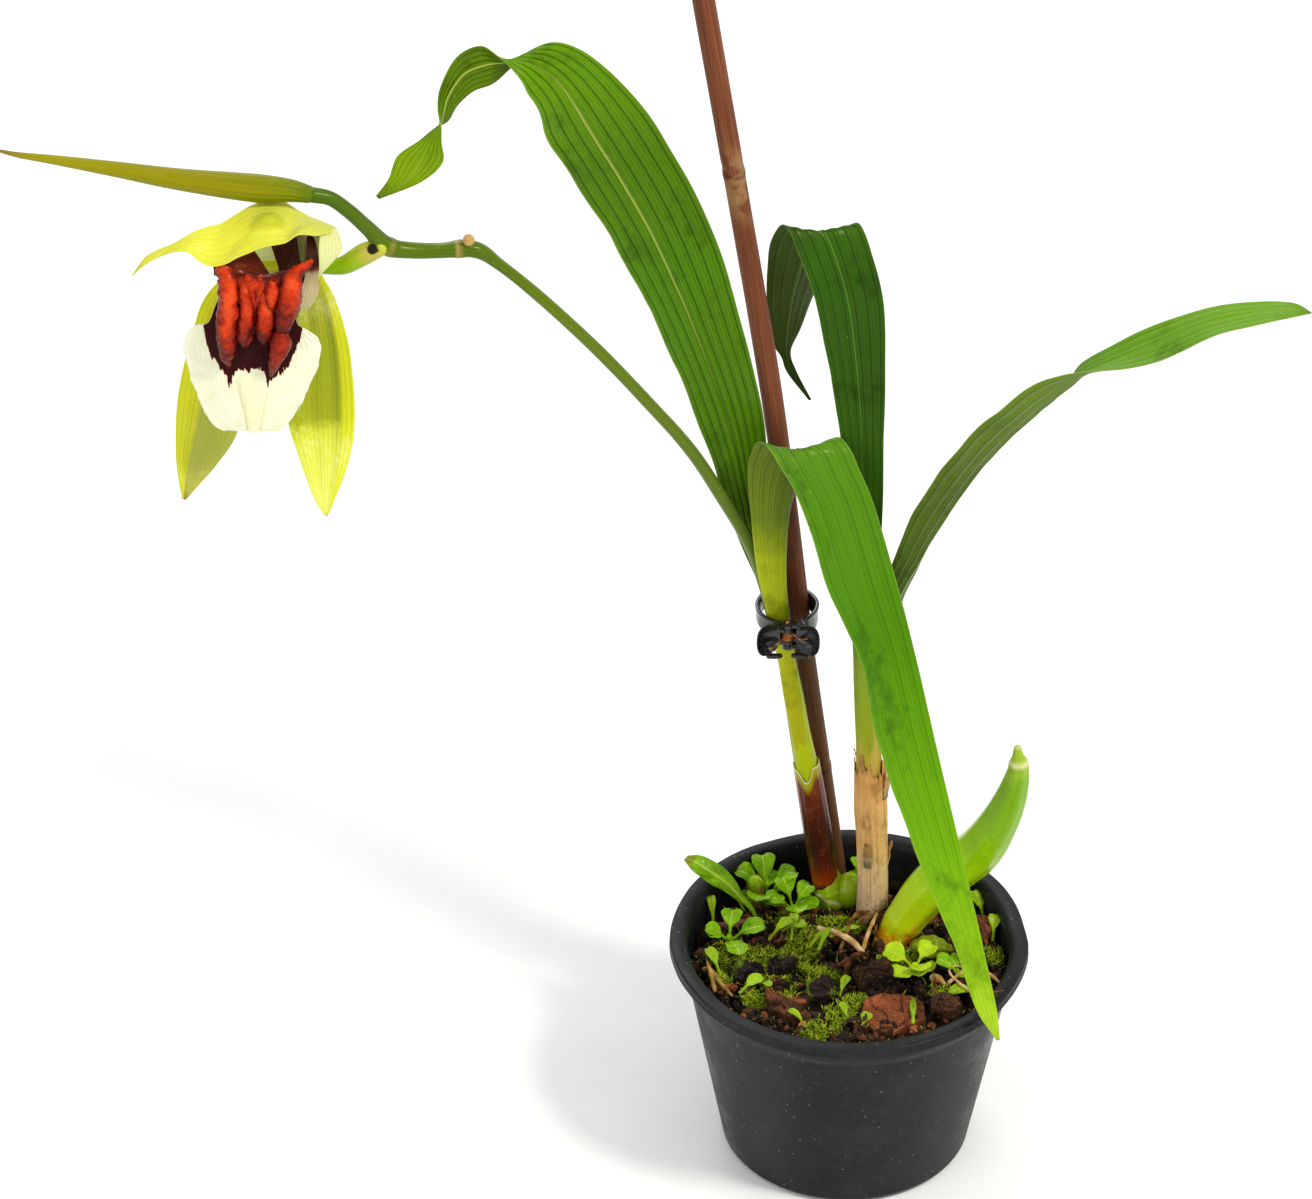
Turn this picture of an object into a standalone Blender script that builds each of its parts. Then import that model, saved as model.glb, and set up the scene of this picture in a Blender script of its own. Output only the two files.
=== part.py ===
# A potted orchid of the coelogyne kind: a black nursery pot of bark mix, an old growth and a
# new one with their leaves, a nodding flower on its scape, a cane stake and a sprung clip.
#
# Origin: middle of the pot's underside. +Z is up, and the flower faces -Y and hangs out to -X.
# Lists of points are in millimetres and are turned into metres by MM.

import math
import random

import bmesh
import bpy
import numpy as np
from mathutils import Matrix, Vector, noise

MM = 0.001
GAP = 0.3          # clearance between touching pieces
GROWTH = 0.4       # how far a socket's corners stand off, so that its faces keep the gap

# Pot
POT_HEIGHT = 81.0
RIM_RADIUS = 60.0
RIM_HEIGHT = 3.6
RIM_OVERHANG = 3.6
RIM_WIDTH = 4.2           # flat top of the rim
RIM_BEVEL = 0.9
WALL = 1.2
BASE_RADIUS = 42.7
BASE_ROUND = 3.0
FLOOR = 1.6
FLOOR_ROUND = 1.6
STEP_BELOW_RIM = 9.5      # faint step round the wall
STEP_DEPTH = 0.4
DRAIN_RADIUS = 4.0
DRAIN_CIRCLE = 26.0
DRAIN_COUNT = 5
POT_STEPS = 42

# Potting mix
MIX_MIDDLE = 70.0         # height of the surface at the pot's axis
MIX_SLOPE = -0.1          # it lies lower towards the back
MIX_RELIEF = 1.6
MIX_CELL = 0.11           # bark lumps per millimetre
MIX_RINGS = 8
MIX_STEPS = 32
MIX_INSET = 0.65          # clearance to the wall, which has wider facets
MIX_SWING = 0.012         # the wall leans out, so the high front is this share wider
STALK_DEPTH = 4.0         # how far a weed's stalk goes down into the mix
STALK_RADIUS = 1.3

# Blades
EDGE_HALF = 0.33          # half thickness of a blade along its edge
FLAT = ((0, 0.0), (1, 0.0))

# Stake and clip
STAKE_RADIUS = 3.6
CLIP_HEIGHT = 187.5
CLIP_CENTRE = (-21.4, 38.2)
CLIP_INNER = 9.9
CLIP_OUTER = 11.7
CLIP_HALF_BAND = 3.0
HINGE_OFFSET = 13.5       # from the ring's middle to the pin, towards the front
PIN_RADIUS = 0.8
PIN_HALF_LENGTH = 5.2
BORE_RADIUS = 1.15
LUG_RADIUS = 1.9
LUGS_RIGHT = (3.3, 4.8)   # the right jaw's lugs stand outside the left jaw's on the pin
LUGS_LEFT = (1.6, 3.0)
JAW_FROM, JAW_TO = -77, 88    # degrees of the half ring, from the pin's side to the back
JAW_POINTS = 11
BLOCK_FRONT, BLOCK_BACK, BLOCK_OUT = 1.0, 3.2, 5.5    # the block that joins ring and lugs
ARM_FRONT, ARM_BACK, ARM_REACH = 1.5, 1.2, 4.0
TAB_RADIUS = 4.8
TAB_HALF = 0.8
TAB_PLACE = (7.3, -2.2, -1.0)
TAB_TURN = -26
SPRING_RADIUS = 1.55
SPRING_WIRE = 0.3
SPRING_TURNS = 2.5
SPRING_PITCH = 0.76
SPRING_SIDES = 10         # points in a turn
SPRING_LEG = 1.9

# Edge stations of each leaf, base to tip: one edge, then the other. Seen with its tip up and
# the first edge on the left, a blade shows its underside.
LEAF_FRONT = (
    ((-13.5, 34.6, 108), (-10.5, 34.6, 108)), ((-16.2, 34.1, 126), (-12.2, 34.1, 126)),
    ((-19, 33.2, 138), (-14, 33.2, 138)), ((-22, 33, 155), (-16, 33, 155)),
    ((-25, 32, 176), (-19, 32, 176)), ((-28.5, 32, 192), (-21, 32, 192)),
    ((-32, 32, 211), (-22, 33, 210)), ((-34, 32, 232), (-21, 35, 230)),
    ((-35, 32, 248), (-17, 37, 245)), ((-33, 31, 258), (-11, 38, 252)),
    ((-31, 28, 262), (-6, 36, 258)), ((-28, 24, 262), (-2, 32, 256)),
    ((-24, 20, 256), (1, 29, 250)), ((-17, 15, 244), (6, 24, 239)),
    ((-9, 5, 219), (14, 13, 214)), ((1, -3, 199), (20, 5, 192)),
    ((8, -15, 170), (27, -8, 165)), ((20, -30, 139), (35, -25, 136)),
    ((33, -43, 110), (43, -40, 105)), ((40, -49, 90), (47, -47, 88)),
    ((47, -52, 79), (48.2, -52, 79)),
)
LEAF_TALL = (
    ((-9.9, 37.4, 108), (-11.7, 37.4, 108)), ((-11.8, 37.5, 127), (-14.1, 37.5, 127)),
    ((-15, 40.3, 150), (-19, 40.3, 150)), ((-18.8, 40.5, 169), (-23.5, 40.5, 169)),
    ((-22, 40.9, 190), (-28.6, 40.9, 190)), ((-25, 40.8, 214), (-37, 40.5, 213)),
    ((-28, 39, 243), (-42, 38, 231)), ((-31, 38, 271), (-49, 33, 259)),
    ((-39, 41, 305), (-62, 27, 300)), ((-46, 44, 329), (-75, 23, 333)),
    ((-56, 45, 352), (-86, 21, 356)), ((-68, 44, 375), (-97, 19, 377)),
    ((-81, 41, 393), (-102, 19, 392)), ((-94, 36, 404), (-106, 20, 399)),
    ((-104, 31, 404), (-110, 22, 404)), ((-110, 28, 399), (-114, 24, 407)),
    ((-115, 26, 395), (-119, 25, 409)), ((-121, 25, 393), (-126, 25, 405)),
    ((-126, 25, 388), (-131, 23, 396)), ((-129, 26, 382), (-132, 22, 389)),
    ((-133, 27, 379), (-131, 22, 382)), ((-138, 26, 375), (-131, 23, 376)),
    ((-145, 25, 370), (-131, 24, 368)), ((-148, 24.4, 362), (-138, 24, 361)),
    ((-152, 24.2, 356), (-151, 24, 355)),
)
LEAF_BACK = (
    ((6, 29.4, 128), (3.2, 29.4, 128)), ((5.8, 29.4, 142), (2.8, 29.4, 142)),
    ((7, 30, 161), (1, 30, 161)), ((7, 30, 182), (0, 30, 182)), ((8, 31, 205), (-2, 30, 206)),
    ((9, 33, 228), (-3, 32, 228.6)), ((9, 37, 256.3), (-5, 36, 256.5)), ((9, 39, 281.3), (-9, 37, 283.2)),
    ((8, 41, 306), (-14, 36, 309)), ((4, 45, 322), (-19, 40, 324)), ((0, 50, 330), (-24, 45, 332)),
    ((-4, 55, 323), (-28, 50, 324)), ((-9, 58, 310), (-29, 53, 312)),
    ((-14, 60, 296), (-29, 55, 296)), ((-18, 60, 284), (-27, 57, 281)),
    ((-21, 59, 276), (-24, 57, 275)), ((-19, 58, 269), (-22, 57, 269)),
    ((-14, 58, 258), (-15, 58, 258)),
)
LEAF_RIGHT = (
    ((5.8, 25.4, 128), (8.4, 25.4, 128)), ((5.8, 25, 142), (8.6, 25, 142)),
    ((6, 23, 167), (10, 24, 166)), ((6, 22, 187), (12, 25, 183)), ((9, 20.5, 207), (15, 26, 196)),
    ((12, 18, 220.6), (18, 27, 206)), ((19, 14, 245.6), (26, 29, 225)), ((32, 9, 272), (41, 30, 252)),
    ((46, 8, 289), (55, 29, 270)), ((56, 8, 297), (62, 27, 280)), ((63, 8, 300), (67, 25, 287)),
    ((70, 8, 301), (71, 24, 294)), ((81, 7, 303), (78, 22, 301)), ((94, 5, 307), (91, 20, 310)),
    ((107, 3, 316), (108, 17, 319)), ((122, 2, 322), (125, 13, 324)),
    ((133, 2, 325), (135, 9, 326)), ((140, 4, 325.5), (140, 5.2, 325)),
)

# Flower parts, in the same way
DORSAL_SEPAL = (
    ((-174.5, 14, 340.2), (-171.5, 15.5, 340)), ((-169, 13, 347), (-165, 17, 345)),
    ((-168, 5, 352.5), (-164, 15, 349.5)), ((-174.5, -2, 357), (-174, 14, 356.5)),
    ((-182, -5, 355.5), (-181, 12, 361.5)), ((-189.5, -6, 353.5), (-192, 9, 360.5)),
    ((-198.5, -7, 349), (-203, 5, 357)), ((-205.5, -6, 350.5), (-211, 1, 354)),
    ((-213.5, -5.5, 352.5), (-216.5, -2, 353)), ((-219.5, -5.5, 350), (-221, -4, 351)),
    ((-226.5, -5.5, 345), (-226.5, -4.7, 344.5)),
)
LATERAL_RIGHT = (
    ((-172, 13, 333.9), (-169, 13, 333.9)), ((-173.5, 12, 325.5), (-165, 13, 324.5)),
    ((-175.5, 11, 311), (-162, 12, 310.5)), ((-178.5, 10, 297), (-160.5, 11, 298)),
    ((-181, 8, 283), (-160, 9, 288)), ((-179, 6, 274), (-161, 7, 275.5)),
    ((-176.5, 4, 265.5), (-163.5, 5, 265)), ((-173, 2, 255.5), (-167, 3, 256)),
    ((-170.3, 1, 251), (-169.3, 1, 251)),
)
LATERAL_LEFT = (
    ((-176.6, 14, 338.5), (-176.6, 14, 333.8)), ((-185, 14, 338.5), (-182.5, 13.5, 330)),
    ((-194.5, 14, 337.5), (-188, 13, 324.5)), ((-202.5, 13, 330.5), (-192, 12, 318)),
    ((-207, 12, 324.5), (-193.5, 11, 309.5)), ((-209.5, 11, 316.5), (-194.5, 10, 300.5)),
    ((-213.5, 9, 301), (-195.5, 9, 290)), ((-216, 7, 287.5), (-198, 8, 277)),
    ((-217, 5, 273.5), (-204.5, 6, 267)), ((-216.5, 3, 264), (-210, 4, 261)),
    ((-215.5, 2, 257), (-214.5, 2, 256.5)),
)
PETAL_RIGHT = (
    ((-173.4, 12.2, 340.6), (-171.8, 13.4, 338.4)), ((-169.5, 8, 346), (-167.5, 10, 343)),
    ((-167, 5, 349.5), (-164.5, 7, 347)), ((-164.5, 3, 349.5), (-162.5, 5, 346)),
    ((-164.5, 2, 346), (-162.5, 3.5, 343)), ((-166.5, 2, 342), (-164.5, 3.5, 340)),
    ((-168, 2.5, 339.5), (-167, 3.5, 338)),
)
PETAL_LEFT = (
    ((-176.6, 16, 339.2), (-176.6, 16.4, 336)), ((-183.5, 19, 341), (-183, 20, 334.5)),
    ((-188, 22, 338.5), (-186, 23, 330.5)), ((-192.5, 24, 330.5), (-188, 25, 324.5)),
    ((-194, 25, 320), (-189, 26, 316.5)), ((-193.5, 24.5, 311), (-189.5, 25.5, 309.5)),
    ((-192.5, 24, 306.5), (-191, 24.5, 305)),
)
# The lip is a trough with raised side lobes, then an apron: edge, other edge, middle
LIP = (
    ((-178, 11.5, 337), (-174.5, 11.5, 337.5), (-176.2, 11.2, 336.8)),
    ((-188, 8, 342), (-172, 7, 345), (-180, 6, 336)),
    ((-195, 2, 346), (-171, 3, 350), (-183, 1, 336.5)),
    ((-200.5, -4, 346.5), (-170, -3, 349.5), (-185, -2, 336)),
    ((-200.5, -7, 340.5), (-173, -6, 340.5), (-186.5, -3.5, 332)),
    ((-201.5, -7.5, 332), (-175.5, -7, 331.5), (-188, -5, 327)),
    ((-206, -7, 328), (-172.5, -7, 326), (-189, -6.5, 322)),
    ((-211, -5, 320.5), (-169.5, -5, 319.5), (-190, -7.5, 316)),
    ((-211.5, -5, 312), (-169.5, -5, 313), (-190.5, -8, 309.5)),
    ((-208.5, -6, 302.5), (-173.5, -6, 304), (-191, -8.2, 301)),
    ((-205, -7, 294), (-177.5, -7, 296.5), (-191, -8.3, 294)),
    ((-200.5, -7.5, 289.5), (-182.5, -7.5, 290), (-191.5, -8.3, 290)),
    ((-196.5, -8, 288), (-186.5, -8, 288), (-191.5, -8.3, 288.6)),
)
LIP_HALF = 0.4
LIP_ROWS = 24
LIP_COLUMNS = 8
# Keels of the lip: place across it from -1 to 1, first and last row, radius
LIP_KEELS = ((-0.75, 5, 15, 1.6), (-0.375, 6, 12, 1.2), (-0.125, 6, 11, 0.8), (0.25, 6, 12, 1.5),
             (0.75, 6, 15, 1.5))

# Round stems: middle line, base to tip
SCAPE = (
    (-13.2, 37.4, 108), (-15.6, 37.4, 127), (-19.8, 37.5, 147.5), (-22.5, 37.5, 168.5),
    (-25.8, 37, 185), (-28.5, 37, 197), (-32, 36.5, 210), (-36, 35, 221), (-43, 33, 236),
    (-53.5, 30.5, 256.5), (-68, 28, 277.5), (-83.5, 26, 298), (-100.5, 24, 318),
    (-113.5, 22.5, 331.5), (-121.5, 21.5, 338), (-132.5, 20, 338.5), (-141.5, 18.5, 339.5),
    (-148.5, 17, 342), (-154.5, 15.5, 349.5), (-160, 14, 356.5), (-165.5, 12.5, 362),
    (-171, 11.5, 364),
)
SCAPE_RADII = (0.9, 1.0, 1.4, 1.8, 2.1, 2.1, 2.1, 2.1, 2.1, 2.1, 2.0, 2.0, 1.9, 1.9, 3.0, 2.5,
               2.6, 3.0, 2.4, 2.3, 2.3, 2.5)
TERMINAL_BRACT = (
    (-171.7, 11.4, 364.2), (-178, 10, 366.5), (-188.5, 9, 368), (-211, 5, 373.5),
    (-230.5, 2, 379), (-248, -1, 384), (-259, -3, 387), (-264.5, -4, 389),
)
BRACT_RADII = (2.7, 4.0, 4.5, 3.4, 2.4, 1.5, 0.9, 0.5)
PEDICEL = (
    (-152.2, 15.8, 339.5), (-156.5, 15.5, 338.5), (-162, 15, 336), (-168, 14.8, 335.6),
    (-175.9, 14.5, 336.6),
)
PEDICEL_RADII = (1.6, 2.7, 2.8, 2.2, 2.3)
COLUMN = (
    (-176, 12, 341.1), (-177.5, 7, 346), (-180, 2, 348.5), (-183, -1.5, 349), (-185.5, -3.5, 347.5),
)
COLUMN_RADII = (1.9, 1.9, 2.1, 2.5, 1.6)
STAKE = (
    (0.6, 44.6, 46), (-2.4, 46.4, 68), (-4.6, 46.8, 84), (-13, 45.2, 148), (-15.9, 43.1, 172),
    (-17.2, 42.2, 184), (-19.5, 42.4, 205), (-27, 43.5, 267.5),
    (-38.5, 44.5, 342), (-50, 45.5, 414), (-52, 45.7, 426),
)
PURPLE_SHEATH = ((-6.8, 37.3, 75), (-8, 36.9, 84), (-10.2, 36.2, 99.5), (-12.2, 36, 113.5),
                 (-14.4, 36, 128))
PURPLE_RADII = (4.5, 4.7, 4.8, 4.7, 4.5)
GROWTH_CORE = ((-6.6, 37.4, 73), (-8, 36.9, 84), (-10.2, 36.2, 99.5), (-11.3, 36.1, 107))
GROWTH_CORE_RADIUS = 3.2
SWELLING = ((-4.6, 37.4, 63), (-5, 37, 68), (-5.4, 37, 74), (-5.8, 37.3, 79))
SWELLING_RADII = (3.6, 5.7, 5.6, 3.4)
BUD = ((-1, 36.5, 67), (0.6, 36, 71), (0.8, 35.6, 75), (0.2, 35.4, 79))
BUD_RADII = (2.6, 4.2, 4.0, 1.2)
SHEATH_WALL = 0.8
PAPERY_SHEATH = ((9, 29, 62), (8.8, 28.8, 80), (8, 28.4, 102), (7.2, 27.9, 118),
                 (6.4, 27.4, 140.5))
PAPERY_RADII = (5.6, 5.3, 5.2, 5.4, 5.3)
BACK_BULB = ((9, 29, 62.4), (8.8, 28.8, 80), (8, 28.4, 102), (7, 27.8, 127))
BACK_BULB_RADIUS = 3.9
OLD_BULB = (
    (11, 11, 63), (15.5, 14, 69.5), (19.5, 16, 76.5), (26, 18, 85.5), (34, 19, 94),
    (43, 19, 102.5), (49.5, 18, 115), (53.5, 17, 127), (55.5, 16, 139), (55, 16, 147.5),
)
OLD_BULB_RADII = (4.6, 5.8, 6.8, 7.8, 8.2, 7.8, 6.6, 5.3, 3.6, 1.5)
SHRIVELLED_BULB = ((20.5, 6.5, 66), (24, 7, 69.3), (29, 7.5, 70.3), (34, 8, 69.2))
SHRIVELLED_RADII = (1.8, 3.9, 4.0, 1.8)
RHIZOME_RADIUS = 2.7
RHIZOME = ((-7, 39, 59), (1, 35, 59), (9, 28, 59), (12, 17, 57.5), (11, 7, 56.5))
TWIG_RADIUS = 1.4
TWIG = ((-44, 20, 69.6), (-38, 22, 69.1), (-33.2, 23.5, 68.8))

# Bark chips: place, size, turn about Z in degrees
BARK_CHIPS = {
    "bark_chip_red": ((12.5, -33.5), (19, 19, 5), 12),
    "bark_chip_dark": ((8.6, -12.5), (13, 11, 7), -20),
    "bark_chip_left": ((-35, -9.5), (12, 9, 6), 15),
    "bark_chip_mid": ((-22.5, -5.5), (10, 9, 6), 40),
    "bark_chip_long": ((-21, -31), (18, 7.5, 5), -38),
    "bark_chip_mossy": ((-9, -19), (12, 9, 6), 25),
    "bark_chip_right": ((46, 17), (6, 10, 6), 0),
    "bark_chip_brown": ((31, -29), (10, 10, 5), 30),
    "bark_chip_small": ((1, 10), (6, 5, 5), 10),
}

# Seedlings and weeds: rosettes of small spoon-shaped leaves on short stalks.
# Each leaf: direction in degrees, reach, rise and half width.
ROSETTES = {
    "weed_left": ((-27, 36), ((20, 8, 11, 2.6), (100, 7, 14, 2.5), (165, 8, 12, 2.8),
                              (250, 8, 9, 2.7))),
    "weed_middle": ((-18, 30), ((40, 6, 8, 2.2), (120, 6, 10, 2.4), (200, 7, 8, 2.5),
                                (280, 6, 6, 2.3))),
    "weed_front": ((-40, 11), ((10, 9, 6, 2.6), (170, 6, 5, 2.2), (80, 6, 8, 2.2))),
    "weed_back": ((7, 43.5), ((75, 5, 13, 2.2), (130, 4, 12, 2.1), (340, 5, 10, 2.1))),
    "weed_glossy": ((22, -6), ((160, 8, 6, 3.1), (40, 6, 7, 2.4), (285, 6, 6, 2.3))),
    "weed_right": ((37, -11), ((60, 6, 8, 2.3), (170, 6, 7, 2.2), (300, 5, 5, 2.2))),
}
SEEDLING = (
    ((-31.2, 24.5, 64), (-29.6, 24.5, 64)), ((-32.5, 25, 72), (-30.7, 25, 72)),
    ((-38, 26, 78.5), (-34.5, 26.5, 76.5)), ((-43.5, 27, 85.5), (-38, 27.5, 80)),
    ((-49, 28, 90.5), (-43, 28.5, 83)), ((-53, 29, 92), (-49.5, 29, 87.5)),
    ((-55, 29.5, 91.5), (-54.2, 29.5, 90.6)),
)

MODEL = "potted_orchid"
CUTTERS = "cutters"


def clear_scene():
    for old in list(bpy.data.objects):
        bpy.data.objects.remove(old, do_unlink=True)


def new_collection(name):
    group = bpy.data.collections.new(name)
    bpy.context.scene.collection.children.link(group)
    return group


def material(name, colour, roughness):
    """A plain material in the part's own colour."""
    finish = bpy.data.materials.new(name)
    finish.use_nodes = True
    shader = finish.node_tree.nodes["Principled BSDF"]
    shader.inputs["Base Color"].default_value = (*colour, 1.0)
    shader.inputs["Roughness"].default_value = roughness
    finish.diffuse_color = (*colour, 1.0)
    return finish


def add_object(name, data, finish, group=MODEL):
    thing = bpy.data.objects.new(name, data)
    bpy.data.collections[group].objects.link(thing)
    if finish is not None:
        data.materials.append(finish)
    if group == CUTTERS:
        thing.hide_render = True
        thing.display_type = "WIRE"
    return thing


def mesh_from_bmesh(name, shape):
    data = bpy.data.meshes.new(name)
    shape.to_mesh(data)
    shape.free()
    return data


def smooth_rows(rows, count, guide=slice(0, 3)):
    """Catmull-Rom curve through the rows, resampled to even steps of its guide columns."""
    rows = np.asarray(rows, dtype=float)
    padded = np.vstack((2 * rows[0] - rows[1], rows, 2 * rows[-1] - rows[-2]))
    fine = []
    for i in range(len(rows) - 1):
        p0, p1, p2, p3 = padded[i:i + 4]
        t = np.linspace(0, 1, 12, endpoint=False)[:, None]
        fine.append(0.5 * (2 * p1 + (p2 - p0) * t + (2 * p0 - 5 * p1 + 4 * p2 - p3) * t ** 2
                           + (3 * p1 - p0 - 3 * p2 + p3) * t ** 3))
    fine = np.vstack(fine + [rows[-1:]])
    steps = np.linalg.norm(np.diff(fine[:, guide], axis=0), axis=1)
    length = np.concatenate(([0], np.cumsum(steps)))
    wanted = np.linspace(0, length[-1], count)
    return np.column_stack([np.interp(wanted, length, column) for column in fine.T])


def along_curve(values, count):
    """Values given as (fraction, value) pairs, read at even steps."""
    where, what = zip(*values)
    return np.interp(np.linspace(0, 1, count), where, what)


def blade_surface(stations, rows, columns, fold):
    """Middle surface of a blade and its unit normals, both (rows + 1, columns + 1, 3).

    Across the blade, t runs from -1 at one edge to 1 at the other. A station of two points is
    ruled between them and pushed out by fold * chord * (1 - |t|^1.5), which makes the keel;
    positive fold goes to the underside. A station of three points has a parabola through them.
    """
    stations = np.asarray(stations, dtype=float)
    one, two = stations[:, 0], stations[:, 1]
    middle = stations[:, 2] if stations.shape[1] == 3 else (one + two) / 2
    lines = smooth_rows(np.hstack((one, two, middle)), rows + 1, slice(6, 9)) * MM
    one, two, middle = lines[:, 0:3], lines[:, 3:6], lines[:, 6:9]
    chord = two - one
    across = np.linspace(-1, 1, columns + 1)
    t = across[None, :, None]
    rise = (one + two) / 2 - middle
    place = middle[:, None] + chord[:, None] / 2 * t + rise[:, None] * t ** 2
    lean = np.cross(chord, np.gradient(middle, axis=0))
    lean /= np.linalg.norm(lean, axis=1)[:, None]
    keel = along_curve(fold, rows + 1) * np.linalg.norm(chord, axis=1)
    place = place + (lean * keel[:, None])[:, None] * (1 - np.abs(t) ** 1.5)
    normal = np.cross(np.gradient(place, axis=1), np.gradient(place, axis=0))
    normal /= np.linalg.norm(normal, axis=2)[:, :, None]
    return place, normal, across


def blade_mesh(name, place, normal, half):
    """Closed solid round a middle surface; both faces are split along the same diagonals."""
    rows, columns = place.shape[0] - 1, place.shape[1] - 1
    upper = place - normal * half[:, :, None]
    lower = place + normal * half[:, :, None]
    ring = 2 * (columns + 1)
    points = np.concatenate((upper, lower[:, ::-1]), axis=1).reshape(-1, 3)
    faces = []
    for i in range(rows):
        for j in range(ring):
            a, b = i * ring + j, i * ring + (j + 1) % ring
            c, d = b + ring, a + ring
            on_lower = columns < j < ring - 1
            faces += [(a, b, d), (b, c, d)] if on_lower else [(a, b, c), (a, c, d)]
    for start in (0, rows * ring):
        for j in range(columns):
            a, b = start + j, start + j + 1
            c, d = start + ring - 2 - j, start + ring - 1 - j
            faces += [(a, b, c), (a, c, d)]
    shape = bmesh.new()
    corners = [shape.verts.new(point) for point in points]
    for face in faces:
        shape.faces.new([corners[k] for k in face])
    bmesh.ops.recalc_face_normals(shape, faces=shape.faces)
    data = mesh_from_bmesh(name, shape)
    data.shade_smooth()
    return data


def half_thickness(rows, across, middle):
    """Thickest along the middle, thinning in a half ellipse to the edges."""
    thick = along_curve(middle, rows + 1)
    return EDGE_HALF * MM + (thick * MM - EDGE_HALF * MM)[:, None] * np.sqrt(
        np.clip(1 - across ** 2, 0, 1))[None, :]


def blade(name, stations, finish, rows, columns, fold, thick, group=MODEL):
    place, normal, across = blade_surface(stations, rows, columns, fold)
    half = half_thickness(rows, across, thick)
    return add_object(name, blade_mesh(name, place, normal, half), finish, group)


def realise(thing):
    """Replace an object by the mesh that its modifiers or its curve give."""
    graph = bpy.context.evaluated_depsgraph_get()
    bpy.context.view_layer.update()
    data = bpy.data.meshes.new_from_object(thing.evaluated_get(graph))
    name, group = thing.name, thing.users_collection[0].name
    place = thing.matrix_world.copy()
    bpy.data.objects.remove(thing, do_unlink=True)
    shape = bmesh.new()
    shape.from_mesh(data)
    bmesh.ops.remove_doubles(shape, verts=shape.verts, dist=0.01 * MM)
    shape.to_mesh(data)
    shape.free()
    data.name = name
    solid = add_object(name, data, None, group)
    solid.matrix_world = place
    return solid


def stem(name, points, radii, finish, count, sides=2, group=MODEL, caps=True):
    """Round tube along a smooth curve, its radius read from the list or one number."""
    if np.isscalar(radii):
        radii = [radii] * len(points)
    rows = smooth_rows([tuple(point) + (radius,) for point, radius in zip(points, radii)], count)
    curve = bpy.data.curves.new(name, "CURVE")
    curve.dimensions = "3D"
    curve.bevel_depth = MM
    curve.bevel_resolution = sides
    curve.use_fill_caps = caps
    spline = curve.splines.new("POLY")
    spline.points.add(count - 1)
    for point, row in zip(spline.points, rows):
        point.co = (*(row[0:3] * MM), 1.0)
        point.radius = row[3]
    return add_object(name, curve, finish, group)


def unite(thing, *others):
    """One Boolean union of a piece with loose pieces, which it takes up."""
    loose = new_collection("loose")
    for other in others:
        other.users_collection[0].objects.unlink(other)
        loose.objects.link(other)
    step = thing.modifiers.new("join", "BOOLEAN")
    step.operation = "UNION"
    step.operand_type = "COLLECTION"
    step.collection = loose
    finish = thing.data.materials[0]
    solid = realise(thing)
    for other in others:
        bpy.data.objects.remove(other, do_unlink=True)
    bpy.data.collections.remove(loose)
    solid.data.materials.clear()
    solid.data.materials.append(finish)
    return solid


def cut(thing, *cutters):
    for cutter in cutters:
        step = thing.modifiers.new("cut_" + cutter.name, "BOOLEAN")
        step.operation = "DIFFERENCE"
        step.object = cutter


def turned(name, profile, finish, steps):
    """Screw of a profile that starts and ends on the Z axis."""
    data = bpy.data.meshes.new(name)
    points = [(x * MM, 0, z * MM) for x, z in profile]
    data.from_pydata(points, [(i, i + 1) for i in range(len(points) - 1)], [])
    thing = add_object(name, data, finish)
    spin = thing.modifiers.new("turn", "SCREW")
    spin.axis = "Z"
    spin.steps = spin.render_steps = steps
    spin.use_merge_vertices = True
    spin.merge_threshold = 0.01 * MM
    return thing


def rod(name, radius, low, high, finish, group=MODEL, steps=20):
    """Upright cylinder round the Z axis of its own frame."""
    shape = bmesh.new()
    bmesh.ops.create_cone(shape, cap_ends=True, segments=steps, radius1=radius * MM,
                          radius2=radius * MM, depth=(high - low) * MM)
    bmesh.ops.translate(shape, verts=shape.verts, vec=(0, 0, (high + low) / 2 * MM))
    return add_object(name, mesh_from_bmesh(name, shape), finish, group)


def box(name, low, high, finish, group=MODEL):
    shape = bmesh.new()
    bmesh.ops.create_cube(shape, size=1.0)
    size = [(b - a) * MM for a, b in zip(low, high)]
    middle = [(a + b) / 2 * MM for a, b in zip(low, high)]
    bmesh.ops.scale(shape, verts=shape.verts, vec=size)
    bmesh.ops.translate(shape, verts=shape.verts, vec=middle)
    return add_object(name, mesh_from_bmesh(name, shape), finish, group)


def wall_radius(height):
    """Outer radius of the pot's wall, a straight cone from the base to under the rim."""
    top = POT_HEIGHT - RIM_HEIGHT
    share = (height - BASE_ROUND) / (top - BASE_ROUND)
    return BASE_RADIUS + (RIM_RADIUS - RIM_OVERHANG - BASE_RADIUS) * share


def inner_radius(height):
    """Inner radius of the pot, a straight cone from above the floor to the step."""
    low, high = FLOOR + FLOOR_ROUND, POT_HEIGHT - STEP_BELOW_RIM
    foot, head = BASE_RADIUS - WALL - 1, wall_radius(high) - WALL
    return foot + (head - foot) * (height - low) / (high - low)


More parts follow.
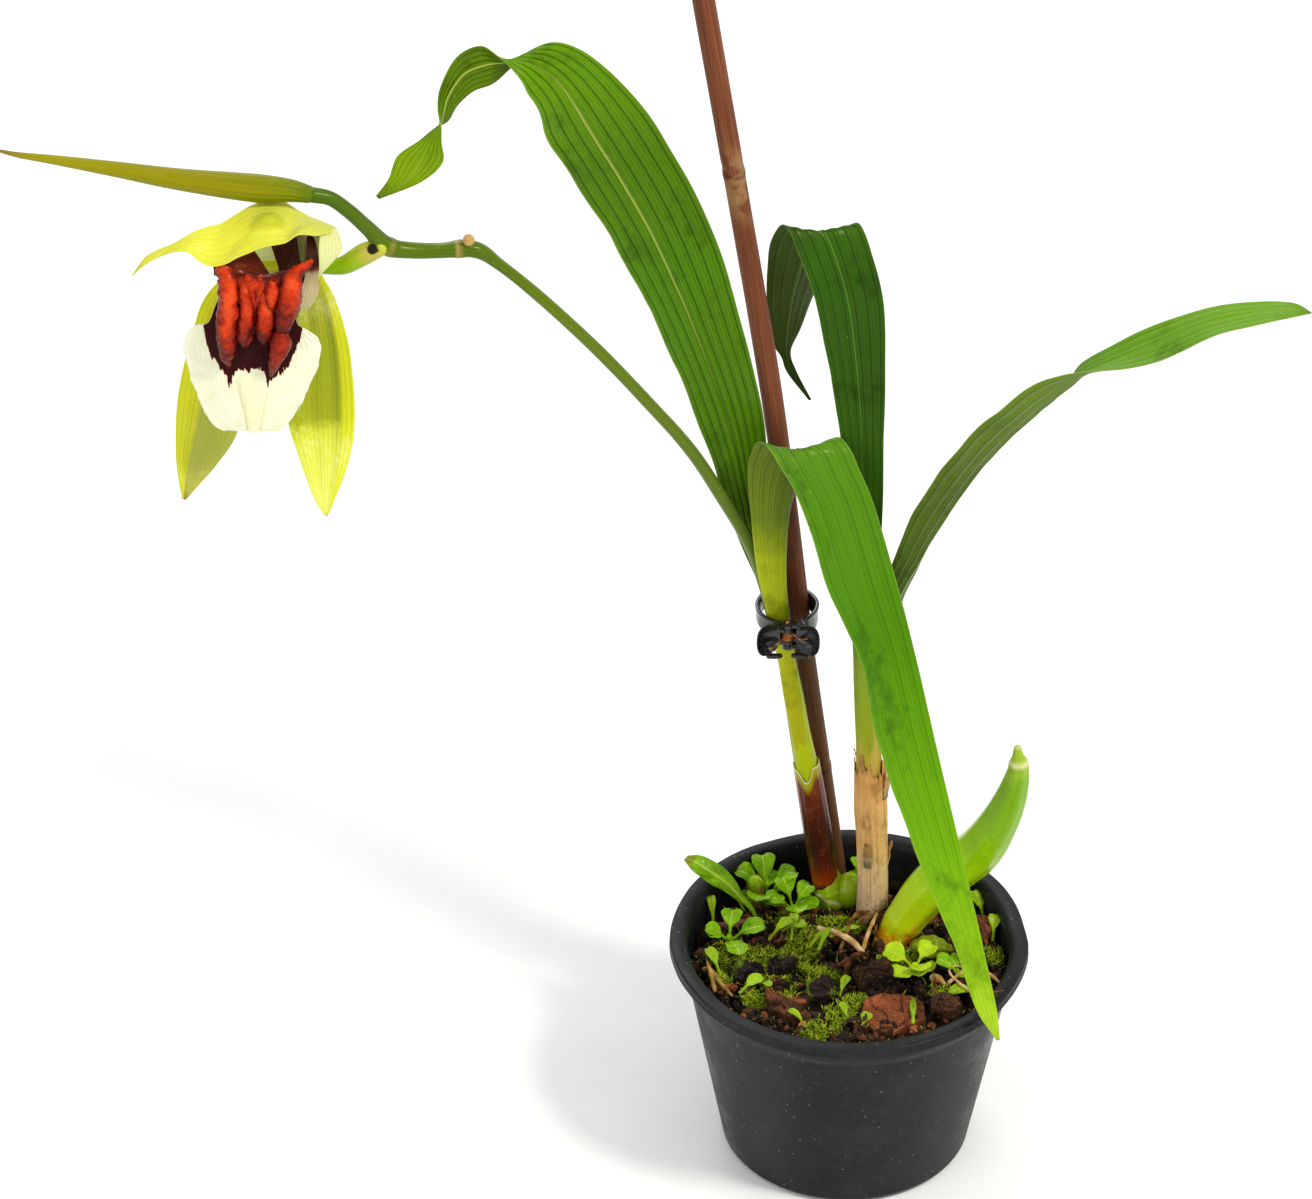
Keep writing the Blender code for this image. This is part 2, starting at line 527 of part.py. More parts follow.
def make_pot(finish):
    top = POT_HEIGHT
    under_rim = top - RIM_HEIGHT
    step = top - STEP_BELOW_RIM
    inner = [(0, FLOOR), (BASE_RADIUS - WALL - 4, FLOOR),
             (inner_radius(FLOOR + FLOOR_ROUND), FLOOR + FLOOR_ROUND),
             (inner_radius(step), step), (RIM_RADIUS - RIM_WIDTH - 1.4, top - 1.2),
             (RIM_RADIUS - RIM_WIDTH - 0.7, top - 0.3)]
    rim = [(RIM_RADIUS - RIM_WIDTH, top), (RIM_RADIUS - RIM_BEVEL, top),
           (RIM_RADIUS - RIM_BEVEL / 4, top - RIM_BEVEL / 2), (RIM_RADIUS, top - RIM_BEVEL),
           (RIM_RADIUS - 0.3, under_rim + 0.3), (RIM_RADIUS - 0.8, under_rim)]
    outer = [(wall_radius(under_rim), under_rim - 0.2), (wall_radius(step), step),
             (wall_radius(step - 0.6) - STEP_DEPTH, step - 0.6)]
    corner = [(BASE_RADIUS - STEP_DEPTH, BASE_ROUND)]
    corner += [(BASE_RADIUS - BASE_ROUND * (1 - math.cos(turn)), BASE_ROUND * (1 - math.sin(turn)))
               for turn in (math.radians(30), math.radians(60), math.radians(90))]
    pot = turned("pot", inner + rim + outer + corner + [(0, 0)], finish, POT_STEPS)
    for i in range(DRAIN_COUNT):
        drain = rod("drain_%d" % i, DRAIN_RADIUS, -2, FLOOR + 2, None, CUTTERS, 12)
        turn = math.tau * (i + 0.5) / DRAIN_COUNT
        drain.location = (DRAIN_CIRCLE * MM * math.cos(turn), DRAIN_CIRCLE * MM * math.sin(turn), 0)
        cut(pot, drain)
    return pot


def mix_height(x, y):
    """Height of the mix in millimetres: a slope, with a lump for each cell of a Voronoi noise."""
    distance = noise.voronoi(Vector((x * MIX_CELL, y * MIX_CELL, 0.35)))[0]
    lump = min(1.0, 2.2 * (distance[1] - distance[0]))
    return MIX_MIDDLE + MIX_SLOPE * y + MIX_RELIEF * (lump - 0.5)


def make_mix(finish):
    """Fills the pot: turned body whose top rings follow mix_height."""
    top = MIX_MIDDLE
    radius = inner_radius(top - 1) - MIX_INSET
    low = FLOOR + GAP
    rings = [(radius * (MIX_RINGS - i) / MIX_RINGS, top) for i in range(MIX_RINGS, -1, -1)]
    lower = [(inner_radius(low + 3) - MIX_INSET, low + 3), (inner_radius(low) - 4, low), (0, low)]
    mix = turned("potting_mix", rings + lower, finish, MIX_STEPS)
    mix = realise(mix)
    for corner in mix.data.vertices:
        if corner.co.z > (top - 0.01) * MM:
            x, y = corner.co.x / MM, corner.co.y / MM
            corner.co.z = mix_height(x, y) * MM
            swing = 1 - MIX_SWING * y / radius * min(1.0, math.hypot(x, y) / radius)
            corner.co.x *= swing
            corner.co.y *= swing
    mix.data.materials.append(finish)
    return mix


def make_chip(name, place, size, turn, finish, seed):
    """Broken flake of bark: convex hull of points jittered round a flat box."""
    draw = random.Random(seed)
    shape = bmesh.new()
    for i in range(22):
        angle = math.tau * (i % 11) / 11 + draw.uniform(-0.2, 0.2)
        reach = draw.uniform(0.8, 1.0)
        level = 0.5 if i < 11 else -0.5
        shrink = 1.0 if i < 11 else 0.8
        shape.verts.new((size[0] / 2 * MM * reach * shrink * math.cos(angle),
                         size[1] / 2 * MM * reach * shrink * math.sin(angle),
                         size[2] * MM * (level + draw.uniform(-0.14, 0.14))))
    hull = bmesh.ops.convex_hull(shape, input=shape.verts)
    loose = [part for part in hull["geom_interior"] if isinstance(part, bmesh.types.BMVert)]
    bmesh.ops.delete(shape, geom=loose, context="VERTS")
    bmesh.ops.recalc_face_normals(shape, faces=shape.faces)
    lean = Matrix.Rotation(draw.uniform(-0.15, 0.15), 4, "X")
    spot = Matrix.Translation((place[0] * MM, place[1] * MM, mix_height(*place) * MM + 0.4 * MM))
    shape.transform(spot @ Matrix.Rotation(math.radians(turn), 4, "Z") @ lean)
    return add_object(name, mesh_from_bmesh(name, shape), finish)


def grown_copy(thing, name):
    """Cutter: the same shape, grown along its vertex normals to leave the gap all round."""
    graph = bpy.context.evaluated_depsgraph_get()
    bpy.context.view_layer.update()
    data = bpy.data.meshes.new_from_object(thing.evaluated_get(graph))
    shape = bmesh.new()
    shape.from_mesh(data)
    bmesh.ops.remove_doubles(shape, verts=shape.verts, dist=0.01 * MM)
    shape.normal_update()
    moved = [(corner, corner.co + corner.normal * GROWTH * MM) for corner in shape.verts]
    for corner, goal in moved:
        corner.co = goal
    shape.to_mesh(data)
    shape.free()
    cutter = add_object(name, data, None, CUTTERS)
    cutter.matrix_world = thing.matrix_world.copy()
    return cutter


def weed_stalk(name, place, extra, group=MODEL):
    """Stalk of a weed or, with extra millimetres all round, the socket that it stands in."""
    x, y = place
    ground = mix_height(x, y)
    line = ((x, y, ground - STALK_DEPTH - extra), (x, y, ground + 1), (x, y, ground + 3))
    return realise(stem(name, line, STALK_RADIUS + extra, None, 3, 1, group))


def make_rosette(name, place, leaves, finish):
    """Leafy sprig: a short stalk in the mix with spoon-shaped leaves sunk into its top."""
    x, y = place
    ground = mix_height(x, y)
    stalk = weed_stalk(name, place, 0)
    stalk.data.materials.append(finish)
    parts = []
    for i, (heading, reach, rise, half) in enumerate(leaves):
        out = Vector((math.cos(math.radians(heading)), math.sin(math.radians(heading)), 0))
        side = Vector((-out.y, out.x, 0))
        foot = Vector((x, y, ground + 1.5 + 0.1 * i))
        spots = ((0.0, 0.0, 0.6), (0.35, 0.5, 0.7), (0.6, 0.8, 0.9 * half), (0.82, 1.0, half),
                 (1.0, 0.98, 0.45 * half))
        stations = []
        for go, up, wide in spots:
            middle = foot + out * reach * go + Vector((0, 0, rise * up))
            stations.append((tuple(middle + side * wide), tuple(middle - side * wide)))
        parts.append(blade("%s_leaf_%d" % (name, i), stations, None, 4, 2, ((0, 0.0), (1, 0.1)),
                           ((0, 0.7), (0.5, 0.5), (1, 0.4))))
    return unite(stalk, *parts)


def make_sheath(name, points, radii, wall, finish, count, sides):
    """Hollow tube, open at both ends, its wall to the inside."""
    tube = realise(stem(name, points, radii, None, count, sides, caps=False))
    tube.data.materials.append(finish)
    skin = tube.modifiers.new("wall", "SOLIDIFY")
    skin.thickness = wall * MM
    skin.offset = -1
    return tube


def make_lip_keels(finish):
    """Warty ridges of the lip: a thin plate on its face with rods sunk into it."""
    thick = 0.45
    lift = (LIP_HALF + GAP + thick) * MM
    place, normal, _ = blade_surface(LIP, LIP_ROWS, LIP_COLUMNS, FLAT)
    part = (place - normal * lift)[5:14, 1:LIP_COLUMNS]
    half = np.full(part.shape[:2], thick * MM)
    plate = blade_mesh("lip_keels", part, normal[5:14, 1:LIP_COLUMNS], half)
    plate = add_object("lip_keels", plate, finish)
    fine = 2 * LIP_COLUMNS
    seat = (LIP_HALF + GAP + 0.2) * MM
    place, normal, _ = blade_surface(LIP, LIP_ROWS, fine, FLAT)
    rods = []
    for i, (across, first, last, radius) in enumerate(LIP_KEELS):
        column = round((across + 1) / 2 * fine)
        line = (place - normal * (seat + radius * MM))[first:last + 1, column]
        spots = [tuple(point / MM) for point in line[::2]]
        sizes = [radius * (0.7 if k in (0, len(spots) - 1) else 1.0) for k in range(len(spots))]
        rods.append(realise(stem("keel_%d" % i, spots, sizes, None, 2 * len(spots) - 1, 1)))
    return unite(plate, *rods)


def clip_frame():
    return Vector((CLIP_CENTRE[0] * MM, CLIP_CENTRE[1] * MM, CLIP_HEIGHT * MM))


def jaw_ring(name, side):
    """Half ring of the clip, an outline given its height."""
    angles = np.radians(np.linspace(JAW_FROM, JAW_TO, JAW_POINTS))
    outer = [(CLIP_OUTER * math.cos(a), CLIP_OUTER * math.sin(a)) for a in angles]
    inner = [(CLIP_INNER * math.cos(a), CLIP_INNER * math.sin(a)) for a in angles[::-1]]
    curve = bpy.data.curves.new(name, "CURVE")
    curve.dimensions = "2D"
    curve.fill_mode = "BOTH"
    curve.extrude = CLIP_HALF_BAND * MM
    spline = curve.splines.new("POLY")
    spline.points.add(len(outer + inner) - 1)
    for point, (x, y) in zip(spline.points, outer + inner):
        point.co = (side * x * MM, y * MM, 0, 1)
    spline.use_cyclic_u = True
    return realise(add_object(name, curve, None))


def make_jaw(name, side, finish):
    """One half of the clip: half a ring, a lug pair on the pin and a finger tab."""
    jaw = jaw_ring(name, side)
    jaw.data.materials.append(finish)
    near, far = LUGS_RIGHT if side > 0 else LUGS_LEFT
    pin_y = -HINGE_OFFSET
    inner = LUG_RADIUS + (0.8 if side > 0 else 0.4)
    ends = sorted((side * inner, side * BLOCK_OUT))
    parts = [box("block", (ends[0], pin_y - BLOCK_FRONT, -far),
                 (ends[1], pin_y + BLOCK_BACK, far), None)]
    for sign in (1, -1):
        low, high = sorted((sign * near, sign * far))
        reach = sorted((0, side * ARM_REACH))
        parts.append(box("arm", (reach[0], pin_y - ARM_FRONT, low),
                         (reach[1], pin_y + ARM_BACK, high), None))
        lug = rod("lug", LUG_RADIUS, low, high, None, steps=10)
        lug.location = (0, pin_y * MM, 0)
        parts.append(lug)
    tab = rod("tab", TAB_RADIUS, -TAB_HALF, TAB_HALF, None, steps=14)
    spot = (side * TAB_PLACE[0] * MM, (pin_y + TAB_PLACE[1]) * MM, TAB_PLACE[2] * MM)
    tab.matrix_world = (Matrix.Translation(spot)
                        @ Matrix.Rotation(side * math.radians(TAB_TURN), 4, "Z")
                        @ Matrix.Rotation(math.radians(90), 4, "X"))
    parts.append(tab)
    bpy.context.view_layer.update()
    jaw = unite(jaw, *parts)
    bore = rod(name + "_bore", BORE_RADIUS, -8, 8, None, CUTTERS, 12)
    bore.location = clip_frame() + Vector((0, pin_y * MM, 0))
    jaw.location = clip_frame()
    cut(jaw, bore)


def make_spring(finish):
    """Coil round the pin, its two ends laid off straight."""
    turns = int(SPRING_TURNS * SPRING_SIDES)
    low = -SPRING_PITCH * SPRING_TURNS / 2
    centre = clip_frame() / MM + Vector((0, -HINGE_OFFSET, 0))
    spots = [(SPRING_LEG, SPRING_RADIUS, low)]
    for i in range(turns + 1):
        angle = math.radians(90) + math.tau * i / SPRING_SIDES
        spots.append((SPRING_RADIUS * math.cos(angle), SPRING_RADIUS * math.sin(angle),
                      low + SPRING_PITCH * i / SPRING_SIDES))
    heading = Vector((-math.sin(angle), math.cos(angle), 0))
    last = Vector(spots[-1])
    spots.append(tuple(last + heading * 0.5))
    curve = bpy.data.curves.new("clip_spring", "CURVE")
    curve.dimensions = "3D"
    curve.bevel_depth = SPRING_WIRE * MM
    curve.bevel_resolution = 2
    curve.use_fill_caps = True
    spline = curve.splines.new("POLY")
    spline.points.add(len(spots) - 1)
    for point, spot in zip(spline.points, spots):
        point.co = (*((Vector(spot) + centre) * MM), 1)
    return add_object("clip_spring", curve, finish)


def make_leaves(finish):
    """The four leaves: stations, rows, keel and half thickness along each."""
    blade("leaf_front", LEAF_FRONT, finish, 36, 4,
          ((0, 0), (0.25, 0), (0.36, 0.12), (0.5, 0.16), (0.8, 0.14), (1, 0)),
          ((0, 0.9), (0.12, 1.3), (0.22, 1.9), (0.3, 1.7), (0.42, 0.8), (0.6, 0.6), (1, 0.45)))
    blade("leaf_tall", LEAF_TALL, finish, 38, 4,
          ((0, 0), (0.15, 0), (0.3, 0.1), (0.55, 0.1), (0.72, 0.04), (1, 0)),
          ((0, 0.8), (0.05, 0.85), (0.1, 1.1), (0.17, 1.1), (0.26, 0.9), (0.4, 0.6), (1, 0.42)))
    petiole = ((0, 1.1), (0.15, 1.3), (0.35, 0.8), (0.5, 0.6), (1, 0.42))
    blade("leaf_back", LEAF_BACK, finish, 28, 4,
          ((0, 0), (0.2, 0), (0.35, 0.14), (0.7, 0.1), (0.9, 0.04), (1, 0)), petiole)
    blade("leaf_right", LEAF_RIGHT, finish, 28, 4,
          ((0, 0), (0.2, 0), (0.35, 0.16), (0.7, 0.12), (1, 0)), petiole)


def make_flower(tepal, cream, red):
    thick = ((0, 0.6), (0.3, 0.45), (1, 0.4))
    blade("dorsal_sepal", DORSAL_SEPAL, tepal, 20, 6,
          ((0, 0), (0.2, 0.12), (0.45, 0.2), (0.75, 0.15), (1, 0)), thick)
    blade("lateral_sepal_right", LATERAL_RIGHT, tepal, 16, 4,
          ((0, 0), (0.3, 0.12), (0.8, 0.12), (1, 0)), thick)
    blade("lateral_sepal_left", LATERAL_LEFT, tepal, 20, 4,
          ((0, 0), (0.3, 0.08), (0.8, 0.12), (1, 0)), thick)
    petal_fold = ((0, 0), (0.5, 0.08), (1, 0))
    blade("petal_right", PETAL_RIGHT, tepal, 12, 2, petal_fold, thick)
    blade("petal_left", PETAL_LEFT, tepal, 12, 2, petal_fold, thick)
    stem("column", COLUMN, COLUMN_RADII, tepal, 9)
    blade("lip", LIP, cream, LIP_ROWS, LIP_COLUMNS, FLAT, ((0, LIP_HALF), (1, LIP_HALF)))
    make_lip_keels(red)


def make_growth_base(finish):
    """Young bulb with a swollen foot and a bud, grooved for the foot of its sheath."""
    core = realise(stem("growth_base", GROWTH_CORE, GROWTH_CORE_RADIUS, None, 6))
    core.data.materials.append(finish)
    swelling = realise(stem("swelling", SWELLING, SWELLING_RADII, None, 7, 3))
    bud = realise(stem("bud", BUD, BUD_RADII, None, 7, 3))
    growth = unite(core, swelling, bud)
    outside = stem("sheath_groove", ((-6.67, 37.35, 74),) + PURPLE_SHEATH[1:],
                   [radius + GROWTH for radius in PURPLE_RADII], None, 10, 3, CUTTERS)
    inside = stem("sheath_core", ((-6.13, 37.5, 70),) + PURPLE_SHEATH[1:],
                  GROWTH_CORE_RADIUS + 0.2, None, 10, 3, CUTTERS)
    groove = realise(outside)
    cut(groove, realise(inside))
    cut(growth, groove)


def cut_sockets(mix):
    """Holes in the mix for all that stands or lies in it, with the gap all round."""
    sunk = ["old_bulb", "shrivelled_bulb", "rhizome", "stake", "twig", "seedling", "growth_base"]
    for name in sunk + list(BARK_CHIPS):
        cut(mix, grown_copy(bpy.data.objects[name], "socket_" + name))
    for name, (place, _) in ROSETTES.items():
        cut(mix, weed_stalk("socket_" + name, place, GROWTH, CUTTERS))
    papery_hole = stem("socket_papery", ((9, 29, 61.6),) + PAPERY_SHEATH[1:],
                       [radius + GROWTH for radius in PAPERY_RADII], None, 8, 3, CUTTERS)
    cut(mix, realise(papery_hole))


def main():
    clear_scene()
    new_collection(MODEL)
    new_collection(CUTTERS)

    plastic = material("pot_plastic", (0.02, 0.021, 0.022), 0.45)
    clip_plastic = material("clip_plastic", (0.012, 0.013, 0.014), 0.2)
    steel = material("spring_steel", (0.55, 0.3, 0.15), 0.45)
    bark_mix = material("bark_mix", (0.07, 0.045, 0.02), 0.9)
    bark = material("bark", (0.13, 0.05, 0.03), 0.85)
    leaf_green = material("leaf_green", (0.1, 0.3, 0.02), 0.4)
    stem_green = material("stem_green", (0.12, 0.22, 0.01), 0.4)
    weed_green = material("weed_green", (0.2, 0.5, 0.03), 0.4)
    bulb_green = material("bulb_green", (0.25, 0.45, 0.06), 0.35)
    sheath_purple = material("sheath_purple", (0.13, 0.03, 0.02), 0.45)
    papery = material("papery", (0.5, 0.33, 0.18), 0.8)
    tepal = material("tepal", (0.7, 0.75, 0.1), 0.5)
    cream = material("cream", (0.85, 0.85, 0.65), 0.5)
    keel_red = material("keel_red", (0.55, 0.06, 0.02), 0.3)
    cane = material("cane", (0.12, 0.06, 0.035), 0.6)
    olive = material("olive", (0.35, 0.33, 0.02), 0.4)

    make_pot(plastic)
    mix = make_mix(bark_mix)
    make_leaves(leaf_green)

    stem("scape", SCAPE, SCAPE_RADII, stem_green, 32)
    stem("terminal_bract", TERMINAL_BRACT, BRACT_RADII, olive, 16)
    stem("pedicel", PEDICEL, PEDICEL_RADII, stem_green, 8)
    make_flower(tepal, cream, keel_red)

    make_growth_base(bulb_green)
    make_sheath("purple_sheath", PURPLE_SHEATH, PURPLE_RADII, SHEATH_WALL, sheath_purple, 9, 3)
    stem("back_bulb", BACK_BULB, BACK_BULB_RADIUS, papery, 8, 3)
    make_sheath("papery_sheath", PAPERY_SHEATH, PAPERY_RADII, SHEATH_WALL, papery, 9, 3)
    stem("old_bulb", OLD_BULB, OLD_BULB_RADII, bulb_green, 16, 4)
    stem("shrivelled_bulb", SHRIVELLED_BULB, SHRIVELLED_RADII, bulb_green, 9, 3)
    stem("rhizome", RHIZOME, RHIZOME_RADIUS, papery, 10, 3)
    stem("stake", STAKE, STAKE_RADIUS, cane, 14, 4)
    stem("twig", TWIG, TWIG_RADIUS, bark, 6)
    blade("seedling", SEEDLING, weed_green, 14, 2, ((0, 0), (0.4, 0.1), (1, 0.05)),
          ((0, 0.7), (0.4, 0.6), (1, 0.4)))
    for seed, (name, (place, size, turn)) in enumerate(BARK_CHIPS.items()):
        make_chip(name, place, size, turn, bark, seed + 3)
    for name, (place, leaves) in ROSETTES.items():
        make_rosette(name, place, leaves, weed_green)
    cut_sockets(mix)

    make_jaw("clip_jaw_left", -1, clip_plastic)
    make_jaw("clip_jaw_right", 1, clip_plastic)
    pin = rod("clip_pin", PIN_RADIUS, -PIN_HALF_LENGTH, PIN_HALF_LENGTH, steel, steps=16)
    pin.location = clip_frame() + Vector((0, -HINGE_OFFSET * MM, 0))
    make_spring(steel)


main()
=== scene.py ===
# Potted coelogyne orchid: leaves, flower, bark mix, pot, cane and clip, dressed over the frame.
# Lists of points are in millimetres. Metres come from mm.
import math

import bpy
import numpy as np
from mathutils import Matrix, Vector


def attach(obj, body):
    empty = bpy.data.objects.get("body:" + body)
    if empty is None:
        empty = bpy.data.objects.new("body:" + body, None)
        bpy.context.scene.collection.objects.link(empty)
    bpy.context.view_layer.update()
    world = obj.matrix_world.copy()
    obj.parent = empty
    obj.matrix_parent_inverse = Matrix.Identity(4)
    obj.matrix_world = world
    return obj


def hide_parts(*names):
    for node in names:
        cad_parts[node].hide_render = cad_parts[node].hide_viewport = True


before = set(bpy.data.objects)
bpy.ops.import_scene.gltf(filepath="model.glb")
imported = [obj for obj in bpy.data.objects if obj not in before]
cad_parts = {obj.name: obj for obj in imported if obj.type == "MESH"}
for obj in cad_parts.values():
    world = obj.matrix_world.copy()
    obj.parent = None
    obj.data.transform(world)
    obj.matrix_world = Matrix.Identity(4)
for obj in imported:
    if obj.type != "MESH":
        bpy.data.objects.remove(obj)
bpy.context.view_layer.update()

mm = 0.001
sap = (0.95, 1.0, 0.3, 1.0)        # specular tints of fresh and of brown plant parts
bark = (1.0, 0.75, 0.5, 1.0)
tau = 2 * math.pi


# Numbers and curves

def tint(code):
    # sRGB hex code to a linear colour
    parts = [int(code[i:i + 2], 16) / 255 for i in (0, 2, 4)]
    return [c / 12.92 if c <= 0.04045 else ((c + 0.055) / 1.055) ** 2.4 for c in parts] + [1.0]


def smooth(x, low, high):
    # 0 below low, 1 above high, an S curve between
    t = np.clip((np.asarray(x, float) - low) / (high - low), 0, 1)
    return t * t * (3 - 2 * t)


def lattice(points, size, seed):
    # smooth noise from -1 to 1: hashed values on a lattice of that size, blended between
    p = np.asarray(points, float) / size + seed * 17.31
    cell = np.floor(p).astype(np.int64)
    f = p - cell
    f = f * f * (3 - 2 * f)
    total = np.zeros(p.shape[:-1])
    for corner in np.ndindex(*(2,) * p.shape[-1]):
        code = np.full(total.shape, seed * 40503 + 977, np.int64)
        weight = np.ones(total.shape)
        for axis, step in enumerate(corner):
            code = (code ^ (cell[..., axis] + step)) * (374761393 + 40 * axis) & 0x7fffffff
            code ^= code >> 13
            weight = weight * (f[..., axis] if step else 1 - f[..., axis])
        code = (code * 1274126177) & 0x7fffffff
        total += weight * ((code >> 7 & 0xffff) / 0x7fff - 1)
    return total


def cells(points, size, seed):
    # cell noise in the plane: how much further the second point is than the nearest one, the
    # nearest one's own random number, and the offset to it
    p = np.asarray(points, float) / size
    cell = np.floor(p).astype(np.int64)
    first = np.full(p.shape[:-1], 9.0)
    second = first.copy()
    own = first.copy()
    offset = np.zeros(p.shape)
    for step in np.ndindex(3, 3):
        home = cell + np.array(step) - 1
        code = (home[..., 0] * 73856093 ^ home[..., 1] * 19349663 ^ seed * 83492791) & 0x7fffffff
        code = (code * 1103515245 + 12345) & 0x7fffffff
        spot = home + np.stack((code >> 4 & 0x3ff, code >> 15 & 0x3ff), -1) / 1024
        away = p - spot
        far = np.linalg.norm(away, axis=-1)
        nearer = far < first
        second = np.where(nearer, first, np.minimum(second, far))
        own = np.where(nearer, (code >> 9 & 0x3ff) / 1024, own)
        offset = np.where(nearer[..., None], away, offset)
        first = np.where(nearer, far, first)
    return second - first, own, offset * size


def smoothRows(rows, count, guide=slice(0, 3)):
    # Catmull-Rom curve through the rows, read at even steps of the length of its guide columns
    rows = np.asarray(rows, float)
    padded = np.vstack((2 * rows[0] - rows[1], rows, 2 * rows[-1] - rows[-2]))
    p0, p1, p2, p3 = (padded[i:len(padded) - 3 + i, None] for i in range(4))
    t = np.linspace(0, 1, 12, endpoint=False)[None, :, None]
    fine = 0.5 * (2 * p1 + (p2 - p0) * t + (2 * p0 - 5 * p1 + 4 * p2 - p3) * t ** 2
                  + (3 * p1 - p0 - 3 * p2 + p3) * t ** 3)
    fine = np.vstack((fine.reshape(-1, rows.shape[1]), rows[-1:]))
    steps = np.linalg.norm(np.diff(fine[:, guide], axis=0), axis=1)
    length = np.concatenate(([0], np.cumsum(steps)))
    wanted = np.linspace(0, length[-1], count)
    return np.column_stack([np.interp(wanted, length, column) for column in fine.T])


def along(values, count):
    # (fraction, value) pairs, read at even steps
    where, what = zip(*values)
    return np.interp(np.linspace(0, 1, count), where, what)


def unit(v):
    return v / np.maximum(np.linalg.norm(v, axis=-1, keepdims=True), 1e-12)


def turnFrom(angle, middle):
    # how far an angle is from a middle one, at most half a turn either way
    return np.mod(angle - middle + math.pi, tau) - math.pi


def skin(angle, v, height, reach=1):
    # where noise is read on a tube: a circle of that reach at that height
    return np.stack((reach * np.cos(angle) + 0 * v, reach * np.sin(angle) + 0 * v, height + 0 * angle), -1)


def steady(number):
    # the same number all over a tube
    return lambda angle, v, s: number + 0 * angle * v


def ribbon(middles, across, halves):
    # a blade's stations from its middle line, a direction across it and its half widths
    return [(tuple(np.array(p) - across * w), tuple(np.array(p) + across * w))
            for p, w in zip(middles, halves)]


# Meshes

def gridFaces(rows, columns, wrap=False, flip=False):
    # quads of a grid of points, with the corner places (column, row) for its map
    width = columns if wrap else columns + 1
    i, j = (a.ravel() for a in np.mgrid[0:rows, 0:columns])
    k = np.stack((j, j + 1, j + 1, j), -1)
    m = np.stack((i, i, i + 1, i + 1), -1)
    faces = m * width + (k % width if wrap else k)
    place = np.stack((k / columns, m / rows), -1)
    return (faces[:, ::-1], place[:, ::-1]) if flip else (faces, place)


def fan(row, sides, pole):
    # triangles between one ring of a wrapped grid and its pole
    j = np.arange(sides)
    return np.stack((row * sides + j, row * sides + (j + 1) % sides, np.full(sides, pole)), -1)


def facingOut(parts, place):
    # the faces, turned round where a wrapped grid of rings has its quads facing its middle line
    middle = place.mean(axis=1, keepdims=True)
    across = np.roll(place, -1, axis=1) - place
    if np.sum(np.cross(across, np.gradient(place, axis=0)) * (place - middle)) > 0:
        return parts
    return [(face[:, ::-1], spot[:, ::-1]) for face, spot in parts]


def copies(faces, count, size):
    # the same faces on each of several copies of that many points, with an empty map
    start = np.arange(count)[:, None, None] * size
    corners = faces.shape[1]
    return (faces[None] + start).reshape(-1, corners), np.zeros((count * len(faces), corners, 2))


def makeMesh(name, points, parts, values):
    # points in metres, parts as (faces, map places), values as (name, number at each point)
    mesh = bpy.data.meshes.new(name)
    points = np.ascontiguousarray(points, np.float32).reshape(-1, 3)
    mesh.vertices.add(len(points))
    mesh.vertices.foreach_set("co", points.ravel())
    corners = np.concatenate([faces.ravel() for faces, _ in parts])
    sizes = np.concatenate([np.full(len(faces), faces.shape[1]) for faces, _ in parts])
    mesh.loops.add(len(corners))
    mesh.loops.foreach_set("vertex_index", corners.astype(np.int32))
    mesh.polygons.add(len(sizes))
    mesh.polygons.foreach_set("loop_start", (np.cumsum(sizes) - sizes).astype(np.int32))
    flat = np.concatenate([np.asarray(place, np.float32).reshape(-1, 2) for _, place in parts])
    mesh.uv_layers.new(name="own").data.foreach_set("uv", flat.ravel())
    for label, numbers in values:
        layer = mesh.attributes.new(label, "FLOAT", "POINT")
        layer.data.foreach_set("value", np.asarray(numbers, np.float32).ravel())
    mesh.update(calc_edges=True)
    mesh.validate()
    mesh.shade_smooth()
    return mesh


def joined(surfaces):
    # several (points, parts, values) put together as one
    points, parts, values, start = [], [], {}, 0
    for own, faces, numbers in surfaces:
        own = np.asarray(own, float).reshape(-1, 3)
        points.append(own)
        parts += [(face + start, place) for face, place in faces]
        for label, number in numbers:
            filled = np.broadcast_to(np.asarray(number, float).ravel(), (len(own),))
            values.setdefault(label, []).append(filled)
        start += len(own)
    return np.vstack(points), parts, [(k, np.concatenate(v)) for k, v in values.items()]


def addPiece(name, surface, finish, nodes=(), body="root", sharp=None):
    mesh = makeMesh(name, *surface)
    piece = bpy.data.objects.new(name, mesh)
    bpy.context.scene.collection.objects.link(piece)
    for material in finish if isinstance(finish, (list, tuple)) else [finish]:
        mesh.materials.append(material)
    if sharp:
        mesh.set_sharp_from_angle(angle=math.radians(sharp))
    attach(piece, body)
    if nodes:
        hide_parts(*nodes)
    return piece


def bladeGrid(stations, rows, columns, fold):
    # a blade's middle surface in mm: ruled between its two edges, pushed out to a keel by
    # fold * chord * (1 - |t|^1.5), or a parabola through edge, middle and edge
    stations = np.asarray(stations, float)
    one, two = stations[:, 0], stations[:, 1]
    middle = stations[:, 2] if stations.shape[1] == 3 else (one + two) / 2
    lines = smoothRows(np.hstack((one, two, middle)), rows + 1, slice(6, 9))
    one, two, middle = lines[:, 0:3], lines[:, 3:6], lines[:, 6:9]
    t = np.linspace(-1, 1, columns + 1)
    chord = two - one
    place = (middle[:, None] + chord[:, None] / 2 * t[None, :, None]
             + ((one + two) / 2 - middle)[:, None] * t[None, :, None] ** 2)
    lean = unit(np.cross(chord, np.gradient(middle, axis=0)))
    keel = along(fold, rows + 1) * np.linalg.norm(chord, axis=1)
    place = place + (lean * keel[:, None])[:, None] * (1 - np.abs(t) ** 1.5)[None, :, None]
    return place, gridNormal(place), t, np.linalg.norm(chord, axis=1)


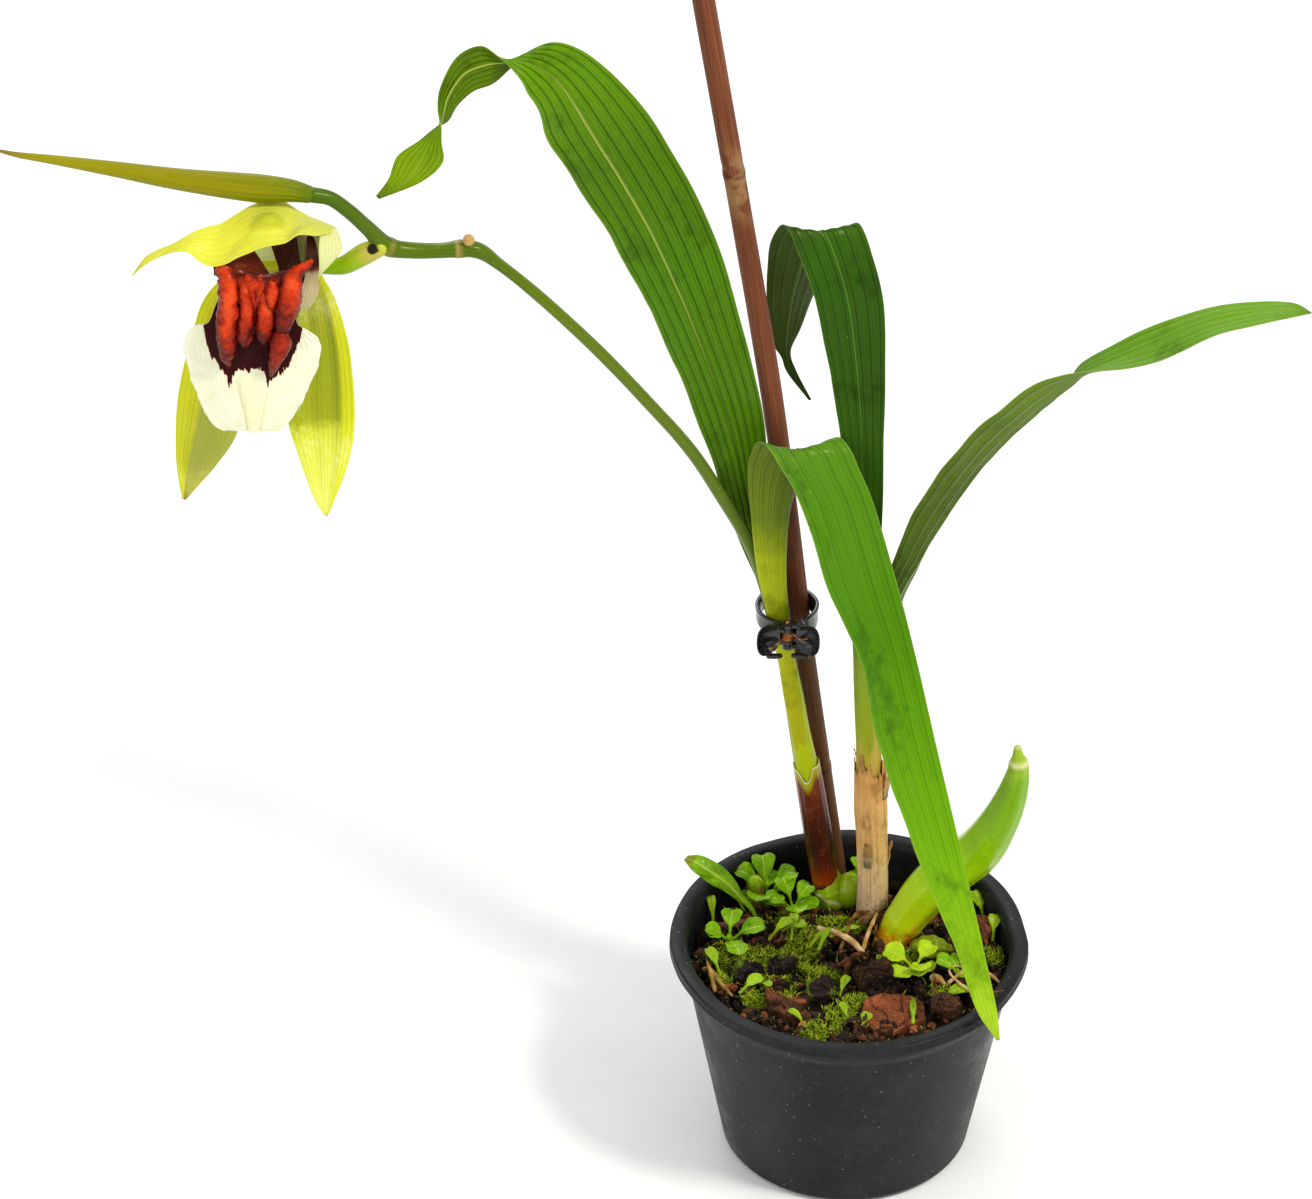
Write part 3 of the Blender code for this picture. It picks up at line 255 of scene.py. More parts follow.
def gridNormal(place):
    return unit(np.cross(np.gradient(place, axis=1), np.gradient(place, axis=0)))


def shellFrom(upper, lower, values):
    # closed shell of two grids, the lower one on the side that the grid's normal points to;
    # values are (name, grid for the upper side, grid for the lower side)
    rows, columns = upper.shape[0] - 1, upper.shape[1] - 1
    ring = np.concatenate((upper, lower[:, ::-1]), axis=1)
    faces, _ = gridFaces(rows, ring.shape[1], True, True)
    column = faces % ring.shape[1]
    across = np.where(column <= columns, column, ring.shape[1] - 1 - column) / columns
    place = np.stack((across, (faces // ring.shape[1]) / rows), -1)
    parts = [(faces, place)]
    j = np.arange(columns)
    last = ring.shape[1] - 1
    cap = np.stack((j, j + 1, last - 1 - j, last - j), -1)
    low = np.stack((j, j + 1, j + 1, j), -1) / columns
    parts.append((cap, np.stack((low, np.zeros_like(low)), -1)))
    parts.append((cap[:, ::-1] + rows * ring.shape[1], np.stack((low[:, ::-1], np.ones_like(low)), -1)))
    grids = [(name, np.concatenate((a, b[:, ::-1]), axis=1)) for name, a, b in values]
    return ring.reshape(-1, 3), parts, [(name, grid.ravel()) for name, grid in grids]


def blade(stations, rows, columns, fold, thick, edge, shape, extra=None, scallop=None):
    # leaf-like shell in metres: half thickness from edge to thick in a half ellipse, and
    # shape(t, v, place, chord) gives how far each point stands to the upper side, in mm;
    # scallop(t, v) is the share by which the edges stand further out
    place, normal, t, chord = bladeGrid(stations, rows, columns, fold)
    v = np.linspace(0, 1, rows + 1)[:, None]
    if scallop:
        centre = place[:, columns // 2:columns // 2 + 1]
        place = place + (place - centre) * scallop(t[None, :], v)[..., None]
        normal = gridNormal(place)
    place = place - normal * shape(t[None, :], v, place, chord[:, None])[:, :, None]
    normal = gridNormal(place)
    half = edge + (along(thick, rows + 1) - edge)[:, None] * np.sqrt(np.clip(1 - t ** 2, 0, 1))
    upper, lower = place - normal * half[..., None], place + normal * half[..., None]
    ones = np.ones(half.shape)
    values = [("upper", ones, ones * 0)]
    for name, worked in (extra or {}).items():
        grid = worked(t[None, :] * ones, v * ones, place, chord[:, None] * ones)
        values.append((name, grid, grid))
    return shellFrom(upper * mm, lower * mm, values)


def tube(points, radii, count, sides, ends=("round", "round"), side=(0, 1, 0), shape=None,
         values=None, steps=5, flat=1.0):
    # round stem in metres: rings carried along a smooth curve, its ends domed or closed flat;
    # shape(angle, v, s) multiplies the radius, where s is the length so far in mm; flat
    # squeezes the ring across its side axis
    radii = [radii] * len(points) if np.isscalar(radii) else radii
    rows = smoothRows([tuple(p) + (r,) for p, r in zip(points, radii)], count)
    line, radius = rows[:, :3], rows[:, 3]
    heading = unit(np.gradient(line, axis=0))
    turn = np.linspace(math.pi / 2, 0, steps, endpoint=False)
    if ends[0] == "round":
        line = np.vstack((line[0] - heading[0] * radius[0] * np.sin(turn)[:, None], line))
        radius = np.concatenate((radius[0] * np.cos(turn), radius))
        heading = np.vstack((np.repeat(heading[:1], steps, 0), heading))
    if ends[1] == "round":
        line = np.vstack((line, line[-1] + heading[-1] * radius[-1] * np.sin(turn[::-1])[:, None]))
        radius = np.concatenate((radius, radius[-1] * np.cos(turn[::-1])))
        heading = np.vstack((heading, np.repeat(heading[-1:], steps, 0)))
    radius = np.maximum(radius, 0.004)
    one = unit(np.cross(heading, np.array(side, float)))
    two = unit(np.cross(one, heading))
    s = np.concatenate(([0], np.cumsum(np.linalg.norm(np.diff(line, axis=0), axis=1))))
    angle = np.arange(sides) * tau / sides
    v = (s / s[-1])[:, None]
    size = radius[:, None] * (shape(angle[None, :], v, s[:, None]) if shape else 1.0) + 0 * angle
    place = line[:, None] + size[..., None] * (one[:, None] * np.cos(angle)[None, :, None]
                                               + flat * two[:, None] * np.sin(angle)[None, :, None])
    rows = len(line) - 1
    faces, uv = gridFaces(rows, sides, True)
    uv = np.stack((uv[..., 0], (s / s[-1])[np.rint(uv[..., 1] * rows).astype(int)]), -1)
    parts = [(faces, uv)]
    points = place.reshape(-1, 3)
    j = np.arange(sides)
    for row in (0, rows):
        end = fan(row, sides, len(points))
        points = np.vstack((points, line[row][None]))
        spot = np.stack((np.stack((j, j + 1, j + 0.5), -1) / sides, np.full((sides, 3), row / rows)), -1)
        parts.append((end, spot) if row else (end[:, ::-1], spot[:, ::-1]))
    numbers = []
    for name, worked in (values or {}).items():
        grid = np.broadcast_to(worked(angle[None, :], v, s[:, None]), size.shape).ravel()
        numbers.append((name, np.concatenate((grid, grid[:1], grid[-1:]))))
    return points * mm, facingOut(parts, place), numbers


# Shader nodes

bench = {"tree": None}    # the node tree in work, set by group and newMaterial
groups = {}


def fill(sockets, values):
    # sets each input, or links it where its value is another node's output
    for key, value in values.items():
        if isinstance(value, bpy.types.NodeSocket):
            link(value, sockets[key])
        else:
            sockets[key].default_value = value


def link(output, socket):
    bench["tree"].links.new(output, socket)


def put(kind, values, out=0, **settings):
    # adds a node, fills its inputs by name or number, and gives one of its outputs
    made = bench["tree"].nodes.new("ShaderNode" + kind)
    for key, value in settings.items():
        setattr(made, key, value)
    fill(made.inputs, values)
    return made.outputs[out]


def sums(how, a, b=0.0, c=0.0, clamp=False):
    return put("Math", {0: a, 1: b, 2: c}, operation=how, use_clamp=clamp)


def times(a, b):
    return sums("MULTIPLY", a, b)


def nudged(value, amount, base, middle=0.5):
    # the base, moved by a share of how far the value stands from its middle
    return sums("MULTIPLY_ADD", sums("SUBTRACT", value, middle), amount, base)


def awayFrom(value, middle):
    return sums("ABSOLUTE", sums("SUBTRACT", value, middle))


def mixed(share, a, b, how="MIX"):
    return put("Mix", {0: share, 6: a, 7: b}, 2, data_type="RGBA", blend_type=how)


def painted(colour, share, code, how="MIX"):
    # one more plain colour over what is there
    return mixed(share, colour, tint(code), how)


def ranged(value, low, high, first=0.0, last=1.0, soft=True):
    kind = "SMOOTHSTEP" if soft else "LINEAR"
    return put("MapRange", {0: value, 1: low, 2: high, 3: first, 4: last}, interpolation_type=kind)


def ramp(value, stops):
    made = bench["tree"].nodes.new("ShaderNodeValToRGB")
    band = made.color_ramp
    while len(band.elements) < len(stops):
        band.elements.new(1.0)
    for element, (place, colour) in zip(band.elements, stops):
        element.position = place
        element.color = tint(colour)
    link(value, made.inputs[0])
    return made.outputs[0]


def noiseNode(vector, scale, detail=4.0, rough=0.55, twist=0.0):
    return put("TexNoise", {"Vector": vector, "Scale": scale, "Detail": detail, "Roughness": rough,
                            "Distortion": twist})


def stretched(vector, scale):
    return put("Mapping", {0: vector, 3: scale})


def axis(vector, number):
    return put("SeparateXYZ", {0: vector}, number)


def attribute(name):
    return put("Attribute", {}, 2, attribute_name=name)


def group(name, inputs, outputs):
    # starts a node group from (name, kind, value) inputs and (name, kind) outputs
    tree = bpy.data.node_groups.new(name, "ShaderNodeTree")
    for label, kind, value in inputs:
        made = tree.interface.new_socket(label, in_out="INPUT", socket_type="NodeSocket" + kind)
        if value is not None:
            made.default_value = value
    for label, kind in outputs:
        tree.interface.new_socket(label, in_out="OUTPUT", socket_type="NodeSocket" + kind)
    bench["tree"] = groups[name] = tree
    return tree.nodes.new("NodeGroupInput").outputs, tree.nodes.new("NodeGroupOutput").inputs


def use(name, values):
    # places a node group with its own values
    holder = bench["tree"].nodes.new("ShaderNodeGroup")
    holder.node_tree = groups[name]
    fill(holder.inputs, values)
    return holder.outputs[0]


def mottled(vector, scale, contrast):
    return use("mottle", {"Vector": vector, "Scale": scale, "Contrast": contrast})


def speckled(vector, scale, size, amount):
    return use("specks", {"Vector": vector, "Scale": scale, "Size": size, "Amount": amount})


def fibred(own, across, lengthwise):
    return use("fibre", {"Map": own, "Across": across, "Along": lengthwise})


def veined(own, here, count, width):
    return use("veins", {"Map": own, "Object": here, "Count": count, "Width": width})


def makeMottle():
    # uneven shade from 0 to 1: broad patches with a finer grain in them
    given, sent = group("mottle", [("Vector", "Vector", None), ("Scale", "Float", 60.0),
                                   ("Contrast", "Float", 1.0)], [("Value", "Float")])
    broad = noiseNode(given[0], given[1], 3.0, 0.5, 0.3)
    fine = noiseNode(given[0], times(given[1], 7.0), 3.0, 0.6)
    both = sums("MULTIPLY_ADD", fine, 0.35, times(broad, 0.65))
    centred = sums("SUBTRACT", both, 0.5)
    link(sums("MULTIPLY_ADD", centred, times(given[2], 2.6), 0.5, True), sent[0])


def makeSpecks():
    # round specks: cells whose random number is under Amount, dark to their Size
    given, sent = group("specks", [("Vector", "Vector", None), ("Scale", "Float", 900.0),
                                   ("Size", "Float", 0.25), ("Amount", "Float", 0.3)], [("Mask", "Float")])
    cell = bench["tree"].nodes.new("ShaderNodeTexVoronoi")
    fill(cell.inputs, {"Vector": given[0], "Scale": given[1]})
    chance = put("SeparateColor", {0: cell.outputs[1]})
    chosen = sums("LESS_THAN", chance, given[3])
    dot = ranged(cell.outputs[0], given[2], times(given[2], 0.6), soft=False)
    link(times(dot, chosen), sent[0])


def makeVeins():
    # lengthwise veins across a blade's own map: 1 on a vein, 0 between
    given, sent = group("veins", [("Map", "Vector", None), ("Object", "Vector", None),
                                  ("Count", "Float", 9.0), ("Width", "Float", 0.2)], [("Line", "Float")])
    drift = noiseNode(given[1], 25.0, 2.0)
    shifted = sums("MULTIPLY_ADD", drift, 0.02, axis(given[0], 0))
    wave = sums("FRACT", times(shifted, given[2]))
    link(ranged(awayFrom(wave, 0.5), 0.0, given[3], 1.0, 0.0), sent[0])


def makeFibre():
    # streaks that run along a piece's own map, from 0 to 1
    given, sent = group("fibre", [("Map", "Vector", None), ("Across", "Float", 30.0),
                                  ("Along", "Float", 2.0)], [("Value", "Float")])
    axes = put("CombineXYZ", {0: given[1], 1: given[2], 2: 1.0})
    spread = put("VectorMath", {0: given[0], 1: axes}, operation="MULTIPLY")
    link(noiseNode(spread, 1.0, 5.0, 0.6, 0.2), sent[0])


for build in (makeMottle, makeSpecks, makeVeins, makeFibre):
    build()


def newMaterial(name, roughness, **fixed):
    # a Principled material with its fixed sockets set; gives its inputs, place and map as well
    material = bpy.data.materials.new(name)
    material.use_nodes = True
    bench["tree"] = material.node_tree
    sockets = material.node_tree.nodes["Principled BSDF"].inputs
    fill(sockets, {"Roughness": roughness, "Specular IOR Level": 0.16})
    fill(sockets, {label.replace("_", " "): value for label, value in fixed.items()})
    coordinates = material.node_tree.nodes.new("ShaderNodeTexCoord").outputs
    return material, sockets, coordinates["Object"], coordinates["UV"]


def bumped(sockets, height, distance):
    link(put("Bump", {"Height": height, "Distance": distance, "Strength": 1.0}), sockets["Normal"])


def colourTo(sockets, colour):
    link(colour, sockets["Base Color"])


print("helpers ready")


# Camera, light and floor

view = {"place": (-0.06466, -1.5799, 1.3287), "tilt": 54.9195, "frame": (1312, 1199), "sensor": 36}
view["lens"] = 6000 / view["frame"][0] * view["sensor"]    # a focal length of 6000 photo pixels
cameraData = bpy.data.cameras.new("camera")
cameraData.lens = view["lens"]
camera = bpy.data.objects.new("camera", cameraData)
camera.location = view["place"]
camera.rotation_euler = (math.radians(view["tilt"]), 0, 0)
bpy.context.scene.collection.objects.link(camera)
bpy.context.scene.camera = camera
bpy.context.scene.view_settings.view_transform = "Standard"

lights = {    # place, aim, size in metres, watts, colour
    "key": ((0.75, -0.55, 1.35), (-0.03, 0.0, 0.2), 0.3, 14.0, (1.0, 0.98, 0.9)),
    "fill": ((-1.1, -1.0, 0.8), (-0.05, 0.0, 0.2), 1.0, 5.0, (0.93, 0.97, 1.0)),
    "back": ((-0.3, 1.1, 1.0), (-0.03, 0.0, 0.2), 0.8, 4.5, (1.0, 1.0, 1.0)),
    }
for name, (place, aim, size, watts, colour) in lights.items():
    lamp = bpy.data.lights.new(name, "AREA")
    lamp.shape = "DISK"
    lamp.size = size
    lamp.energy = watts
    lamp.color = colour
    holder = bpy.data.objects.new(name, lamp)
    holder.location = place
    holder.rotation_euler = (Vector(aim) - Vector(place)).to_track_quat("-Z", "Y").to_euler()
    bpy.context.scene.collection.objects.link(holder)

studio = {"air": 0.77, "reach": 6.0, "drop": 0.0002}    # world strength, floor's half width and gap
world = bpy.data.worlds.new("studio")
world.use_nodes = True
world.node_tree.nodes["Background"].inputs[0].default_value = (1.0, 1.0, 1.0, 1.0)
world.node_tree.nodes["Background"].inputs[1].default_value = studio["air"]
bpy.context.scene.world = world

floorMesh = bpy.data.meshes.new("floor")
reach = studio["reach"]
floorMesh.from_pydata([(-reach, -reach, 0), (reach, -reach, 0), (reach, reach, 0), (-reach, reach, 0)],
                      [], [(0, 1, 2, 3)])
floor = bpy.data.objects.new("floor", floorMesh)
floor.location = (0, 0, -studio["drop"])
bpy.context.scene.collection.objects.link(floor)
paper, sockets, here, _ = newMaterial("floor_paper", 0.9)
colourTo(sockets, ramp(noiseNode(here, 30.0), [(0.3, "f4f4f3"), (0.7, "f8f8f7")]))
floorMesh.materials.append(paper)


def seen(points):
    # points in mm from (photo pixel across, photo pixel down, depth behind the pot's middle)
    points = np.asarray(points, float)[:, :3]
    width, height = view["frame"]
    tilt, focal = math.radians(view["tilt"]), view["lens"] / view["sensor"] * width
    across, up = (points[:, 0] - width / 2) / focal, (height / 2 - points[:, 1]) / focal
    ray = np.column_stack((across, math.sin(tilt) + up * math.cos(tilt),
                           up * math.sin(tilt) - math.cos(tilt)))
    place = np.array(view["place"]) / mm
    return place + ray * ((points[:, 2] - place[1]) / ray[:, 1])[:, None]


def seenPairs(*stations):
    return [tuple(tuple(point) for point in seen(station)) for station in stations]


# Pot

pot = {"height": 81.0, "rim": 60.0, "rimHeight": 3.6, "rimOverhang": 3.6, "rimWidth": 4.2,
       "bevel": 0.9, "wall": 1.2, "base": 42.7, "baseRound": 3.0, "floor": 1.6, "floorRound": 1.6,
       "step": 9.5, "stepDepth": 0.4, "drain": 4.0, "drainCircle": 26.0, "drains": 5, "steps": 224}


def wallRadius(z):
    top = pot["height"] - pot["rimHeight"]
    share = (z - pot["baseRound"]) / (top - pot["baseRound"])
    return pot["base"] + (pot["rim"] - pot["rimOverhang"] - pot["base"]) * share


def innerRadius(z):
    low, high = pot["floor"] + pot["floorRound"], pot["height"] - pot["step"]
    foot, head = pot["base"] - pot["wall"] - 1, wallRadius(high) - pot["wall"]
    return foot + (head - foot) * (z - low) / (high - low)


def plasticMaterial():
    finish, sockets, here, _ = newMaterial("pot_plastic", 0.33, Specular_IOR_Level=0.13)
    shade = mottled(here, 45.0, 1.3)
    colour = ramp(shade, [(0.0, "151618"), (0.5, "1d1e20"), (1.0, "28292b")])
    dust = speckled(here, 420.0, 0.16, 0.2)
    fine = speckled(here, 1500.0, 0.2, 0.12)
    specks = sums("MAXIMUM", dust, times(fine, 0.6))
    colour = painted(colour, times(specks, 0.55), "8a8378")
    lines = noiseNode(stretched(here, (1.0, 1.0, 0.06)), 900.0, 2.0)
    scratch = ranged(lines, 0.68, 0.74)
    colour = painted(colour, times(scratch, 0.2), "6b6c6e")
    colourTo(sockets, colour)
    link(ranged(shade, 0.1, 0.9, 0.3, 0.5), sockets["Roughness"])
    bumped(sockets, noiseNode(here, 700.0, 4.0), 0.00008)
    return finish


def potSurface():
    # profile points (radius, height) turned round Z; the rim waves a little with the angle
    top, under = pot["height"], pot["height"] - pot["rimHeight"]
    step, rim, width, bevel = top - pot["step"], pot["rim"], pot["rimWidth"], pot["bevel"]
    ribs = [(innerRadius(z) + 0.12 * math.sin(z * 2.2), z) for z in np.linspace(50, step, 26)]
    inner = [(0.5, pot["floor"]), (20, pot["floor"]), (32, pot["floor"]),
             (pot["base"] - pot["wall"] - 4, pot["floor"]),
             (innerRadius(pot["floor"] + pot["floorRound"]), pot["floor"] + pot["floorRound"]), *ribs,
             (rim - width - 2.0, top - 2.6), (rim - width - 1.3, top - 1.1), (rim - width - 0.6, top - 0.35)]
    turn = np.radians([90, 65, 45, 25, 0])
    crown = [(rim - bevel + bevel * math.cos(a), top - bevel + bevel * math.sin(a)) for a in turn]
    outer = [(rim - 0.12, under + 0.9), (rim + 0.12, under + 0.5), (rim + 0.05, under + 0.15),
             (rim - 0.5, under - 0.05), (wallRadius(under) + 0.4, under - 0.1),
             (wallRadius(under), under - 0.5)]
    outer += [(wallRadius(z), z) for z in (step + 3, step + 0.2)]
    outer += [(wallRadius(step) - 0.15, step - 0.1), (wallRadius(step - 0.6) - 0.4, step - 0.5)]
    outer += [(wallRadius(z) - pot["stepDepth"], z) for z in np.linspace(step - 2, 4.2, 12)]
    turn = np.radians(np.linspace(0, 90, 7))
    corner = [(pot["base"] - 0.4 - pot["baseRound"] * (1 - math.cos(a)),
               pot["baseRound"] * (1 - math.sin(a))) for a in turn]
    under = [(pot["base"] - 6, 0), (pot["base"] - 6.6, 0.5), (32, 0.5), (20, 0.5), (0.5, 0.5)]
    profile = np.array(inner + [(rim - width, top), (rim - width / 2, top - 0.06)] + crown + outer
                       + corner + under)
    angle = np.arange(pot["steps"]) * tau / pot["steps"]
    ring = np.stack((np.cos(angle), np.sin(angle)), -1)
    near = smooth(profile[:, 1], 66, 80)[:, None]
    wave = 0.3 * lattice(ring * 3.1, 1.0, 4) + 0.12 * lattice(ring * 9.0, 1.0, 6)
    dent = -0.5 * np.exp(-((angle - 0.12) / 0.1) ** 2) + 0.3 * np.exp(-((angle + 0.15 - tau) / 0.12) ** 2)
    radius = profile[:, :1] + near * (wave + dent)[None]
    lift = near ** 3 * (0.16 * lattice(ring * 4.3, 1.0, 9) - 0.1)[None]
    place = np.concatenate((radius[..., None] * ring[None],
                            (profile[:, 1:] + lift)[..., None]), -1)
    faces, uv = gridFaces(len(profile) - 1, pot["steps"], True)
    count, blank = pot["steps"] * len(profile), np.zeros((pot["steps"], 3, 2))
    points = np.vstack((place.reshape(-1, 3), [(0, 0, pot["floor"])], [(0, 0, 0.5)]))
    parts = [(faces, uv), (fan(0, pot["steps"], count)[:, ::-1], blank),
             (fan(len(profile) - 1, pot["steps"], count + 1), blank)]
    wall = place[30:50]    # rings of the outer side
    return points * mm, facingOut(parts, wall), []


def makePot():
    piece = addPiece("pot_body", potSurface(), plasticMaterial(), ["pot"], sharp=50)
    for i in range(pot["drains"]):
        turn = tau * (i + 0.5) / pot["drains"]
        line = [(pot["drainCircle"] * math.cos(turn), pot["drainCircle"] * math.sin(turn), z)
                for z in (-3, 1, 5)]
        mesh = makeMesh("drain", *tube(line, pot["drain"], 4, 28, ("flat", "flat")))
        cutter = bpy.data.objects.new("drain", mesh)
        bpy.context.scene.collection.objects.link(cutter)
        cut = piece.modifiers.new("drain", "BOOLEAN")
        cut.object = cutter
        bpy.context.view_layer.update()
        graph = bpy.context.evaluated_depsgraph_get()
        done = bpy.data.meshes.new_from_object(piece.evaluated_get(graph))
        piece.modifiers.clear()
        piece.data = done
        bpy.data.objects.remove(cutter)


makePot()
print("pot done")


# Leaves: stations of one edge and the other, base to tip

leafFront = {
    "stations": (
        ((-13.5, 34.6, 108), (-10.5, 34.6, 108)), ((-16.2, 34.1, 126), (-12.2, 34.1, 126)),
        ((-19, 33.2, 138), (-14, 33.2, 138)), ((-22, 33, 155), (-16, 33, 155)),
        ((-25, 32, 176), (-19, 32, 176)), ((-28.5, 32, 192), (-21, 32, 192)),
        ((-32, 32, 211), (-22, 33, 210)), ((-34, 32, 232), (-21, 35, 230)),
        ((-35, 32, 248), (-17, 37, 245)), ((-33, 31, 258), (-11, 38, 252)),
        ((-31, 28, 262), (-6, 36, 258)), ((-28, 24, 262), (-2, 32, 256)),
        ((-24, 20, 256), (1, 29, 250)), ((-17, 15, 244), (6, 24, 239)),
        ((-9, 5, 219), (14, 13, 214)), ((1, -3, 199), (20, 5, 192)),
        ((8, -15, 170), (27, -8, 165)), ((20, -30, 139), (35, -25, 136)),
        ((33, -43, 110), (43, -40, 105)), ((40, -49, 90), (47, -47, 88)),
        ((47, -52, 79), (48.2, -52, 79))),
    "fold": ((0, 0), (0.25, 0), (0.36, 0.12), (0.5, 0.16), (0.8, 0.14), (1, 0)),
    "thick": ((0, 0.9), (0.12, 1.3), (0.22, 1.7), (0.3, 1.3), (0.42, 0.5), (0.6, 0.34), (1, 0.25)),
    "veins": 5, "pleat": 0.16, "starts": 0.3, "wave": ((0.25, 24, 0.3), (0.3, 30, 1.2)), "rib": 0.5,
    "top": [(0.0, "8f9c1a"), (0.34, "5c8418"), (0.46, "4f8016"), (0.62, "467c04"), (0.8, "629a06"),
            (0.93, "86b40e"), (1.0, "b4d62c")],
    # under: yellow-green up to 0.29 along, then olive: painted shadow that the leaf's own arch casts on its
    # underside
    "under": [(0.0, "c3bb22"), (0.1, "b9b810"), (0.25, "b2bc14"), (0.29, "a9b412"), (0.325, "6f8418"),
              (0.42, "566c16"), (1.0, "5f7f14")],
    "midrib": ("7fa83c", 0.25), "line": ("2f5a0c", 0.2), "edge": "a9bb5a", "gloss": 0.3}
leafTall = {
    "stations": (
        ((-9.9, 37.4, 108), (-11.7, 37.4, 108)), ((-11.8, 37.5, 127), (-14.1, 37.5, 127)),
        ((-15, 40.3, 150), (-19, 40.3, 150)), ((-18.8, 40.5, 169), (-23.5, 40.5, 169)),
        ((-22, 40.9, 190), (-28.6, 40.9, 190)), ((-25, 40.8, 214), (-37, 40.5, 213)),
        ((-28, 39, 243), (-42, 38, 231)), ((-31, 38, 271), (-49, 33, 259)),
        ((-39, 41, 305), (-62, 27, 300)), ((-46, 44, 329), (-75, 23, 333)),
        ((-56, 45, 352), (-86, 21, 356)), ((-68, 44, 375), (-97, 19, 377)),
        ((-81, 41, 393), (-102, 19, 392)), ((-94, 36, 404), (-106, 20, 399)),
        ((-104, 31, 404), (-110, 22, 404)), ((-110, 28, 399), (-114, 24, 407)),
        ((-115, 26, 395), (-119, 25, 409)), ((-121, 25, 393), (-126, 25, 405)),
        ((-126, 25, 388), (-131, 23, 396)), ((-129, 26, 382), (-132, 22, 389)),
        ((-133, 27, 379), (-131, 22, 382)), ((-138, 26, 375), (-131, 23, 376)),
        ((-145, 25, 370), (-131, 24, 368)), ((-148, 24.4, 362), (-138, 24, 361)),
        ((-152, 24.2, 356), (-151, 24, 355))),
    "fold": ((0, 0), (0.15, 0), (0.3, 0.1), (0.55, 0.1), (0.72, 0.04), (1, 0)),
    "thick": ((0, 0.8), (0.05, 0.85), (0.1, 1.1), (0.17, 1.0), (0.26, 0.6), (0.4, 0.38), (1, 0.25)),
    "veins": 8, "pleat": 0.42, "starts": 0.2, "wave": ((0.4, 34, 1.0), (0.5, 27, 2.6)), "rib": 0.55,
    "top": [(0.0, "8f9c1a"), (0.13, "7e9610"), (0.22, "4f7205"), (0.4, "477005"), (0.56, "467408"),
            (0.68, "466e06"), (0.8, "5c8a02"), (0.9, "6c9202"), (1.0, "86a808")],
    "under": [(0.0, "8f9c1a"), (0.2, "6f8410"), (0.6, "4a6808"), (0.74, "405c02"), (1.0, "6e9404")],
    "midrib": ("b4c45a", 0.7), "line": ("2c5304", 0.5), "edge": "a9b86a", "gloss": 0.27}
leafBack = {
    "stations": (
        ((6, 29.4, 128), (3.2, 29.4, 128)), ((5.8, 29.4, 142), (2.8, 29.4, 142)),
        ((7, 30, 161), (1, 30, 161)), ((7, 30, 182), (0, 30, 182)), ((8, 31, 205), (-2, 30, 206)),
        ((9, 33, 228), (-3, 32, 228.6)), ((9, 37, 256.3), (-5, 36, 256.5)),
        ((9, 39, 281.3), (-9, 37, 283.2)), ((8, 41, 306), (-14, 36, 309)), ((4, 45, 322), (-19, 40, 324)),
        ((0, 50, 330), (-24, 45, 332)), ((-4, 55, 323), (-28, 50, 324)), ((-9, 58, 310), (-29, 53, 312)),
        ((-14, 60, 296), (-29, 55, 296)), ((-18, 60, 284), (-27, 57, 281)),
        ((-21, 59, 276), (-24, 57, 275)), ((-19, 58, 269), (-22, 57, 269)),
        ((-14, 58, 258), (-15, 58, 258))),
    "fold": ((0, 0), (0.2, 0), (0.35, 0.14), (0.7, 0.1), (0.9, 0.04), (1, 0)),
    "thick": ((0, 1.1), (0.15, 1.3), (0.35, 0.6), (0.5, 0.36), (1, 0.25)),
    "veins": 6, "pleat": 0.16, "starts": 0.28, "wave": ((0.3, 30, 0.4), (0.3, 26, 2.0)), "rib": 0.5,
    # top: colours darkened as painted shade, for the shade this leaf stands in
    "top": [(0.0, "a3ab1e"), (0.14, "8ea310"), (0.26, "3f6a0c"), (0.4, "2c5408"), (0.6, "285008"),
            (1.0, "33600a")],
    "under": [(0.0, "9ba81c"), (0.14, "88990f"), (0.3, "4d6a14"), (0.7, "35500a"), (1.0, "364c04")],
    "midrib": ("6b9440", 0.4), "line": ("234a10", 0.4), "edge": "7f9a4a", "gloss": 0.32}
leafRight = {
    "stations": (
        ((5.8, 25.4, 128), (8.4, 25.4, 128)), ((5.8, 25, 142), (8.6, 25, 142)),
        ((6, 23, 167), (10, 24, 166)), ((6, 22, 187), (12, 25, 183)), ((9, 20.5, 207), (15, 26, 196)),
        ((12, 18, 220.6), (18, 27, 206)), ((19, 14, 245.6), (26, 29, 225)), ((32, 9, 272), (41, 30, 252)),
        ((46, 8, 289), (55, 29, 270)), ((56, 8, 297), (62, 27, 280)), ((63, 8, 300), (67, 25, 287)),
        ((70, 8, 301), (71, 24, 294)), ((81, 7, 303), (78, 22, 301)), ((94, 5, 307), (91, 20, 310)),
        ((107, 3, 316), (108, 17, 319)), ((122, 2, 322), (125, 13, 324)),
        ((133, 2, 325), (135, 9, 326)), ((140, 4, 325.5), (140, 5.2, 325))),
    "fold": ((0, 0), (0.2, 0), (0.35, 0.16), (0.7, 0.12), (1, 0)),
    "thick": ((0, 1.1), (0.15, 1.3), (0.35, 0.6), (0.5, 0.36), (1, 0.25)),
    "veins": 6, "pleat": 0.28, "starts": 0.25, "wave": ((0.3, 22, 0.2), (0.35, 28, 1.4)), "rib": 0.6,
    "top": [(0.0, "a3ab1e"), (0.15, "7f960f"), (0.3, "2e4a04"), (0.5, "3a5c06"),
            (0.62, "5b8a18"), (1.0, "6c9c20")],
    "under": [(0.0, "a3ab1e"), (0.12, "7d9210"), (0.28, "3f5810"), (0.5, "4c640c"), (0.7, "5d7c12"),
              (1.0, "6a8f1c")],
    "midrib": ("93b04c", 0.6), "line": ("33561a", 0.4), "edge": "a4b65e", "gloss": 0.35}


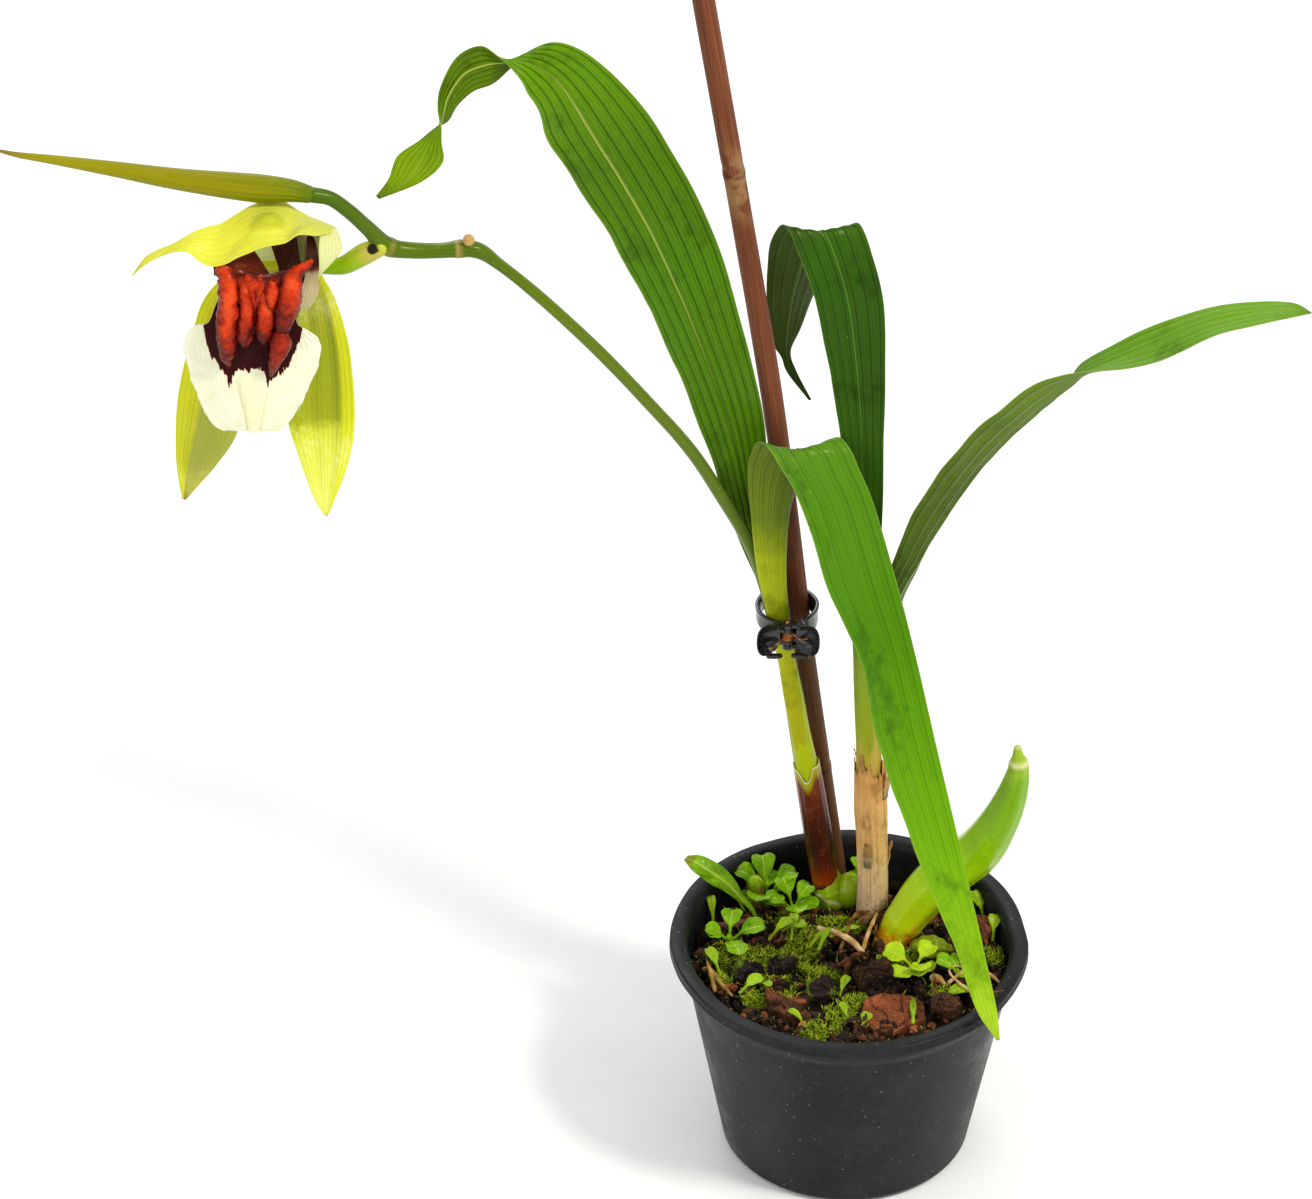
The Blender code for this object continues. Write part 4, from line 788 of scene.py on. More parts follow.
def leafMaterial(name, look):
    # colour runs along the map, another on the underside, with veins, midrib, patches and a pale edge
    finish, sockets, here, own = newMaterial(name, look["gloss"], Specular_Tint=sap, Coat_Weight=0.05,
                                             Coat_Roughness=0.2)
    across = axis(own, 0)
    length = axis(own, 1)
    shade = mottled(here, 38.0, 1.0)
    moved = nudged(shade, 0.035, length)
    upper = attribute("upper")
    colour = mixed(upper, ramp(moved, look["under"]), ramp(moved, look["top"]))
    veins = veined(own, here, look["veins"] * 3.0, 0.3)
    main = veined(own, here, float(look["veins"]), 0.16)
    line, strength = look["line"]
    bladeShare = ranged(length, look["starts"] * 0.6, look["starts"] * 1.3)
    dark = times(sums("MULTIPLY_ADD", veins, 0.3, main), bladeShare)
    colour = painted(colour, times(dark, strength), line, "MULTIPLY")
    patch = ranged(noiseNode(here, 90.0, 5.0, 0.6), 0.52, 0.72, 0.0, 0.3)
    colour = painted(colour, patch, "9dbb2a", "SOFT_LIGHT")
    colour = painted(colour, ranged(shade, 0.5, 0.05, 0.0, 0.42), "2f4f14", "MULTIPLY")
    middle = awayFrom(across, look["rib"])
    rib, pale = look["midrib"]
    ribShare = times(ranged(middle, 0.022, 0.006, 0.0, pale), bladeShare)
    colour = painted(colour, ribShare, rib)
    rim = awayFrom(across, 0.5)
    colour = painted(colour, ranged(rim, 0.485, 0.499, 0.0, 0.3), look["edge"])
    specks = speckled(here, 260.0, 0.12, 0.1)
    colour = painted(colour, times(specks, 0.2), "b5c46a")
    colourTo(sockets, colour)
    link(ranged(shade, 0.0, 1.0, look["gloss"] + 0.14, look["gloss"] - 0.06),
         sockets["Roughness"])
    height = sums("MULTIPLY_ADD", noiseNode(here, 420.0, 4.0), 0.5,
                  times(veins, -0.5))
    bumped(sockets, height, 0.00022)
    return finish


def leafShape(look):
    # pleats: a cosine across the blade; edge waves: a sine along it that grows to the edge with
    # |t| cubed; a groove along the midrib; soft dents of noise
    (amount, length, phase), (otherAmount, otherLength, otherPhase) = look["wave"]

    def shape(t, v, place, chord):
        s = np.cumsum(np.linalg.norm(np.diff(place[:, :1], axis=0, prepend=place[:1, :1]), axis=2), 0)
        share = smooth(v, look["starts"] * 0.7, look["starts"] * 1.5) * smooth(v, 1.0, 0.9)
        wide = np.clip(chord / 24, 0, 1)
        pleat = look["pleat"] * wide * np.cos(t * math.pi * look["veins"]) * (1 - 0.5 * t ** 2)
        left = amount * np.sin(s / length * tau + phase) * smooth(-t, 0.25, 1.0)
        right = otherAmount * np.sin(s / otherLength * tau + otherPhase) * smooth(t, 0.35, 1.0)
        groove = -0.55 * np.exp(-((t - 2 * look["rib"] + 1) / 0.06) ** 2) * wide
        soft = 0.5 * lattice(place, 16.0, 3) + 0.16 * lattice(place, 5.0, 5)
        return share * (pleat + (left + right) * wide + groove + soft * wide)
    return shape


def makeLeaf(name, look, rows, columns):
    surface = blade(look["stations"], rows, columns, look["fold"], look["thick"], 0.12, leafShape(look))
    addPiece(name + "_blade", surface, leafMaterial(name + "_green", look), [name])


makeLeaf("leaf_front", leafFront, 420, 56)
makeLeaf("leaf_tall", leafTall, 520, 72)
makeLeaf("leaf_back", leafBack, 360, 48)
makeLeaf("leaf_right", leafRight, 360, 48)
print("leaves done")


# Scape, its end bract and the flower's stalk

scape = {
    "line": (
        (-13.2, 37.4, 108), (-15.6, 37.4, 127), (-19.8, 37.5, 147.5), (-22.5, 37.5, 168.5),
        (-25.8, 37, 185), (-28.5, 37, 197), (-32, 36.5, 210), (-36, 35, 221), (-43, 33, 236),
        (-53.5, 30.5, 256.5), (-68, 28, 277.5), (-83.5, 26, 298), (-100.5, 24, 318),
        (-113.5, 22.5, 331.5), (-121.5, 21.5, 338), (-132.5, 20, 338.5), (-141.5, 18.5, 339.5),
        (-148.5, 17, 342), (-154.5, 15.5, 349.5), (-160, 14, 356.5), (-165.5, 12.5, 362),
        (-171, 11.5, 364)),
    "radii": (0.9, 1.0, 1.4, 1.8, 2.1, 2.1, 2.1, 2.1, 2.1, 2.1, 2.0, 2.0, 1.9, 1.9, 2.7, 2.5,
              2.6, 2.9, 2.4, 2.3, 2.3, 2.5),
    "joints": ((-124.5, 1.6, 0.45), (-146.0, 1.2, 0.35)),    # x, width and rise of each ring
    "steps": 300}
bract = {
    "line": ((-171.7, 11.4, 364.2), (-178, 10, 366.5), (-188.5, 9, 368), (-211, 5, 373.5),
             (-230.5, 2, 379), (-248, -1, 384), (-259, -3, 387), (-264.5, -4, 389)),
    "radii": (2.6, 3.6, 4.4, 3.4, 2.4, 1.5, 0.9, 0.5)}
pedicel = {
    "line": ((-151.2, 15.5, 342.4), (-155.8, 15.3, 340.2), (-162, 15, 336.4), (-168, 14.8, 335.6),
             (-175.9, 14.5, 336.6)),
    "radii": (3.0, 3.5, 3.0, 2.2, 2.2)}


def stemMaterial(name, stops, gloss, low, high):
    # colour by height from low to high in metres, soft lengthwise streaks and pale specks
    finish, sockets, here, own = newMaterial(name, gloss, Specular_Tint=sap, Coat_Weight=0.12,
                                             Coat_Roughness=0.15)
    height = axis(here, 2)
    streak = fibred(own, 9.0, 3.0)
    level = nudged(streak, 0.25,
                   ranged(height, low, high, soft=False))
    colour = ramp(level, stops)
    dark = ranged(streak, 0.5, 0.75, 0.0, 0.35)
    colour = painted(colour, dark, "4a5a14", "MULTIPLY")
    specks = speckled(here, 700.0, 0.2, 0.14)
    colour = painted(colour, times(specks, 0.4), "9aa35a")
    scar = attribute("scar")
    colour = painted(colour, scar, "c39a5c")
    black = attribute("black")
    colour = painted(colour, black, "17130d")
    colourTo(sockets, colour)
    bumped(sockets, sums("ADD", streak, noiseNode(here, 600.0)), 0.00012)
    return finish


def makeScape():
    steps = scape["steps"]
    line = smoothRows([(*p, r) for p, r in zip(scape["line"], scape["radii"])], steps)
    rings, scar, even = np.ones(steps), np.zeros(steps), np.linspace(0, 1, steps)
    for x, width, rise in scape["joints"]:
        near = np.exp(-((line[:, 0] - x) / width) ** 2)
        rings += rise * 0.35 * near
        scar = np.maximum(scar, np.exp(-((line[:, 0] - x + 0.4) / 0.42) ** 2))

    def shape(angle, v, s):
        rib = 1 + 0.025 * np.cos(5 * angle) + 0.03 * lattice(skin(angle, v, s / 9), 1.0, 2)
        return rib * np.interp(v[:, 0], even, rings)[:, None]

    def dry(angle, v, s):
        return 0.75 * np.interp(v[:, 0], even, scar)[:, None] + 0 * angle

    stops = [(0.0, "8fa41c"), (0.2, "647a1a"), (0.5, "52681a"), (0.85, "5a6f10"), (1.0, "44600a")]
    finish = stemMaterial("scape_green", stops, 0.3, 0.11, 0.36)
    surface = tube(scape["line"], scape["radii"], steps, 36, shape=shape,
                   values={"scar": dry, "black": steady(0)})
    disc = tube(((-123.2, 19.9, 342.4), (-123.3, 19.2, 343.3), (-123.35, 18.8, 343.7)),
                (1.9, 1.7, 1.3), 12, 28, values={"scar": steady(0.9), "black": steady(0)})
    addPiece("scape_stem", joined([surface, disc]), finish, ["scape"])


def makeBract():
    # a rolled pointed scale: its ring opens at the mouth, and one edge laps over the other
    finish, sockets, here, own = newMaterial("bract_olive", 0.36, Specular_Tint=sap, Coat_Weight=0.08,
                                             Coat_Roughness=0.3)
    length = axis(own, 1)
    streak = fibred(own, 26.0, 1.6)
    level = nudged(streak, 0.5, length)
    colour = ramp(level, [(0.0, "4f6a04"), (0.1, "767a00"), (0.3, "827e00"), (0.6, "868200"),
                          (0.9, "948e0a"), (1.0, "8a6a2a")])
    specks = speckled(here, 330.0, 0.17, 0.3)
    fine = speckled(here, 900.0, 0.22, 0.12)
    dots = sums("MAXIMUM", specks, times(fine, 0.5))
    colour = painted(colour, times(dots, 0.4), "5b4a10")
    colour = painted(colour, ranged(streak, 0.55, 0.8, 0.0, 0.2), "a09c04")
    colourTo(sockets, colour)
    bumped(sockets, streak, 0.00035)

    def shape(angle, v, s):
        # the lap: radius falls in a step at one angle; the mouth flares a little
        lap = 1 - 0.09 * smooth(np.mod(angle - 3.6 - 0.5 * v, tau), 0.35, 0.0)
        return lap * (1 + 0.02 * np.cos(14 * angle)) * (1 + 0.02 * smooth(v, 0.05, 0.0))

    surface = tube(bract["line"], bract["radii"], 260, 72, ("flat", "round"), shape=shape)
    addPiece("end_bract", surface, finish, ["terminal_bract"])


def makePedicel():
    # the ovary has six soft ribs
    def shape(angle, v, s):
        return 1 + 0.05 * np.cos(6 * angle + 2 * v) * smooth(v, 0.2, 0.6)

    def orange(angle, v, s):
        # a scar round the joint
        return 0.6 * np.exp(-((v - 0.17) / 0.12) ** 2) * smooth(-np.sin(angle), -0.2, 0.6)

    def black(angle, v, s):
        # the bud scale's black spot on the joint, towards the front and the top
        turn = turnFrom(angle, 4.1)
        return smooth((turn / 0.6) ** 2 + ((v - 0.13) / 0.06) ** 2, 1.15, 0.8)

    stops = [(0.0, "76a204"), (0.5, "8cb404"), (1.0, "b4c424")]
    finish = stemMaterial("pedicel_green", stops, 0.22, 0.333, 0.343)
    surface = tube(pedicel["line"], pedicel["radii"], 90, 40, shape=shape,
                   values={"scar": orange, "black": black})
    addPiece("pedicel_stalk", surface, finish, ["pedicel"])


makeScape()
makeBract()
makePedicel()
print("stems done")


# Flower

dorsalSepal = {
    "stations": [((-174.5, 14, 340.2), (-171.5, 15.5, 340))] + seenPairs(
        ((322, 243, 12), (334, 237, 16)), ((327, 234.5, 5), (337, 229.5, 14)),
        ((315.5, 236, -1), (327, 223.4, 13)), ((299, 235, -4), (311, 217.6, 12.5)),
        ((285, 244, -5.5), (296, 209, 12)), ((269, 246.8, -6.5), (283, 201.4, 11.5)),
        ((255, 249, -7), (266, 200, 10.5)), ((241, 256.5, -7.5), (250, 205.5, 8.5)),
        ((228, 264.2, -7.5), (237, 214, 6.5)), ((212, 266.6, -7.3), (222, 223, 4)),
        ((200, 262, -7), (207, 226.8, 1.5)), ((189, 253.3, -6.5), (193, 232, -0.5)),
        ((172, 253.6, -6), (177, 242.4, -3)), ((156.5, 258.2, -5.8), (160, 249, -4.2)),
        ((144.5, 265.5, -5.5), (146, 256.5, -4.6)), ((133, 275.5, -5.3), (132.7, 275, -5))),
    "fold": ((0, 0), (0.2, 0.06), (0.45, 0.08), (0.75, 0.06), (1, 0)),
    "top": [(0.0, "ced082"), (0.3, "d2d06c"), (0.45, "cccb3c"), (0.6, "d6d51e"), (0.8, "d2d32c"),
            (1.0, "d8d85e")],
    "under": [(0.0, "c8cc6a"), (0.5, "d4d23a"), (1.0, "d8d84a")], "veins": 7.0, "line": "bcbc40",
    # the hood's dimple gets painted shade: its place across and along the map, and its colour
    "lines": 0.16, "dimpleShade": (0.44, 0.45, "a6aa14")}
lateralRight = {
    "stations": (
        ((-175, 13, 333.9), (-169, 13, 333.9)), ((-178.5, 12, 325.5), (-165, 13, 324.5)),
        ((-179, 11, 311), (-162, 12, 310.5)), ((-180, 10, 297), (-160.5, 11, 298)),
        ((-181, 8, 283), (-160, 9, 288)), ((-179, 6, 274), (-161, 7, 275.5)),
        ((-176.5, 4, 265.5), (-163.5, 5, 265)), ((-173, 2, 255.5), (-167, 3, 256)),
        ((-170.3, 1, 251), (-169.3, 1, 251))),
    "fold": ((0, 0), (0.3, 0.12), (0.8, 0.12), (1, 0)),
    # top: darker between 0.3 and 0.6 along as the painted shadow that the lip casts, lighter past 0.68 as
    # painted light; side: the lit right edge, painted light
    "top": [(0.0, "b8bc3e"), (0.3, "98a01c"), (0.6, "9ca41e"), (0.68, "ccd03e"), (1.0, "e6e86e")],
    "under": [(0.0, "b4b84a"), (0.5, "a3aa34"), (1.0, "c4c848")], "veins": 13.0, "line": "8f9430",
    "side": (0.76, 0.84, "d2d620"), "lines": 0.2}
lateralLeft = {
    "stations": (
        ((-176.6, 14, 338.5), (-176.6, 14, 333.8)), ((-185, 14, 338.5), (-182.5, 13.5, 330)),
        ((-194.5, 14, 337.5), (-188, 13, 324.5)), ((-202.5, 13, 330.5), (-192, 12, 318)),
        ((-207, 12, 324.5), (-193.5, 11, 309.5)), ((-209.5, 11, 316.5), (-194.5, 10, 300.5)),
        ((-213.5, 9, 301), (-195.5, 9, 290)), ((-216, 7, 287.5), (-198, 8, 277)),
        ((-217, 5, 273.5), (-204.5, 6, 267)), ((-216.5, 3, 264), (-210, 4, 261)),
        ((-215.5, 2, 257), (-214.5, 2, 256.5))),
    "fold": ((0, 0), (0.3, 0.08), (0.8, 0.12), (1, 0)),
    "top": [(0.0, "bcc24e"), (0.4, "aab038"), (0.75, "a4aa44"), (0.95, "b2b050"), (1.0, "8a6a2a")],
    "under": [(0.0, "b4b84a"), (0.6, "a8ae3c"), (1.0, "b0b050")], "veins": 13.0, "line": "8f9440",
    # side: the lit left half of the folded sepal, painted light
    "side": (0.4, 0.3, "d6d81e"), "lines": 0.2}
petalRight = {
    "stations": [((-173.4, 12.2, 340.6), (-171.8, 13.4, 338.4))] + seenPairs(
        ((315, 241, 9.5), (322, 246, 11)), ((320, 233.5, 8), (329, 231.5, 10)),
        ((323.5, 230.5, 5), (335.5, 228.5, 8.5)), ((321, 238, 3), (339.5, 236.5, 8)),
        ((320, 247.5, 1.5), (341.8, 246.6, 7)), ((319, 257.5, 1), (338.8, 255.8, 5.5)),
        ((317.6, 267.5, 1), (330.5, 266, 4)), ((316.6, 274.5, 1.5), (322.5, 273, 3)),
        ((316, 279, 2), (316.8, 279, 2.4))),
    "fold": ((0, 0), (0.5, 0.1), (1, 0)), "lines": 0.3,
    "top": [(0.0, "d0d28a"), (1.0, "d8da9a")], "under": [(0.0, "ced292"), (1.0, "d2d890")],
    "veins": 6.0, "line": "b4b868"}
petalLeft = {
    "stations": [((-176.6, 16, 339.2), (-176.6, 16.4, 336))] + seenPairs(
        ((287, 241, 18), (290, 262, 17)), ((270, 242, 20), (276, 283, 18)),
        ((254, 247, 22), (262, 290, 20))) + [
            ((-192.5, 24, 330.5), (-186, 24.6, 319)), ((-194, 25, 320), (-188.5, 26, 313)),
            ((-193.5, 24.5, 311), (-189.5, 25.5, 309.5)), ((-192.5, 24, 306.5), (-191, 24.5, 305))],
    "fold": ((0, 0), (0.5, 0.08), (1, 0)), "lines": 0.3,
    "top": [(0.0, "d2d69c"), (0.35, "d3d8a8"), (0.6, "c4c858"), (1.0, "ccd060")],
    "under": [(0.0, "bcc04e"), (1.0, "c4c858")], "veins": 7.0, "line": "b4b86a"}
lip = {
    "stations": [
        ((-178, 11.5, 336.5), (-174.5, 11.5, 336.8), (-176.2, 11.2, 335.5)),
        ((-187, 8, 337), (-173, 7, 338), (-180, 6, 332)),
        ((-194, 2, 338), (-172.5, 3, 339.5), (-183, 1, 331)),
        ((-199, -4, 338), (-173, -3, 339.5), (-185, -2, 331)),
        ((-201, -7, 335.5), (-175, -6, 335.5), (-186.5, -4.4, 329))] + seenPairs(
            ((208, 322.5, -7), (297, 322.5, -6.5), (253, 326, -6.2)),
            ((196, 325, -6.5), (309, 331, -6), (253, 335, -7.2)),
            ((187.5, 332, -6), (317, 337, -5.5), (253, 345, -7.8)),
            ((184.6, 342, -5.5), (320.5, 347, -5), (253, 355, -8.2)),
            ((185.2, 355, -5.5), (319.6, 360.5, -5.2), (253, 366, -8.5)),
            ((189, 371, -6), (313, 377.5, -5.8), (253, 380, -8.7)),
            ((195.2, 387.5, -6.5), (307, 391, -6.3), (253, 393, -8.8)),
            ((199.4, 401, -7), (301.5, 402.5, -6.8), (253.5, 404, -8.9)),
            ((206.5, 414.5, -7.5), (295, 414.5, -7.3), (254, 415, -8.9)),
            ((214.6, 425.2, -8), (286.2, 424.5, -7.8), (254, 425, -8.8)),
            ((223, 430, -8.3), (279, 430.6, -8.1), (254, 430.6, -8.6))),
    # lower border of the dark patch in photo pixels
    "border": ((205.5, 322), (207.6, 339.5), (209.8, 347), (214.1, 357.9), (219.5, 366.5), (223.3, 369.8),
               (226.6, 374.2), (229.3, 386.1), (232.5, 378), (236.9, 369.8), (246.6, 367.7),
               (249.9, 372.5), (253.2, 367.7), (260.7, 367.7), (265, 370.9), (268.2, 387.5),
               (271.5, 380.7), (275.9, 374.2), (282.4, 372), (286.7, 367.8), (292.1, 358),
               (297.6, 348), (303, 337.4), (305, 325)),
    # a pixel of the border, its x and height in mm, and mm in a pixel across and down
    "borderFrom": (230, 387), "borderTo": (-197.7, 305.9), "borderScale": (0.3103, 0.372),
    # depth at which the border is read, and the height that a mm of depth is worth
    "depth": -8, "drop": 0.702}
lobes = {    # inner walls of the lip's throat: stations from the keels up, then the colours along them
    "left": (seenPairs(((214, 275, -4.5), (213.2, 262, -3.5)), ((221, 278, -5.5), (226, 256, -1)),
                       ((234, 279.5, -6), (240, 247, 2)), ((247, 281, -6), (252.5, 249.5, 4)),
                       ((260, 281.5, -5.6), (261.6, 261, 2)), ((271, 281.5, -5), (271.8, 278.5, -4))),
             [(0.0, "2a0805"), (0.12, "4a1006"), (0.35, "702008"), (0.65, "5a1605"), (1.0, "3c0c04")]),
    "right": (seenPairs(((278, 281, -5), (303, 273, -3)), ((278.5, 268, -1.5), (299.8, 259, 0.5)),
                        ((274.5, 256, 2), (298.2, 245, 4)), ((270.6, 244.5, 4), (296.2, 232, 6))),
              [(0.0, "3a0a06"), (0.3, "220504"), (0.8, "2c0804"), (1.0, "4c1406")]),
    "panel": (seenPairs(((292, 233, 9), (311, 233, 9)), ((293, 250, 8), (311, 250, 8)),
                        ((295, 271, 6), (310, 269, 7))), [(0.0, "c2c67c"), (1.0, "b0b468")]),
    "flap": (seenPairs(((297, 306, -6), (299.5, 311, -5.6)), ((299, 298, -6), (310, 306.5, -4)),
                       ((301.5, 288, -5), (317.4, 294, -2)), ((304.5, 277, -3.5), (318, 279, -1)),
                       ((305.2, 266, -2), (318.6, 264, 0)), ((305.4, 252, 1), (317.4, 250, 2)),
                       ((306.6, 240, 4), (314.6, 240, 5)), ((307.4, 235.5, 5), (311.5, 235.5, 6))),
             [(0.0, "b9b184"), (0.3, "b3a67c"), (0.5, "a08a64"), (0.56, "4a1a0e"), (0.62, "240504"),
              (1.0, "2e0a04")])}
keels = {    # photo pixel, depth and radius along each ridge
    "bridge": ((228, 277, -5.6, 1.8), (239, 283, -5.8, 2.3), (252, 284, -5.6, 2.5), (266, 284, -5.6, 2.4),
               (279, 281, -6, 2.4), (291, 275, -5, 1.8)),
    "left": ((221.5, 270.5, -5.5, 1.8), (226.6, 277, -7, 2.5), (227.6, 290.7, -9, 2.85),
             (228.2, 301.5, -9.8, 2.8), (228.4, 312.4, -10.3, 2.9), (226.6, 322, -10.6, 2.8),
             (226, 331, -10.8, 2.9), (226.6, 340.6, -10.8, 2.7), (227.1, 349, -10.6, 2.4),
             (227.3, 357, -10.4, 1.9), (228.8, 364, -10, 0.8)),
    "second": ((241, 283, -6.5, 1.4), (243.4, 290.7, -8, 1.9), (245, 300.5, -8.8, 2.1),
               (246.6, 310.2, -9.3, 2.0), (245.5, 320, -9.6, 2.15), (243.4, 329.7, -9.8, 2.2),
               (242.3, 338.4, -9.7, 1.7), (243.6, 345, -9.3, 0.7)),
    "spur": ((251, 331, -8.6, 0.9), (249.5, 338, -9.2, 1.0), (246.8, 345.6, -9.2, 0.6)),
    "thin": ((247.7, 281, -5.5, 2.2), (250, 290, -6.5, 2.5), (253, 300, -7.4, 1.8),
             (253.8, 310.2, -8.2, 1.05), (253.1, 320, -8.8, 1.0), (252.6, 331, -9, 0.8)),
    "middle": ((261, 281, -5.5, 1.9), (259.5, 292, -6.8, 2.0), (257, 303, -7.4, 1.6), (256, 313, -7.6, 0.9)),
    "fourth": ((264, 289, -6.6, 1.5), (265, 303, -8, 2.1), (266, 316.7, -9, 2.5),
               (264.5, 327.6, -9.8, 2.4), (263.4, 336.2, -10, 1.9), (264, 341.6, -9.8, 0.9)),
    "short": ((274.2, 280, -6.2, 1.8), (272.3, 290.7, -8.3, 2.3), (271.5, 299.4, -8.9, 1.9),
              (272.6, 308, -9, 1.2), (273.9, 313.8, -8.8, 0.5)),
    "right": ((311, 262, -0.6, 0.9), (304.5, 267, -3, 1.4), (297, 272.5, -5.2, 2.1),
              (291.8, 280.5, -7.2, 2.9), (291, 290.7, -8.6, 3.3), (289.4, 301.5, -9.4, 3.3),
              (286.7, 312.4, -10, 3.0), (283.5, 322, -10.3, 2.5), (282.2, 330, -10.2, 1.9)),
    "lower": ((284, 330, -9.8, 1.6), (281.6, 335, -10.3, 2.8), (280.2, 343.8, -10.8, 2.8),
              (278, 352.5, -11, 2.5), (274.8, 361.2, -10.8, 1.9), (272.6, 369.8, -10.4, 1.2),
              (271.2, 375.3, -10, 0.5))}
keelTones = {"bridge": 0.72, "second": 0.86, "spur": 0.5, "thin": 0.7, "middle": 0.72, "fourth": 0.95,
             "right": 0.92, "lower": 0.62}
column = {
    "line": [(-174.6, 13, 339.4), *seenPairs(((320, 246, 11.5), (310, 236, 10), (298, 229, 8),
                                              (286, 226, 6), (277, 227, 4.5)))[0]],
    "radii": (1.8, 1.9, 2.0, 2.2, 2.4, 1.5)}


def tepalMaterial(name, look):
    # waxy tepal: colour along the map, fine parallel veins, a soft mottle; painted shade in the hood's dimple
    # and painted light on a sepal's lit side where the look has them
    finish, sockets, here, own = newMaterial(
        name, 0.42, Specular_Tint=sap, Subsurface_Weight=0.12, Subsurface_Scale=0.002,
        Subsurface_Radius=(1.0, 1.0, 0.3), Coat_Weight=0.05, Coat_Roughness=0.35)
    length = axis(own, 1)
    shade = mottled(here, 70.0, 0.9)
    moved = nudged(shade, 0.12, length)
    upper = attribute("upper")
    colour = mixed(upper, ramp(moved, look["under"]), ramp(moved, look["top"]))
    veins = veined(own, here, look["veins"], 0.22)
    # painted shade in the hood's dimple: a darker spot round its place on the map
    if "dimpleShade" in look:
        middle, place, hue = look["dimpleShade"]
        off = times(sums("SUBTRACT", axis(own, 0), middle), 6.0)
        down = times(sums("SUBTRACT", length, place), 15.0)
        reach = sums("MULTIPLY_ADD", off, off, times(down, down))
        colour = painted(colour, ranged(reach, 1.2, 0.0, 0.0, 0.7), hue)
    # painted light on a sepal's lit side, across its map from low to high
    if "side" in look:
        low, high, hue = look["side"]
        across = axis(own, 0)
        colour = painted(colour, ranged(across, low, high, 0.0, 0.8), hue)
    colour = painted(colour, times(veins, look["lines"]), look["line"])
    colour = painted(colour, ranged(shade, 0.6, 0.95, 0.0, 0.3), "eceab0")
    colourTo(sockets, colour)
    height = sums("MULTIPLY_ADD", veins, -0.6, noiseNode(here, 900.0, 3.0))
    bumped(sockets, height, 0.00014)
    return finish


def makeTepal(name, look, rows, columns, shape):
    surface = blade(look["stations"], rows, columns, look["fold"], ((0, 0.55), (0.3, 0.4), (1, 0.3)),
                    0.14, shape)
    addPiece(name + "_tepal", surface, tepalMaterial(name, look), [name])


def hoodShape(t, v, place, chord):
    # a dimple on the crown, soft humps round it and a wavy front edge
    dimple = -2.6 * np.exp(-((v - 0.45) / 0.045) ** 2 - ((t + 0.1) / 0.3) ** 2)
    hump = 1.0 * np.exp(-((v - 0.57) / 0.06) ** 2 - ((t + 0.4) / 0.4) ** 2)
    ridge = 0.8 * np.exp(-((v - 0.36) / 0.05) ** 2 - ((t + 0.1) / 0.5) ** 2)
    front = 0.7 * np.sin(v * 30) * smooth(-t, 0.3, 1.0) * smooth(v, 0.2, 0.4) * smooth(v, 1.0, 0.85)
    return (dimple + hump + ridge + front + 0.4 * lattice(place, 6.0, 2)) * smooth(v, 0.0, 0.15)


def ribShape(count, amount, wave):
    # parallel ribs across the sepal and a slow wave of its edges
    def shape(t, v, place, chord):
        rib = amount * np.cos(t * math.pi * count)
        edge = wave * np.sin(v * 11 + 2 * t) * np.abs(t) ** 2
        return (rib + edge + 0.4 * lattice(place, 9.0, 3)) * smooth(v, 0.02, 0.2) * smooth(v, 1.0, 0.85)
    return shape


def lipShape(t, v, place, chord):
    # soft folds that run out to the edge, two creases beside the middle lobe, waved edges
    apron = smooth(v, 0.42, 0.56)
    crease = 0.3 - 0.12 * smooth(v, 0.6, 0.95)
    folds = 0.14 * np.cos(t * 13 + 2 * lattice(place * (0, 0, 1), 9.0, 2)) * np.abs(t) ** 0.6
    middle = -0.8 * np.exp(-((np.abs(t) - crease) / 0.05) ** 2) * smooth(v, 0.66, 0.8)
    lobe = 0.9 * np.exp(-(t / 0.22) ** 2) * smooth(v, 0.68, 0.82)
    edge = (0.1 * np.sin(v * 90 + 2 * np.sign(t)) + 0.35 * np.sin(v * 34)) * smooth(np.abs(t), 0.7, 1.0)
    return apron * (folds + middle + lobe + edge) + 0.16 * lattice(place, 2.5, 4)


def lipScallop(t, v):
    # the apron's outline swings a little in and out along its edge
    wave = 0.006 * np.sin(v * 70) + 0.014 * np.sin(v * 38 + np.sign(t)) + 0.003 * np.sin(v * 150 + t)
    return wave * smooth(v, 0.45, 0.55) * np.abs(t) ** 2


def lipPatch(t, v, place, chord):
    # 1 above the patch's lower border, whose edge is ragged by fine streaks; the border is
    # read where a point would show at the apron's usual depth
    x, height = place[..., 0], place[..., 2] + lip["drop"] * (place[..., 1] - lip["depth"])
    where, low = (np.array(column) for column in zip(*lip["border"]))
    (across, down), (left, base), (wide, high) = lip["borderFrom"], lip["borderTo"], lip["borderScale"]
    where, low = left + (where - across) * wide, base + (down - low) * high
    ragged = 1.5 * lattice(np.stack((x, height * 0.12), -1), 0.4, 3) + 0.5 * lattice(
        np.stack((x, height * 0.3), -1), 1.1, 5)
    sides = smooth(x + 0.4 * ragged, -206.2, -204.9) * smooth(x + 0.4 * ragged, -173.4, -174.7)
    return smooth(height - np.interp(x, where, low) - ragged, -0.8, 0.8) * sides


